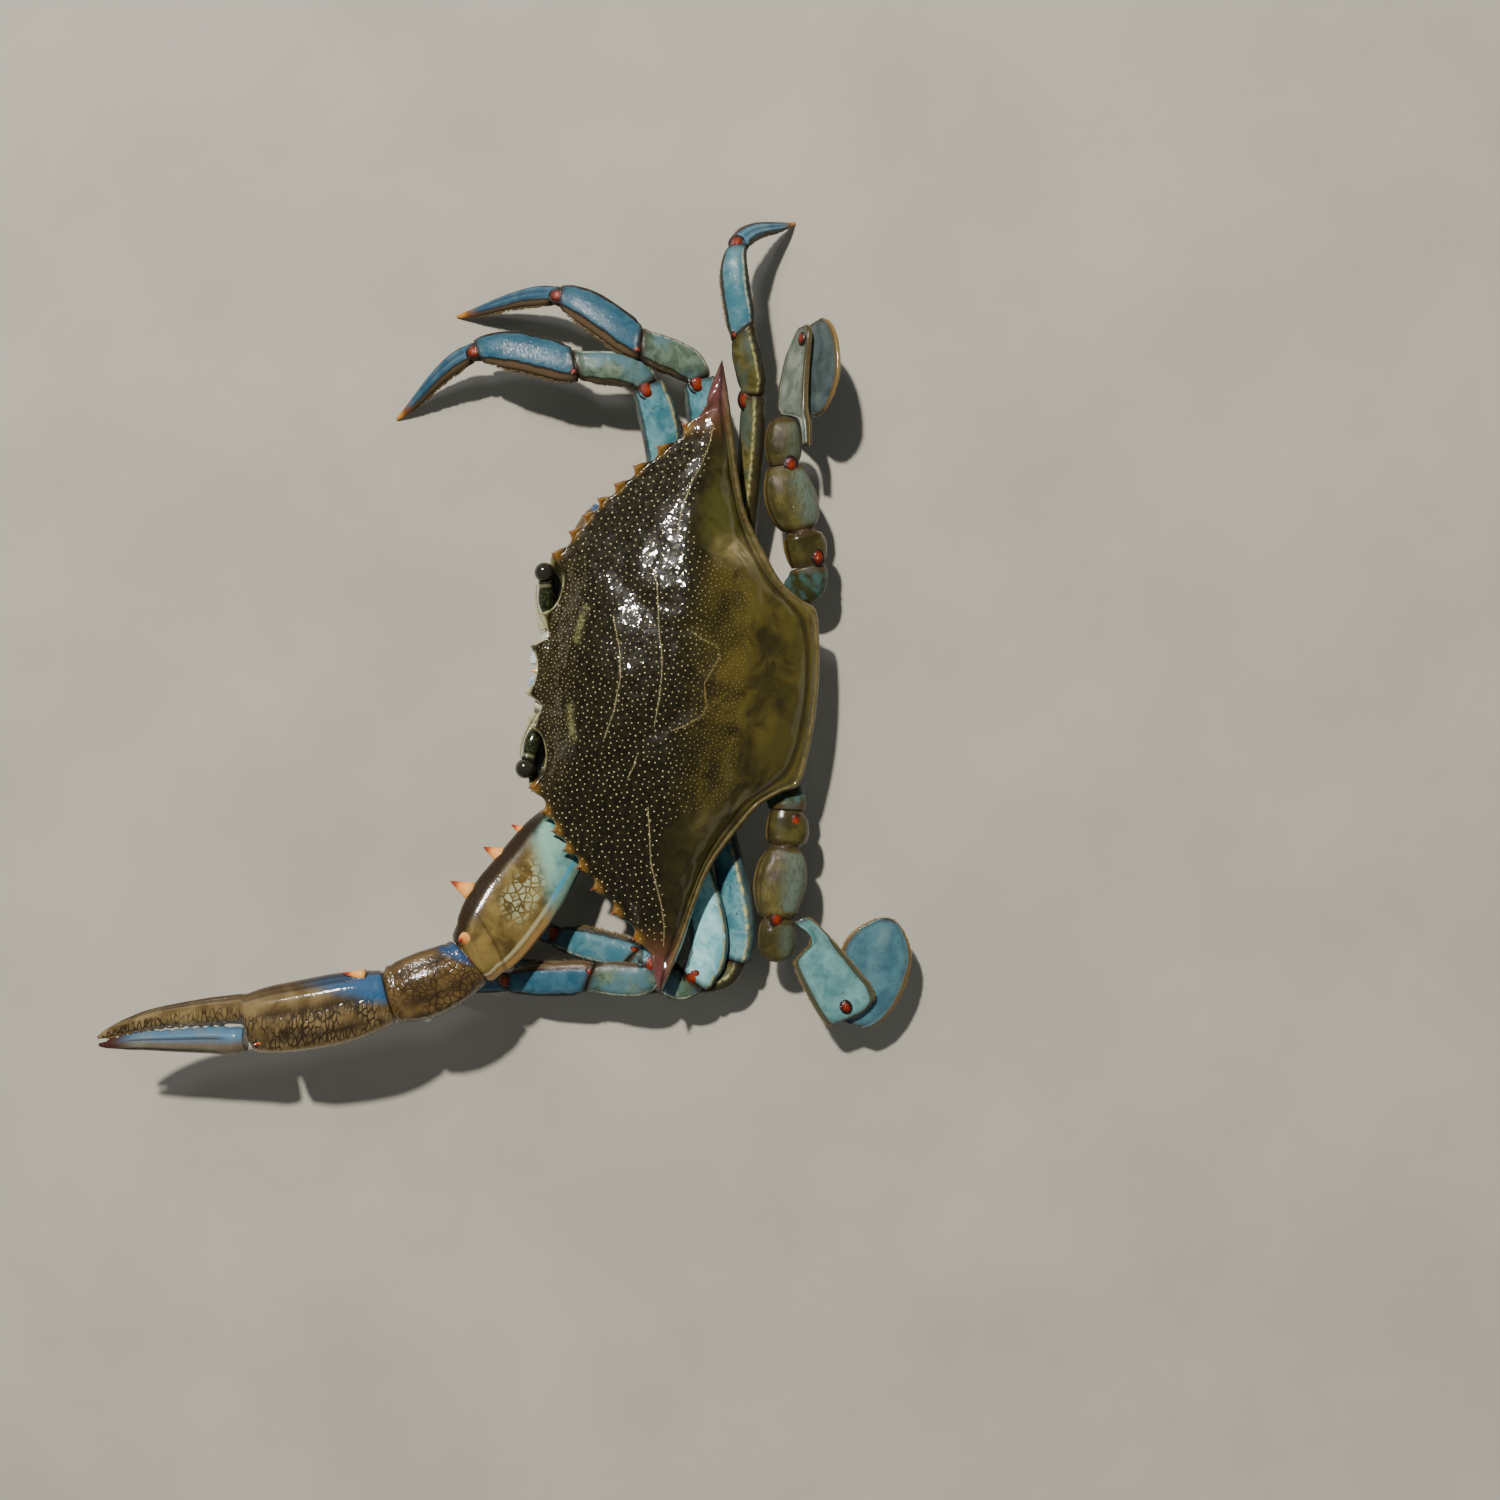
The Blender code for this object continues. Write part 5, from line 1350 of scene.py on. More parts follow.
# %% [markdown]
# ## Making the swimming legs
# A plate or blade is a row of flat sections, wider or narrower by a table. The blade lies in
# the plane just under its plate: `blade_point` gives the height there for any place in plan.

# %% Making the paddles

def flat_piece(centre, wide, deep, half, thick, s, rib=0.0, side=1):
    """A flat piece with a rounded edge and a raised rim, as rows and marks."""
    around = 44
    _, u, v = oval(around, 0.8, 0.55)
    edge_gap = (1 - np.abs(u))[None] * half[:, None]
    lip = bell(edge_gap - 0.55, 0.4)
    ditch = bell(edge_gap - 1.5, 0.5)
    middle = bell(u[None] * half[:, None], 0.7) * smooth_step(s, 0.02, 0.1)[:, None]
    middle = middle * (1 - smooth_step(s, 0.82, 0.97))[:, None]
    height = (v[None] * thick[:, None] / 2 * (0.82 + 0.25 * lip - 0.2 * ditch)
              + np.sign(v)[None] * rib * middle)
    points = (centre[:, None] + wide * (u[None] * half[:, None])[..., None]
              + deep * height[..., None])
    marks = {"along": np.repeat(s, around), "side": np.tile(u * side, len(s)),
             "up": np.tile(v, len(s)), "ridge": (middle * (rib > 0)).ravel(),
             "groove": ditch.ravel() * 0.5,
             "rim": np.repeat(bell(np.minimum(s - s[0], s[-1] - s), 0.03), around)}
    return points, marks


def blade_point(flat, hinge, normal):
    """The point at a plan position that lies in the plane under the paddle's plate."""
    under = hinge - normal * UNDER_PLATE
    lift = -(normal[0] * (flat[0] - under[0]) + normal[1] * (flat[1] - under[1])) / normal[2]
    return np.array([*flat, under[2] + lift])


flat_made = {}
for leg, joints in PADDLE_LEGS.items():
    side = 1 if leg[0] == "R" else -1
    hip, knee, end, root, far = (np.array(p, float) for p in joints[:5])
    points, rolls = np.array([hip, knee, end]), PADDLE_ROLL[leg]
    faces = joint_faces(points, (0.4,))
    for part, (node, number, table) in PADDLE_TUBES.items():
        table = [(*row[:3], -side * row[3]) if len(row) > 3 else row for row in table]
        made = limb(points[number] + faces[number] * GAP / 2,
                    points[number + 1] - faces[number + 1] * GAP / 2,
                    faces[number], faces[number + 1], table, rolls[number], side, rows=44,
                    around=40, first=table[0][0], last=table[-1][0],
                    ridges=[(60, 16, 0.25, 0.2, 0.9), (128, 16, 0.3, 0.15, 0.95),
                            (40, 7, -0.22, 0.45, 0.95), (20, 8, -0.15, 0.05, 0.3)],
                    bands=[(table[-1][0] - 0.04, 0.03, 0.0 if part == "carpus" else 0.3)])
        leg_made[leg, part] = made
        limb_piece(f"{part}_fine_{leg}", made, paddle_skins[part],
                   [f"{node}_{leg}"])
    skins.append(joint_skin(leg_made[leg, "ischium"], leg_made[leg, "merus"], 1.1))
    skins.append(joint_skin(leg_made[leg, "merus"], leg_made[leg, "carpus"]))
    for place, size in ((hip + [-side * 2.5, 3.2, 3.4], 1.35),
                        (knee + [0, 0.7 + side * 0.9, 3.2], 1.4)):
        knobs.append(knob(place, (0, 0.3, 1), faces[1], size))
    span = unit(far - root)
    wide, deep = section_ways(span, rolls[2])
    s = np.linspace(PADDLE_PLATE[leg][0][0], 1.06, 64)
    rear, front, thick = smooth_table(PADDLE_PLATE[leg], s).T
    centre = root + (far - root) * s[:, None] + wide * (-side * (rear - front) / 2)[:, None]
    made = flat_piece(centre, wide, deep, (rear + front) / 2, thick, s, side=side)
    flat_made[leg, "plate"] = made
    limb_piece(f"plate_fine_{leg}", made, paddle_skins[f"plate_{leg}"],
               [f"propodus_{leg}"])
    hinge = blade_point(HINGES[leg], far, deep) + deep * (UNDER_PLATE + RIM_ROOM)
    knobs.append(knob(hinge, deep, span, 1.15))
    start, tip = (blade_point(p, far, deep) for p in joints[5:])
    along = unit(tip - start)
    across = unit(np.cross(along, deep))
    s = (1 - np.cos(np.linspace(0, math.pi, 54))) / 2
    half, thick = smooth_table(PADDLE_BLADE, s).T * [[0.965], [1]]
    made = flat_piece(start + (tip - start) * s[:, None], across, deep, half, thick, s,
                      rib=0.22, side=side)
    flat_made[leg, "blade"] = made
    limb_piece(f"blade_fine_{leg}", made, paddle_skins[f"blade_{leg}"],
               [f"dactyl_{leg}"])
print("swimming legs done, knobs", len(knobs), "joint skins", len(skins))

# %% [markdown]
# ## Claw arms
# The left arm reaches forward over the floor and the right one, which is smaller, is tucked
# under the front of the shell. An arm has the same kinds of pieces as a leg, but broad, and
# with thorns: three on the front edge of its long piece. The hand and its fixed finger are
# one piece, ribbed lengthwise, and the movable finger closes against it with blunt teeth.

# %% Claw arms
ARMS = {
    "L1": [(25.5, -17.5, 8.4), (33, -23, 11.4), (75.5, -49, 26.5), (75.5, -49, 26.5),
           (86, -68, 29), (104.55, -140.42, 29)],
    "R1": [(-20.5, -17.6, 6.9), (-25, -20, 7.1), (-41.4, -20.2, 7.5), (-44.6, -27.3, 8.4),
           (-33.4, -32.4, 8.2), (17.2, -41.2, 6.2)],
}
ARM_ROLL = {"L1": (-12, 0, 0), "R1": (62, 78, -84)}
ARM_SCALE = {"L1": 1.0, "R1": 0.7}
ARM_MERUS = [(0, 10.4, 8.4), (0.1, 12.2, 9.2), (0.4, 17.4, 11.0), (0.75, 18.6, 11.4),
             (0.95, 16, 10.6), (1, 13.6, 9.4)]
REACHING_MERUS = [(0, 10.4, 8.4, 0), (0.1, 13.6, 9.2, -0.8), (0.3, 18.8, 10.6, -1.5),
                  (0.5, 21.0, 11.2, -1.5), (0.65, 22.0, 11.4, -1.6), (0.8, 21.0, 11.4, -1.2),
                  (0.93, 17.6, 10.8, -0.5), (1, 13.6, 9.4, 0)]
MERUS_THORNS = {"L1": [(0.33, 10.9, 4.2, 3.4), (0.50, 12.0, 5.2, 4.6), (0.73, 12.4, 6.0, 5.0)],
                "R1": [(0.30, 7.6, 5.6, 4.2), (0.50, 8.5, 5.6, 4.2), (0.72, 8.8, 5.6, 4.2)]}
ARM_CARPUS = [(0, 13.2, 9.6), (0.2, 15.6, 11.4), (0.55, 17.2, 12.4), (0.88, 15.6, 11.2),
              (1, 12.6, 9.2)]
PALM = [(0, 12.8, 9.2), (0.05, 15.6, 11.4), (0.2, 18.2, 13.0), (0.36, 17.6, 12.6),
        (0.47, 15, 11.2)]
FIXED_FINGER = [(0.5, 0.52, 0.24), (0.62, 0.44, 0.27), (0.75, 0.36, 0.26), (0.88, 0.27, 0.2),
                (0.97, 0.15, 0.1), (1, 0.06, 0.06)]
MOVABLE_FINGER = [(0.502, 0.40, -0.27), (0.53, 0.47, -0.27), (0.62, 0.42, -0.22),
                  (0.75, 0.34, -0.16), (0.88, 0.25, -0.1), (0.97, 0.13, -0.09),
                  (1, 0.06, -0.07)]
ARM_RIDGES = {
    "merus": [(8, 9, 0.35, 0.1, 0.97), (150, 7, 0.45, 0.05, 0.97), (166, 7, -0.3, 0.1, 0.95),
              (30, 9, -0.25, 0.2, 0.95)],
    "carpus": [(24, 9, 0.5, 0.1, 0.95), (80, 9, 0.4, 0.15, 0.95), (140, 10, 0.5, 0.1, 0.95),
               (52, 9, -0.3, 0.15, 0.9), (110, 9, -0.3, 0.15, 0.9)],
    "palm": [(20, 8, 0.4, 0.03, 0.9), (58, 9, 0.5, 0.03, 0.8), (100, 9, 0.45, 0.03, 0.46),
             (145, 8, 0.35, 0.03, 0.46), (38, 7, -0.25, 0.05, 0.95), (79, 8, -0.25, 0.05, 0.46),
             (122, 8, -0.25, 0.05, 0.46), (-50, 12, 0.3, 0.05, 0.9)],
    "finger": [(160, 10, 0.3, 0.52, 0.95), (120, 10, 0.25, 0.52, 0.95),
               (140, 7, -0.3, 0.53, 0.95), (75, 8, -0.25, 0.53, 0.93)],
}
ARM_BANDS = {"merus": [(0.02, 0.02, 0.4), (0.98, 0.018, 0.45), (0.925, 0.014, -0.35)],
             "carpus": [(0.04, 0.04, 0.35), (0.95, 0.03, 0.5), (0.88, 0.025, -0.3)],
             "palm": [(0.012, 0.012, 0.3)]}
CLAW_TEETH = {"palm": [(180, 22, 0.55, 0.56, 0.97, 12)], "finger": [(0, 22, 0.5, 0.56, 0.97, 11)]}
ARM_MESH = {"merus": (52, 48), "carpus": (40, 48), "palm": (96, 52), "finger": (64, 36)}
print("arm tables for", ", ".join(ARM_MESH))

# %% [markdown]
# ## Finishes of the claw arms
# The long piece is olive with a pale net in its middle and blue near the body. The short
# piece and the hand carry a dark net over brown, which thins out to blue at one corner. A
# net is the edge lines of Voronoi cells, broken by a broad noise so that it isn't even.

# %% Arm finishes
def arm_merus_finish():
    f = Finish("arm_merus", 0.34, coat=0.7, coat_roughness=0.09)
    fine, cloud = f.noise(0.8, 4, 0.6), f.noise(6, 4, 0.55, 0.5)
    side, along = f.mark("side"), f.mark("along")
    olive = f.mix(f.step(cloud, 0.35, 0.68), (0.070, 0.046, 0.012), (0.180, 0.125, 0.036))
    net = f.times(f.step(f.cells(1.9, "DISTANCE_TO_EDGE"), 0.05, 0.16),
                  f.step(f.noise(2.4, 3), 0.36, 0.56))
    middle = f.times(f.step(side, -0.50, -0.20), f.step(side, 0.52, 0.22))
    middle = f.times(middle, f.times(f.step(along, 0.36, 0.50), f.step(along, 0.78, 0.64)))
    spots = f.times(net, middle)
    f.colour = f.mix(f.times(spots, 0.8), olive, (0.36, 0.38, 0.22))
    blue = f.mix(f.step(cloud, 0.38, 0.62), (0.085, 0.215, 0.20), (0.20, 0.38, 0.30))
    near = f.step(f.plus(along, f.times(side, 0.17)), 0.52, 0.36)
    f.lay(blue, near)
    rear = f.step(side, -0.66, -0.84)
    f.lay(f.mix(near, (0.38, 0.215, 0.065), (0.13, 0.20, 0.15)), rear, 0.85)
    line = f.times(f.step(side, -0.56, -0.61), f.step(side, -0.72, -0.66))
    f.lay(f.mix(near, (0.42, 0.36, 0.20), (0.05, 0.30, 0.46)), line, 0.8)
    crease = f.calc("ABSOLUTE", f.minus(f.plus(along, f.times(side, 0.06)), 0.86))
    f.lay((0.018, 0.010, 0.004), f.step(crease, 0.012, 0.004), 0.4)
    front = f.step(f.plus(side, f.times(f.noise(3, 3), 0.2)), 0.68, 0.92)
    f.lay((0.016, 0.009, 0.004), front, 0.95)
    f.lay((0.02, 0.012, 0.006), f.mark("groove"), 0.8)
    under = f.step(f.mark("up"), -0.2, -0.7)
    f.lay((0.44, 0.47, 0.40), under, 0.8)
    f.raise_by(f.plus(f.times(fine, 0.7), f.times(spots, 0.5)), 0.12, 0.5)
    return f.done(roughness=f.step(fine, -0.4, 1.8))


def arm_net_finish(name, low, high, net_colour, net_share, size_mm, stretch=(1, 1, 1), blue=None,
                   lower=None, where=0.9):
    f = Finish(name, 0.33, coat=1.0, coat_roughness=0.07)
    fine, cloud = f.noise(0.8, 4, 0.6), f.noise(7, 4, 0.55, 0.5)
    f.colour = f.mix(f.step(cloud, 0.35, 0.68), low, high)
    side = f.mark("side")
    net = f.step(f.cells(size_mm, "DISTANCE_TO_EDGE", 1.0, stretch), 0.16, 0.05)
    patchy = f.times(net, f.step(f.noise(5, 3), 0.30, 0.52))
    part = f.times(patchy, f.times(f.step(side, where, where - 0.35), net_share))
    f.lay(net_colour, part)
    if blue:
        reach = f.plus(f.mark("along"), f.times(side, -0.24))
        f.lay(blue, f.step(reach, 0.10, -0.02), 0.9)
    if lower:
        f.lay(lower, f.step(side, -0.74, -0.90), 0.85)
    f.lay((0.028, 0.016, 0.008), f.step(side, 0.80, 0.94), 0.85)
    f.lay((0.02, 0.012, 0.006), f.mark("groove"), 0.7)
    under = f.step(f.mark("up"), -0.25, -0.75)
    f.lay((0.44, 0.46, 0.40), under, 0.75)
    f.raise_by(f.minus(f.times(fine, 0.7), part), 0.16, 0.6)
    return f.done(roughness=f.step(fine, -0.4, 1.8))


def finger_finish():
    f = Finish("finger", 0.32, coat=0.75, coat_roughness=0.08)
    fine, cloud = f.noise(0.8, 4, 0.6), f.noise(6, 4)
    f.colour = f.mix(f.step(f.mark("side"), -0.35, 0.45), (0.095, 0.075, 0.045),
                     (0.055, 0.135, 0.22))
    f.lay((0.16, 0.16, 0.13), f.step(cloud, 0.4, 0.65), 0.4)
    f.lay((0.018, 0.012, 0.007), f.mark("groove"), 0.85)
    f.lay((0.42, 0.42, 0.36), f.step(f.mark("up"), -0.2, -0.7), 0.7)
    f.lay((0.040, 0.014, 0.010), f.step(f.mark("along"), 0.84, 0.96))
    f.raise_by(fine, 0.08, 0.5)
    return f.done(roughness=f.step(fine, -0.4, 1.8))


arm_skins = {
    "merus": arm_merus_finish(),
    "carpus": arm_net_finish("arm_carpus", (0.058, 0.034, 0.010), (0.120, 0.074, 0.024),
                             (0.014, 0.008, 0.003), 0.7, 1.6, blue=(0.012, 0.050, 0.13)),
    "palm": arm_net_finish("palm", (0.078, 0.051, 0.017), (0.170, 0.120, 0.050),
                           (0.022, 0.013, 0.005), 0.95, 1.5, (0.5, 1.35, 0.8),
                           blue=(0.016, 0.078, 0.175), lower=(0.20, 0.115, 0.025), where=0.42),
    "finger": finger_finish(),
}

# %% [markdown]
# ## Making the claw arms
# The same few lines make each arm, piece by piece from the body outwards. The tables above
# hold for the left arm, and every width and ridge is scaled down for the smaller right one.
# A hand and its two fingers share one curve, so that the fingers close along each other.

# %% Making the arms
horns = []


def resized(table, scale):
    return [(s, width * scale, depth * scale) for s, width, depth in table]


def finger_table(stations, width, side):
    """Stations of a finger, whose sizes are given as shares of the palm's width."""
    return [(s, width * share, width * share * 0.95, side * width * shift)
            for s, share, shift in stations]


def arm_relief(part, scale):
    """Mesh counts, ridges, bands and teeth of one piece, with all their heights scaled."""
    ridges, bands, teeth = ([(*row[:2], row[2] * scale, *row[3:]) for row in table.get(part, ())]
                            for table in (ARM_RIDGES, ARM_BANDS, CLAW_TEETH))
    rows, around = ARM_MESH[part]
    return dict(rows=rows, around=around, ridges=ridges, bands=bands, bumps=teeth)


def arm_thorns(start, end, roll, scale, places=(), width=0, side=0):
    """Thorns of the arm's long piece or, for a hand, beside the wrist and the knuckle."""
    span = end - start
    along = unit(span)
    wide, deep = section_ways(along, roll)
    if not places:
        for share, across, lift in ((0.07, -0.44, 0.2), (0.40, 0.36, 0.28)):
            root = start + span * share - wide * side * across * width + deep * lift * width
            tip = root + (along * 4.6 + deep * 1.6 - wide * side * across * 3.0) * scale
            horns.append(thorn(root - (tip - root) * 0.15, tip, 3.2 * scale, bend=0.1))
        return
    front = wide if wide[1] < 0 else -wide
    for share, reach, length, broad in places:
        root = start + span * share + front * (reach - 1.8) * scale
        tip = root + (front + along * 0.22) * length * scale
        horns.append(thorn(root, tip, broad * 1.05 * scale, around=18))
    root = start + span * 0.9 - front * 6.2 * scale
    horns.append(thorn(root, root + (along * 6.4 - front * 1.6) * scale, 3.6 * scale))


for arm, joints in ARMS.items():
    side, scale, rolls = 1 if arm == "R1" else -1, ARM_SCALE[arm], ARM_ROLL[arm]
    hip, shoulder, elbow, carpus_start, wrist, tip = (np.array(p, float) for p in joints)
    upper, middle, hand = unit(elbow - shoulder), unit(wrist - carpus_start), unit(tip - wrist)
    shoulder_face = turned(unit(shoulder - hip), upper, 0.5)
    elbow_face, carpus_face = upper, middle
    if arm == "L1":
        elbow_face = carpus_face = turned(upper, middle, 0.4)
    wrist_face = turned(middle, hand, 0.5)
    start, width = wrist + wrist_face * GAP / 2, PALM[-1][1] * scale
    long_table = REACHING_MERUS if arm == "L1" else resized(ARM_MERUS, scale)
    palm_table = resized(PALM, scale) + finger_table(FIXED_FINGER, width, side)
    chain = {
        "merus": (shoulder + shoulder_face * GAP / 2, elbow - elbow_face * GAP / 2,
                  shoulder_face, elbow_face, long_table, rolls[0]),
        "carpus": (carpus_start + carpus_face * GAP / 2, wrist - wrist_face * GAP / 2,
                   carpus_face, wrist_face, resized(ARM_CARPUS, scale), rolls[1]),
        "palm": (start, tip, wrist_face, hand, palm_table, rolls[2]),
        "finger": (start, tip, wrist_face, hand, finger_table(MOVABLE_FINGER, width, side),
                   rolls[2]),
    }
    for part, spec in chain.items():
        made = limb(*spec, side, first=spec[4][0][0], **arm_relief(part, scale))
        leg_made[arm, part] = made
        limb_piece(f"{part}_fine_{arm}", made, arm_skins[part], [f"{part}_{arm}"])
    arm_thorns(shoulder, elbow, rolls[0], scale, MERUS_THORNS[arm])
    arm_thorns(start, tip, rolls[2], scale, (), width, side)
    skins.append(joint_skin(leg_made[arm, "merus"], leg_made[arm, "carpus"], 0.86))
    skins.append(joint_skin(leg_made[arm, "carpus"], leg_made[arm, "palm"], 0.84))
    knobs.append(knob(elbow + leg_made[arm, "carpus"][2]["deep"][0] * 4.0 * scale - upper * 1.2,
                      UP + upper * 0.2, upper, 1.9 * scale))
LAST_THORN = (0.94, 180 - 52)  # how far along the long piece it stands, and its angle
points, grid = leg_made["L1", "merus"][0][1:-1], leg_made["L1", "merus"][2]
row = int(LAST_THORN[0] * len(points))
root = points[row, round(LAST_THORN[1] / 360 * points.shape[1])]
way = unit(grid["deep"][row] * 0.8 - grid["wide"][row] * 0.35 + grid["along"][row] * 0.45)
horns.append(thorn(root - way * 1.2, root + way * 3.0, 4.2, around=18))
print("arms done, thorns", len(horns))

# %% [markdown]
# ## Thorns, knobs and joint skins
# The thorns are orange with dark red tips, as in the photograph. Every joint turns on a
# red knob that sits in a dark rim, and soft brown skin closes the joint.

# %% Thorns, knobs and skins
f = Finish("thorn", 0.28, coat=0.8, coat_roughness=0.08)
f.colour = f.ramp(f.mark("along"), (0.0, (0.16, 0.085, 0.025)), (0.22, (0.78, 0.38, 0.09)),
                  (0.55, (0.78, 0.28, 0.055)), (0.76, (0.34, 0.045, 0.014)),
                  (1.0, (0.12, 0.012, 0.008)))
joined("arm_thorns", horns, f.done(), ["merus_L1", "merus_R1", "palm_L1", "palm_R1"])

f = Finish("joint_knob", 0.34, coat=0.6, coat_roughness=0.08)
worn = f.noise(0.9, 4, 0.65)
f.raise_by(worn, 0.35, 0.9)
place = f.minus(f.mark("along"), f.times(f.step(worn, 0.42, 0.72), 0.22))
f.colour = f.ramp(place, (0.0, (0.012, 0.007, 0.004)), (0.36, (0.014, 0.007, 0.004)),
                  (0.48, (0.040, 0.005, 0.003)), (0.66, (0.105, 0.010, 0.003)),
                  (0.85, (0.17, 0.018, 0.004)), (1.0, (0.24, 0.036, 0.007)))
joined("joint_knobs", knobs, f.done())

f = Finish("joint_skin", 0.45, coat=0.5, coat_roughness=0.15)
fold = f.noise(0.9, 4, 0.6, 1.0)
f.raise_by(fold, 0.25, 0.7)
f.colour = f.mix(f.step(fold, 0.35, 0.65), (0.016, 0.010, 0.005), (0.075, 0.048, 0.022))
joined("joint_skins", skins, f.done())
print("thorns", len(horns), "knobs", len(knobs), "joint skins", len(skins))

# %% [markdown]
# ## Eyes
# A crab's eye is a small hard ball on a stout stalk that lies in a socket of the shell. The
# ball is ringed by the stalk's collar, and its surface is a field of tiny facets, which
# show as a fine grain in its gloss. Both are turned forms, made from a profile.

# %% Eyes and stalks
EYE, EYE_RADIUS = (25.4, -40.3, 21.4), 2.6
STALK_ROOT = (14.6, -38.5, 19.4)


def turned_form(origin, axis, profile, around=32):
    """Rows of a form of revolution; the profile is (distance along the axis, radius)."""
    axis = unit(axis)
    side = unit(np.cross(axis, UP))
    front = np.cross(side, axis)
    angle = np.arange(around) * 2 * math.pi / around
    ring = side * np.cos(angle)[:, None] + front * np.sin(angle)[:, None]
    rows = np.array([np.asarray(origin) + axis * h + ring * r for h, r in profile])
    return rows, {"along": np.repeat(np.linspace(0, 1, len(profile)), around)}


def eye_finish():
    f = Finish("eye", 0.16, coat=1.0, coat_roughness=0.03)
    f.raise_by(f.cells(0.13, "F1", 0.3), 0.02, 0.2)
    return f.done(f.ramp(f.mark("along"), (0.0, (0.02, 0.02, 0.012)),
                         (0.35, (0.020, 0.019, 0.011)), (0.7, (0.014, 0.015, 0.010)),
                         (1.0, (0.010, 0.012, 0.010))))


def stalk_finish():
    f = Finish("eyestalk", 0.3, coat=0.8, coat_roughness=0.06)
    grain, along = f.noise(0.8, 4), f.mark("along")
    f.raise_by(grain, 0.08, 0.5)
    green = f.mix(f.step(grain, 0.42, 0.68), (0.006, 0.007, 0.003), (0.034, 0.040, 0.012))
    grey = f.mix(f.step(grain, 0.35, 0.7), (0.009, 0.009, 0.007), (0.034, 0.034, 0.026))
    f.colour = f.mix(f.step(along, 0.44, 0.50), green, grey)
    ring = f.times(f.step(along, 0.38, 0.42), f.step(along, 0.50, 0.46))
    f.lay((0.17, 0.165, 0.085), ring, 0.6)
    return f.done()


SIDES = (("L", 1), ("R", -1))
eye_skin, stalk_skin = eye_finish(), stalk_finish()
for name, sign in SIDES:
    centre, root = np.array(EYE) * [sign, 1, 1], np.array(STALK_ROOT) * [sign, 1, 1]
    axis = unit(centre - root)
    turn = np.linspace(0.02, math.pi - 0.02, 26)
    ball = [(-EYE_RADIUS * math.cos(t), EYE_RADIUS * math.sin(t)) for t in turn]
    rows, marks = turned_form(centre, axis, ball, 40)
    joined(f"eye_ball_{name}", [(rows, marks)], eye_skin, [f"eye_{name}"])
    cup, reach = EYE_RADIUS + GAP * 1.5, np.linalg.norm(centre - root)
    length = reach - cup
    profile = [(0, 0.7), (0.1, 1.25), (0.25 * length, 1.95), (0.45 * length, 2.25),
               (0.65 * length, 2.15), (0.85 * length, 1.84), (0.97 * length, 1.7),
               (reach - 2.75, 1.8), (reach - 2.52, 1.92), (reach - 2.36, 1.92),
               (reach - 2.28, 1.86)]
    profile += [(reach - cup * math.cos(t), cup * math.sin(t)) for t in (0.58, 0.4, 0.22, 0.05)]
    rows, marks = turned_form(root, axis, profile, 32)
    joined(f"eye_stalk_{name}", [(rows, marks)], stalk_skin, [f"eyestalk_{name}"])
    print("eye", name, "at", centre, "stalk", round(length, 2), "mm")

# %% [markdown]
# ## Feelers
# The long feeler springs from a stout base beside the eye and lies along the front of the
# shell, in many short rings. The short feeler folds back beside the middle.

# %% Feelers
RINGS = 190.0
f = Finish("feeler", 0.35, coat=0.7, coat_roughness=0.08)
rings = f.calc("SINE", f.times(f.mark("along"), RINGS))
f.raise_by(rings, 0.04, 0.6)
feeler_skin = f.done(f.mix(f.step(rings, -0.8, 0.9), (0.14, 0.15, 0.07), (0.44, 0.44, 0.26)))
f = Finish("short_feeler", 0.35, coat=0.7, coat_roughness=0.08)
f.raise_by(f.noise(0.5, 3), 0.06, 0.5)
fold_skin = f.done(f.mix(f.step(f.noise(1.6, 3), 0.35, 0.65), (0.20, 0.28, 0.34),
                         (0.50, 0.56, 0.56)))
for name, sign in SIDES:
    made = limb((10.9 * sign, -39.45, 18.4), (22.4 * sign, -42.4, 18.0), (sign * 0.9, -0.5, 0),
                (sign, 0.1, 0), [(0, 2, 1.8), (0.16, 1.8, 1.6), (0.2, 1.1, 1.0), (0.5, 0.8, 0.8),
                                 (1, 0.5, 0.5)], 0, -sign, rows=60, around=14, power=2)
    limb_piece(f"feeler_long_{name}", made, feeler_skin, [f"antenna_{name}"])
    root, tip = np.array([6.4 * sign, -40.3, 18.4]), np.array([1.7 * sign, -41.0, 20.2])
    made = limb(root, tip, tip - root, tip - root,
                [(0, 1.2, 1.2), (0.3, 2.2, 2.0), (0.7, 2.3, 2.0), (1, 1.2, 1.0)], 0, -sign,
                rows=26, around=20, ridges=[(90, 14, -0.15, 0.1, 0.9)])
    limb_piece(f"feeler_short_{name}", made, fold_skin, [f"antennule_{name}"])

# %% [markdown]
# ## Mouth frame and eye sockets
# In front of the mouth the shell makes a box-like frame, and at each side a shallow trough
# carries the eye. Their sections are drawn as closed loops in side view and run from side
# to side. A small spine stands forward in the middle between the short feelers.

# %% Face of the shell
def closed_curve(points, count):
    """Points spread evenly along a smooth closed curve through the given ones."""
    points = np.array(points, float)
    return along_loop(points, np.arange(count) * len(points) / count)


f = under_finish("face", (0.44, 0.42, 0.30), (0.22, 0.30, 0.30), (0.14, 0.09, 0.03))
f.lay((0.50, 0.45, 0.27), f.mark("rim"), 0.75)
face_skin = f.done()
FRAME_MIDDLE = np.array([-30.0, 15.0])
MOUTH_FRAME = [(-38.6, 22.8), (-39.0, 20.6), (-39.1, 18.8), (-38.5, 17.7), (-37.4, 17.0),
               (-33.8, 13.7), (-30.0, 10.7), (-26.6, 7.9), (-24.6, 7.6), (-22.9, 8.0),
               (-22.8, 11.6), (-22.8, 15.4), (-21.5, 16.1), (-20.0, 16.6), (-20.0, 21.0),
               (-29, 22.4)]
FRAME_POINTS, SOCKET_POINTS = 72, 44
rows = []
stations = np.concatenate([[-10.6, -10.4], np.linspace(-9.9, 9.9, 41), [10.4, 10.6]])
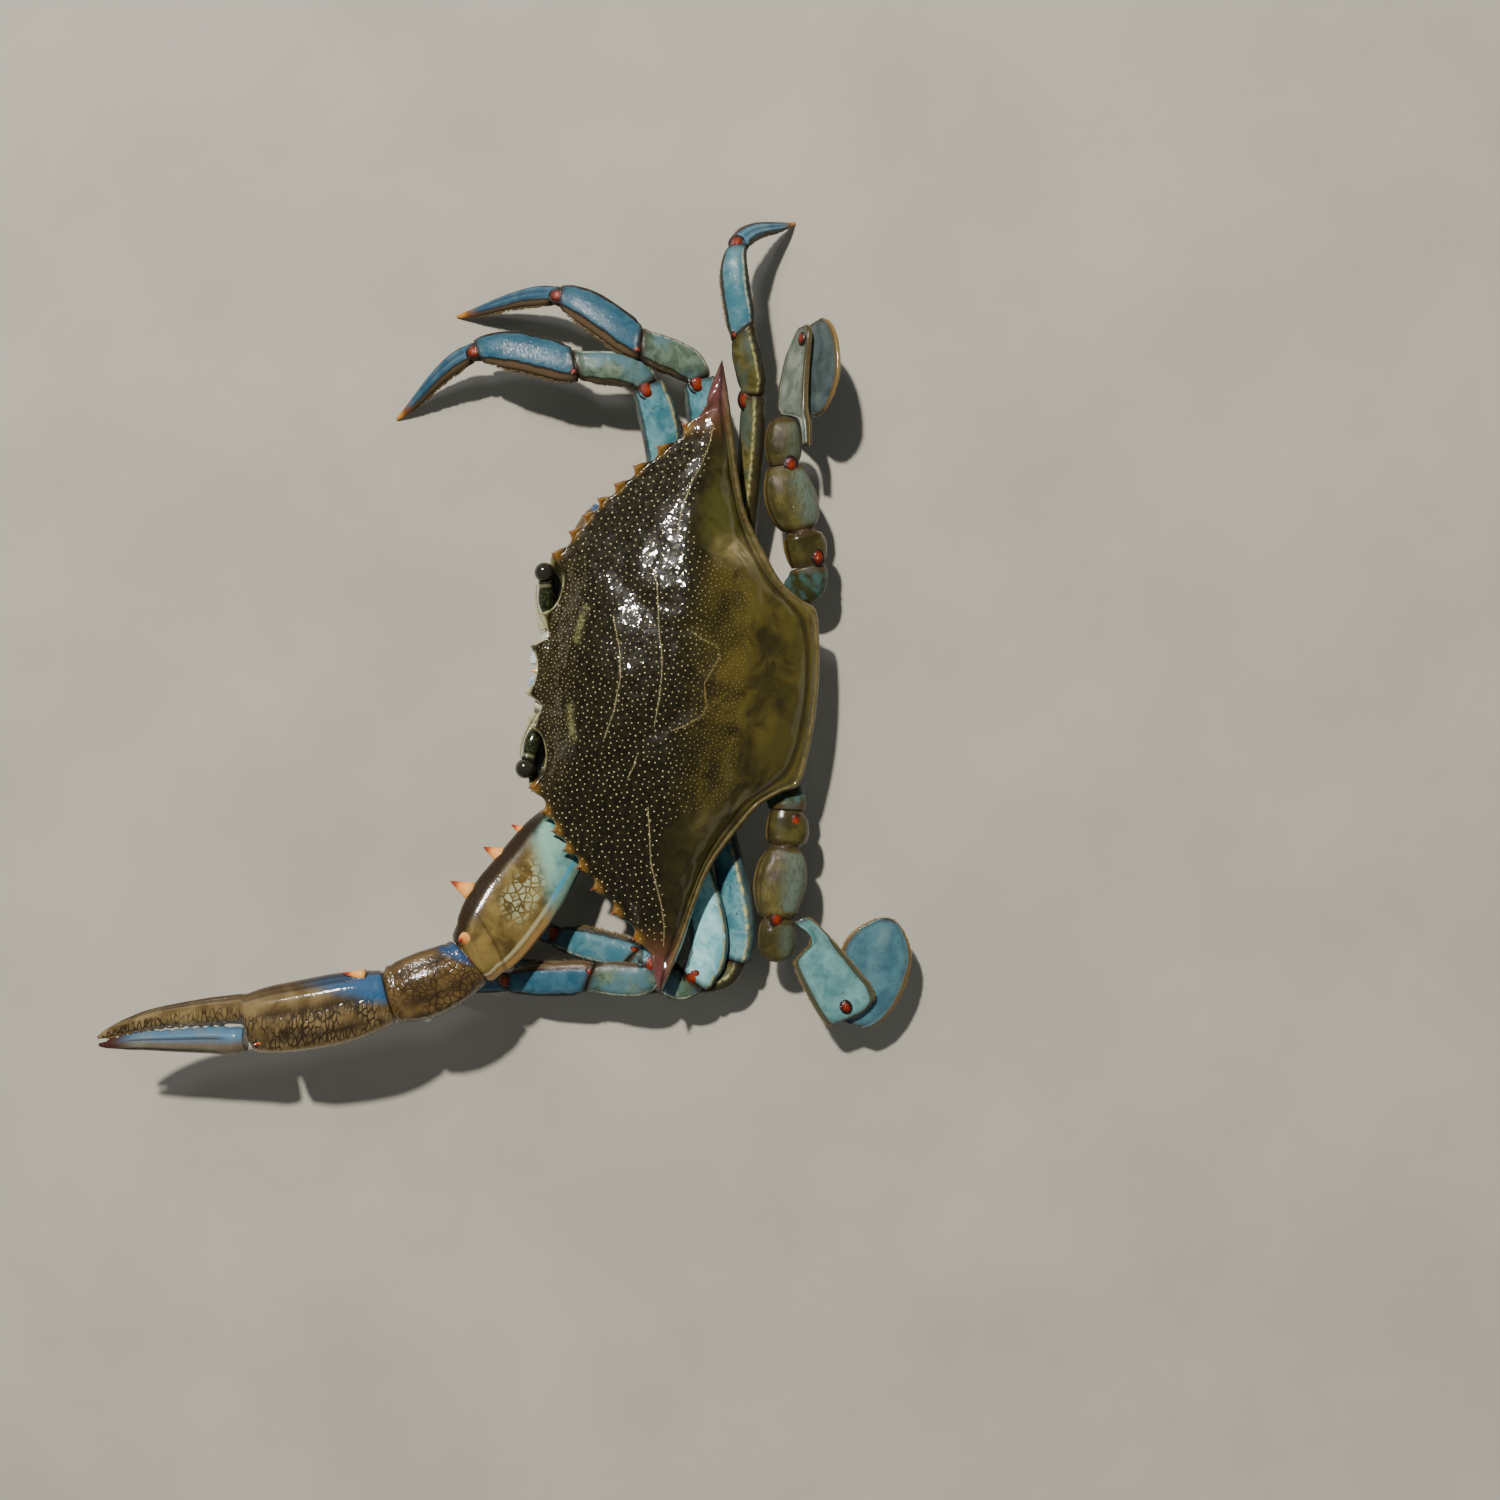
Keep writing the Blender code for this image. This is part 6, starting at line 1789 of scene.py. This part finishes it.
for x in stations:
    size = 1 - 0.14 * smooth_step(abs(x), 9.2, 10.6)
    loop = closed_curve(MOUTH_FRAME, FRAME_POINTS)
    loop = FRAME_MIDDLE + (loop - FRAME_MIDDLE) * size
    door = np.exp(-((loop[:, 0] + 32) / 4.2) ** 2 - ((loop[:, 1] - 12.4) / 4.5) ** 2)
    crease = 0.4 * bell(x, 0.5) * door
    lip = 0.35 * (np.exp(-((loop[:, 0] + 38.7) ** 2 + (loop[:, 1] - 17.9) ** 2) / 0.8)
                  + bell(abs(x) - 8.9, 0.7) * door)
    inner = unit(FRAME_MIDDLE - loop)
    loop = loop + inner * (crease - lip)[:, None]
    rows.append(np.column_stack([np.full(FRAME_POINTS, x), loop]))
rows = np.array(rows)
rim = np.exp(-((rows[..., 1] + 38.7) ** 2 + (rows[..., 2] - 17.9) ** 2) / 2.0)
joined("mouth_frame", [(rows, {"rim": rim.ravel()})], face_skin, ["carapace"])

SOCKET_FLOOR = [(8.3, -37.3, -25.0, 16.8, 1.8), (16.0, -39.6, -26.0, 16.6, 1.8),
                (24.0, -39.8, -27.0, 17.0, 1.8), (28.4, -39.0, -29.0, 18.8, 1.8),
                (31.2, -37.8, -31.0, 21.4, 1.6)]
troughs, hair_lines = [], []
for sign in (1, -1):
    x = np.linspace(8.3, 31.2, 40)
    front, rear, z, thick = smooth_table(SOCKET_FLOOR, x).T
    rows = []
    for xi, fr, re, level, deep in zip(x, front, rear, z, thick):
        loop = closed_curve([(fr, level - deep), (fr - 0.35, level - 0.4), (fr - 0.4, level + 0.6),
                             (fr + 0.2, level + 0.95), (fr + 1.0, level + 0.8), (fr + 2.2, level),
                             ((fr + re) / 2, level + 0.1), (re, level + 0.6), (re, level - deep),
                             ((fr + re) / 2, level - deep)], SOCKET_POINTS)
        scallop = 0.18 * math.sin(xi * 2.6)
        loop[:, 0] -= scallop * bell(loop[:, 0] - fr, 0.8)
        rows.append(np.column_stack([np.full(SOCKET_POINTS, xi * sign), loop]))
    rows = np.array(rows)
    rim = np.exp(-((rows[..., 1] - front[:, None]) / 0.9) ** 2
                 - ((rows[..., 2] - z[:, None] - 0.5) / 0.8) ** 2)
    troughs.append((rows, {"rim": rim.ravel()}))
    hair_lines.append((np.column_stack([x * sign, front - 0.2, z + 0.7]), (0, -0.75, 0.65),
                       (sign, 0, 0), 0.55))
f = Finish("socket", 0.34, coat=0.8, coat_roughness=0.06)
f.colour = f.mix(f.step(f.noise(1.8, 3), 0.35, 0.65), (0.010, 0.010, 0.005), (0.040, 0.040, 0.018))
f.raise_by(f.noise(0.7, 3), 0.12, 0.7)
f.lay((0.30, 0.28, 0.13), f.mark("rim"), 0.8)
joined("eye_sockets", troughs, f.done(), ["carapace"])
f = Finish("face_spine", 0.28, coat=0.8)
f.colour = f.ramp(f.mark("along"), (0.0, (0.20, 0.19, 0.06)), (0.6, (0.42, 0.34, 0.08)),
                  (1.0, (0.62, 0.22, 0.05)))
spines = [thorn((0, -37.6, 19.5), (0.2, -41.6, 20.4), 3.0, rows=16)]
spines += [thorn((sign * 14.6, -38.0, 17.6), (sign * 15.2, -41.4, 18.2), 1.8) for sign in (1, -1)]
joined("face_spine", spines, f.done(), ["carapace"])
print("mouth frame rows", len(stations), "face spines", len(spines))

# %% [markdown]
# ## Mouthparts
# Two flat doors close the mouth from below. Each has a broad inner plate in two joints, a
# slim outer one, and a short feeler folded over the upper end. The plates lie in the slope
# of the mouth frame.

# %% Mouthparts
f = under_finish("mouthpart", (0.40, 0.38, 0.27), (0.24, 0.33, 0.33), (0.16, 0.10, 0.04))
f.lay((0.08, 0.05, 0.02), f.mark("groove"), 0.8)
mouth_skin = f.done()
top, low = np.array([0, -37.2, 16.9]), np.array([0, -26.6, 7.9])
down = unit(low - top)
out = np.array([0, down[2], -down[1]])
DOOR = [(0, 1.4, 5.2), (0.06, 0.5, 6.8), (0.4, 0.2, 7.5), (0.46, 0.2, 6.8), (0.9, 0.2, 6.2),
        (1.04, 1.0, 5.0)]
PALP = [(0, 1.8, 1.0), (0.3, 2.1, 1.1), (0.36, 1.6, 0.9), (0.7, 1.7, 0.9), (1, 0.6, 0.5)]
for name, sign in SIDES:
    s = np.linspace(0, DOOR[-1][0], 60)
    inner, outer = smooth_table(DOOR, s).T
    _, u, v = oval(40, 0.75, 0.6)
    split = bell(u[None] - 0.42, 0.08) * (s > 0.05)[:, None]
    step = bell(s - 0.43, 0.018)[:, None] * (u[None] < 0.4)
    groove = np.clip(split + step, 0, 1)
    half = (outer - inner) / 2
    height = v[None] * 0.85 * (1 - 0.45 * groove * (v[None] > 0)) * (1 - 0.15 * u[None] ** 2)
    place = top + (low - top) * s[:, None] + out * (1 + GAP)
    rows = place[:, None] + out * height[..., None]
    rows[..., 0] += sign * ((inner + outer) / 2)[:, None] + sign * u[None] * half[:, None]
    joined(f"mouth_door_{name}", [(rows, {"groove": groove.ravel()})], mouth_skin,
           [f"maxilliped_{name}"])
    hair_lines.append((place + out * 0.6 + np.outer(inner, (sign, 0, 0)), out - [sign * 0.5, 0, 0],
                       down, 0.6))
    palp_a = top + (low - top) * 0.10 + out * 2.5 + [sign * 2.6, 0, 0]
    palp_b = top + (low - top) * 0.46 + out * 2.4 + [sign * 1.4, 0, 0]
    made = limb(palp_a, palp_b, palp_b - palp_a, down, PALP, 0, -sign, rows=26, around=18)
    limb_piece(f"mouth_palp_{name}", made, mouth_skin, [f"maxilliped_{name}"])

# %% [markdown]
# ## Breast plate
# Underneath, a broad pale plate carries all the limbs. It is grooved between its segments,
# one for each pair of limbs. The rows follow the same rounded oval as the shell's lower
# edge, and each limb's first joint grows out of it as a piece of its own.

# %% Breast plate
BREAST_ROWS = [(12.7, 0.6), (11.3, 1.3), (9.6, 2.4), (7.6, 4.3), (5.8, 6.6), (4.3, 8.6),
               (3.2, 10.6), (2.5, 12.6), (2.1, 14.6), (2.1, 19.0), (2.1, 22.4)]
SEGMENT_LINES = (-11.5, -3.6, 5.6, 15.0)
f = under_finish("breast", (0.58, 0.57, 0.50), (0.44, 0.54, 0.58), (0.34, 0.26, 0.14))
f.lay((0.16, 0.12, 0.06), f.mark("groove"), 0.7)
breast_skin = f.done()
count = 180
angle = 2 * math.pi * np.arange(count) / count
toward = np.column_stack([np.cos(angle) * 40, 1 + np.sin(angle) * 40])


def seam_inset(inset):
    way = unit(toward - SEAM_MIDDLE)
    return SEAM_MIDDLE + way * np.maximum(seam_reach(*way.T) - inset, 0.4)[:, None]


level_table = [(i, z, inset) for i, (z, inset) in enumerate(BREAST_ROWS)]
level, inset = smooth_table(level_table, np.linspace(0, len(BREAST_ROWS) - 1, 34)).T
rows, groove = [], []
for z, d in zip(level, inset):
    flat = seam_inset(d)
    cut = np.max([bell(flat[:, 1] - y + 0.10 * np.abs(flat[:, 0]), 0.55) for y in SEGMENT_LINES],
                 axis=0) * smooth_step(np.abs(flat[:, 0]), 4, 9) * smooth_step(12.0 - z, 0, 2)
    middle = bell(flat[:, 0], 0.6) * smooth_step(4.5 - z, 0, 1.5) * (flat[:, 1] < -6)
    cut = np.maximum(cut, middle)
    rows.append(np.column_stack([flat, np.full(count, z)]) + cut[:, None] * np.array([0, 0, 0.45]))
    groove.append(cut)
joined("breast_plate_fine", [(np.array(rows), {"groove": np.concatenate(groove)})], breast_skin,
       ["breast_plate"])

print("breast plate rows", len(rows))

# %% [markdown]
# ## First joints
# Each limb leaves the breast by a short thick joint, which is part of the breast plate here,
# because nothing turns. It is pale below and olive to teal where it shows from above.

# %% First joints
f = under_finish("first_joint", (0.42, 0.42, 0.34), (0.22, 0.34, 0.38), BROWN)
above = f.mix(f.step(f.noise(5, 3), 0.42, 0.6), (0.030, 0.030, 0.009), (0.040, 0.090, 0.080))
f.lay(above, f.step(f.mark("up"), -0.35, 0.15))
f.lay((0.06, 0.035, 0.015), f.mark("rim"), 0.8)
hip_skin = f.done()
FIRST_SCALE = {"L1": 1.0, "R1": 0.78}
for leg, joints in {**LEGS, **PADDLE_LEGS}.items():
    hip, knee = np.array(joints[0], float), np.array(joints[1], float)
    along = unit(knee - hip)
    if leg in PADDLE_LEGS:
        inner = np.array([hip[0] * 0.5, hip[1] * 0.6, 6.0])
        leave = (hip - inner) * [1, 1, 0]
        side = -1 if hip[0] > 0 else 1
        table = [(0, 5.4, 5.0, 0), (0.35, 7.4, 5.6, 0), (0.6, 9.0, 5.8, 0),
                 (0.82, 10.4, 6.4, -side * 0.9), (1, 8.8, 6.2, -side * 0.8)]
    else:
        inner = np.array([hip[0] * 0.62, hip[1] * 0.86 + 0.3, 7.4])
        leave = hip - inner
        table = [(0, 5.4, 5.0), (0.5, 7.8, 6.4), (0.8, 7.4, 6.2), (1, 6.4, 5.6)]
    made = limb(inner, hip - along * GAP / 2, leave, along, table, 0, rows=40, around=32,
                bands=[(0.62, 0.03, -0.5), (0.95, 0.04, 0.3), (0.5, 0.06, 0.25)])
    limb_piece(f"first_joint_{leg}", made, hip_skin, ["breast_plate"])
for arm, joints in ARMS.items():
    scale = FIRST_SCALE[arm]
    hip, shoulder, elbow = (np.array(p, float) for p in joints[:3])
    face_way = turned(unit(shoulder - hip), unit(elbow - shoulder), 0.5)
    inner = np.array([hip[0] * 0.62, hip[1] * 0.82, 7.6])
    made = limb(inner, shoulder - face_way * GAP / 2, hip - inner, face_way,
                resized([(0, 8.6, 7.4), (0.5, 10.6, 8.0), (1, 10.2, 8.0)], scale), 0, rows=40,
                around=36, bands=[(0.55, 0.03, -0.6), (0.96, 0.03, 0.4), (0.42, 0.06, 0.3)])
    limb_piece(f"first_joint_{arm}", made, hip_skin, ["breast_plate"])
print("first joints:", len(LEGS) + len(PADDLE_LEGS) + len(ARMS))

# %% [markdown]
# ## Tail flap
# A male's tail is folded forward under the body: broad at the rear, then narrow along the
# breast. Its segments overlap, which shows as steps across it.

# %% Tail flap
TAIL_FLAP = [(30.9, 16.0, 11.2), (30.4, 13.2, 13.2), (29.4, 10.2, 14.6), (27.4, 6.2, 15.2),
             (23.8, 2.6, 14.6), (18.0, 0.0, 12.6), (15.0, 0.0, 8.4), (11.0, 0.0, 6.8),
             (3.0, 0.0, 5.8), (-7.0, 0.0, 4.4), (-10.0, 0.0, 2.2)]
run = np.concatenate([[0], np.cumsum([math.hypot(b[0] - a[0], b[1] - a[1])
                                      for a, b in zip(TAIL_FLAP, TAIL_FLAP[1:])])])
s = np.linspace(0, run[-1], 110)
y, z, half = smooth_table([(r, *row) for r, row in zip(run, TAIL_FLAP)], s).T
way = unit(np.column_stack([np.gradient(y, s), np.gradient(z, s)]))
inward = np.column_stack([np.zeros(len(s)), way[:, 1], -way[:, 0]])
around = 56
_, u, v = oval(around, 0.5, 0.6)
STEPS = [4.2, 8.6, 13.4, 20.6, 31.0, 40.2]
HALF_THICK = 0.85
ledge = np.max([bell(s - at, 0.45) for at in STEPS], axis=0)
thick = HALF_THICK * (1 - 0.45 * ledge)
centre = np.column_stack([np.zeros(len(s)), y, z]) + inward * HALF_THICK
rows = centre[:, None] + inward[:, None] * (v[None] * thick[:, None])[..., None]
rows[..., 0] += u[None] * half[:, None]
rows[..., 2] = np.maximum(rows[..., 2], 0)
groove = np.repeat(ledge, around)
joined("tail_flap", [(rows, {"groove": groove})], breast_skin, ["abdomen"])
lie = np.column_stack([np.zeros(len(s)), way])
for sign in (1, -1):
    edge_line = centre + np.outer(half, (sign * 0.97, 0, 0))
    hair_lines.append((edge_line[8:], (sign, 0, 0), lie[8:], 0.7))
print("tail flap", round(run[-1], 1), "mm along its curve")

# %% [markdown]
# ## Hair fringes
# A crab's legs and paddles are edged with short stiff hair, and its mouth doors and tail flap
# have a fine fringe. Hair curves like combing aren't used, because they would be lost when the
# model is handed on as plain meshes. Hair curves like combing aren't used: every tuft is a thin
# mesh solid with three sides, which leaves the edge, then bends and lies along it. The tufts
# stand close enough to overlap.

# %% Hair tufts
TUFT_STEPS = np.array([0, 0.35, 0.7, 1.0])
TUFT_WIDTHS = np.array([1.0, 0.8, 0.5, 0.06])
TUFT_SIDES = 3
TUFT_POINTS = len(TUFT_STEPS) * TUFT_SIDES
TUFT_TURNS = np.arange(TUFT_SIDES) * 2 * math.pi / TUFT_SIDES
BOX_LOW, BOX_HIGH = np.array(solid_box[0]) / MM + 0.05, np.array(solid_box[1]) / MM - 0.05
random = np.random.default_rng(23)


def fringe(line, out, way, length, per_mm=7, width=0.28):
    """Points of all tufts along a line (tufts, 4, 3, 3) and each one's place on it."""
    steps = np.linalg.norm(np.diff(line, axis=0), axis=1)
    run = np.concatenate([[0], np.cumsum(steps)])
    count = int(run[-1] * per_mm)
    at = np.sort(random.uniform(0, run[-1], count))

    def there(values):
        values = np.broadcast_to(values, line.shape)
        return np.column_stack([np.interp(at, run, values[:, axis]) for axis in range(3)])

    root, grow, lie = there(line), unit(there(out)), unit(there(way))
    size = np.interp(at, run, np.broadcast_to(length, len(line))) * random.uniform(0.6, 1.05, count)
    t = TUFT_STEPS[:, None]
    shape = grow[:, None] * (t - 0.35 * t * t) + lie[:, None] * (0.2 * t + 0.55 * t * t)
    shape = shape + random.normal(0, 0.13, (count, 1, 3)) * t * t
    spine = (root - grow * 0.2)[:, None] + shape * size[:, None, None]
    ahead = unit(spine[:, -1] - spine[:, 0])
    first = unit(np.cross(ahead, unit(np.cross(grow, lie) + 1e-6)))
    second = np.cross(ahead, first)
    ring = (first[:, None, None] * np.cos(TUFT_TURNS)[:, None]
            + second[:, None, None] * np.sin(TUFT_TURNS)[:, None])
    points = spine[:, :, None] + ring * (TUFT_WIDTHS[:, None, None] * width / 2)
    return np.clip(points, BOX_LOW, BOX_HIGH), at / run[-1]


def hair_piece(name, fringes, low, high, nodes):
    """One joined mesh from fringes of (points, u, v): u and v are the places of the roots."""
    tufts = np.concatenate([points for points, _, _ in fringes])
    faces = []
    for number in range(len(tufts)):
        faces += hoops(len(TUFT_STEPS), TUFT_SIDES, number * TUFT_POINTS, True, True)
    tone = np.repeat(random.uniform(0, 1, len(tufts)), TUFT_POINTS)
    f = Finish(name, 0.42, coat=0.35, coat_roughness=0.2)
    shade = f.times(f.mark("along"), f.plus(0.5, f.times(f.mark("tone"), 0.5)))
    made = piece(name, tufts.reshape(-1, 3), faces, f.done(f.mix(shade, low, high)), nodes,
                 {"along": np.tile(np.repeat(TUFT_STEPS, TUFT_SIDES), len(tufts)), "tone": tone})
    roots = np.concatenate([np.column_stack([u, v]) for _, u, v in fringes])
    across = np.tile(np.cos(TUFT_TURNS)[None] * TUFT_WIDTHS[:, None], (len(tufts), 1, 1)).ravel()
    up = np.tile(np.repeat(TUFT_STEPS * 2 - 1, TUFT_SIDES), len(tufts))
    bake_map(made, np.repeat(roots, TUFT_POINTS, axis=0), np.column_stack([across, up]))
    print(name, "tufts", len(tufts), "triangles", sum(len(face) - 2 for face in faces))


def limb_fringe(made, side, turn, length, start, stop, per_mm=7):
    """A fringe along a limb piece, turn degrees over its inner edge (below it if negative)."""
    points, grid = made[0][1:-1], made[2]
    around = points.shape[1]
    angle = turn if side == 1 else 180 - turn
    column = round(angle / 360 * around - 0.5) % around
    rows = slice(int(start * len(points)), max(int(stop * len(points)), 2))
    line = points[rows, column]
    s = np.linspace(start, stop, len(line))
    size = (length * smooth_step(s, start - 0.05, start + 0.12)
            * (1 - 0.75 * smooth_step(s, 0.55, 1.0)))
    return (*fringe(line, line - grid["centre"][rows], grid["along"][rows], size, per_mm), start,
            stop)

# %% [markdown]
# ## Fringes of legs, paddles and face
# The hair is longest along the lower inner edge of the legs' middle pieces and very short at
# the feet and on the face. Each tuft's patch on the map lies where its root lies on the
# unrolled limb: the limb's own column, its piece's row, and the place along it.

# %% Fringes
LEG_HAIR = {"carpus": [(-14, 1.0, 0.3, 0.95), (-30, 1.0, 0.3, 0.95)],
            "propodus": [(-8, 1.3, 0.04, 0.96), (-20, 1.9, 0.04, 0.96), (-34, 1.9, 0.04, 0.96),
                         (186, 0.7, 0.06, 0.94)],
            "dactyl": [(-8, 1.0, 0.02, 0.80), (-22, 1.4, 0.02, 0.82), (-36, 1.2, 0.02, 0.80),
                       (188, 0.7, 0.03, 0.78), (208, 0.9, 0.03, 0.78)]}
fringes = []
for number, leg in enumerate(LEGS):
    side = 1 if leg[0] == "R" else -1
    for part_number, (part, lines) in enumerate(LEG_HAIR.items()):
        for turn, length, start, stop in lines:
            points, at, start, stop = limb_fringe(leg_made[leg, part], side, turn, length,
                                                  start, stop, 5.5)
            fringes.append((points,
                            (number + 0.1 + 0.8 * (start + at * (stop - start))) / len(LEGS),
                            np.full(len(at), (part_number + 0.1 + 0.8 * (turn % 360) / 360) / 3)))
hair_piece("hair_legs", fringes, (0.055, 0.035, 0.015), (0.20, 0.135, 0.055),
           [f"{part}_{leg}" for leg in LEGS for part in LEG_HAIR])

fringes = []
for number, ((leg, part), made) in enumerate(flat_made.items()):
    grid = made[0]
    count = grid.shape[1] // 2
    edges = [(grid[:, 0] + grid[:, -1]) / 2, ((grid[:, count - 1] + grid[:, count]) / 2)[::-1]]
    line = np.concatenate(edges)
    out = line - grid.mean((0, 1))
    points, at = fringe(line, out, np.gradient(line, axis=0), 0.85, 6, 0.24)
    lap = 2 * math.pi * at
    fringes.append((points, (number + 0.5 + 0.36 * np.cos(lap)) / 4, 0.5 + 0.4 * np.sin(lap)))
hair_piece("hair_paddles", fringes, (0.10, 0.065, 0.020), (0.30, 0.21, 0.075),
           [f"{part}_{leg}" for leg in PADDLE_LEGS for part in ("propodus", "dactyl")])

fringes = []
for number, (line, out, way, length) in enumerate(hair_lines):
    points, at = fringe(np.asarray(line), np.asarray(out), np.asarray(way), length, 6, 0.18)
    fringes.append((points, 0.06 + 0.88 * at, np.full(len(at), (number + 0.5) / len(hair_lines))))
hair_piece("hair_face", fringes, (0.12, 0.08, 0.03), (0.34, 0.25, 0.11),
           ["carapace", "maxilliped_L", "maxilliped_R", "abdomen"])

# %% [markdown]
# ## Floor
# A plain pale floor with a very slight mottle takes the shadows. It isn't part of the crab.

# %% Floor
f = Finish("floor", 0.75)
floor_data = bpy.data.meshes.new("floor")
floor_data.from_pydata([(-3, -3, 0), (3, -3, 0), (3, 3, 0), (-3, 3, 0)], [], [(0, 1, 2, 3)])
floor_data.materials.append(f.done(f.mix(f.step(f.noise(60, 4), 0.3, 0.7), (0.300, 0.280, 0.228),
                                         (0.340, 0.318, 0.262))))
floor = bpy.data.objects.new("floor", floor_data)
bpy.context.scene.collection.objects.link(floor)
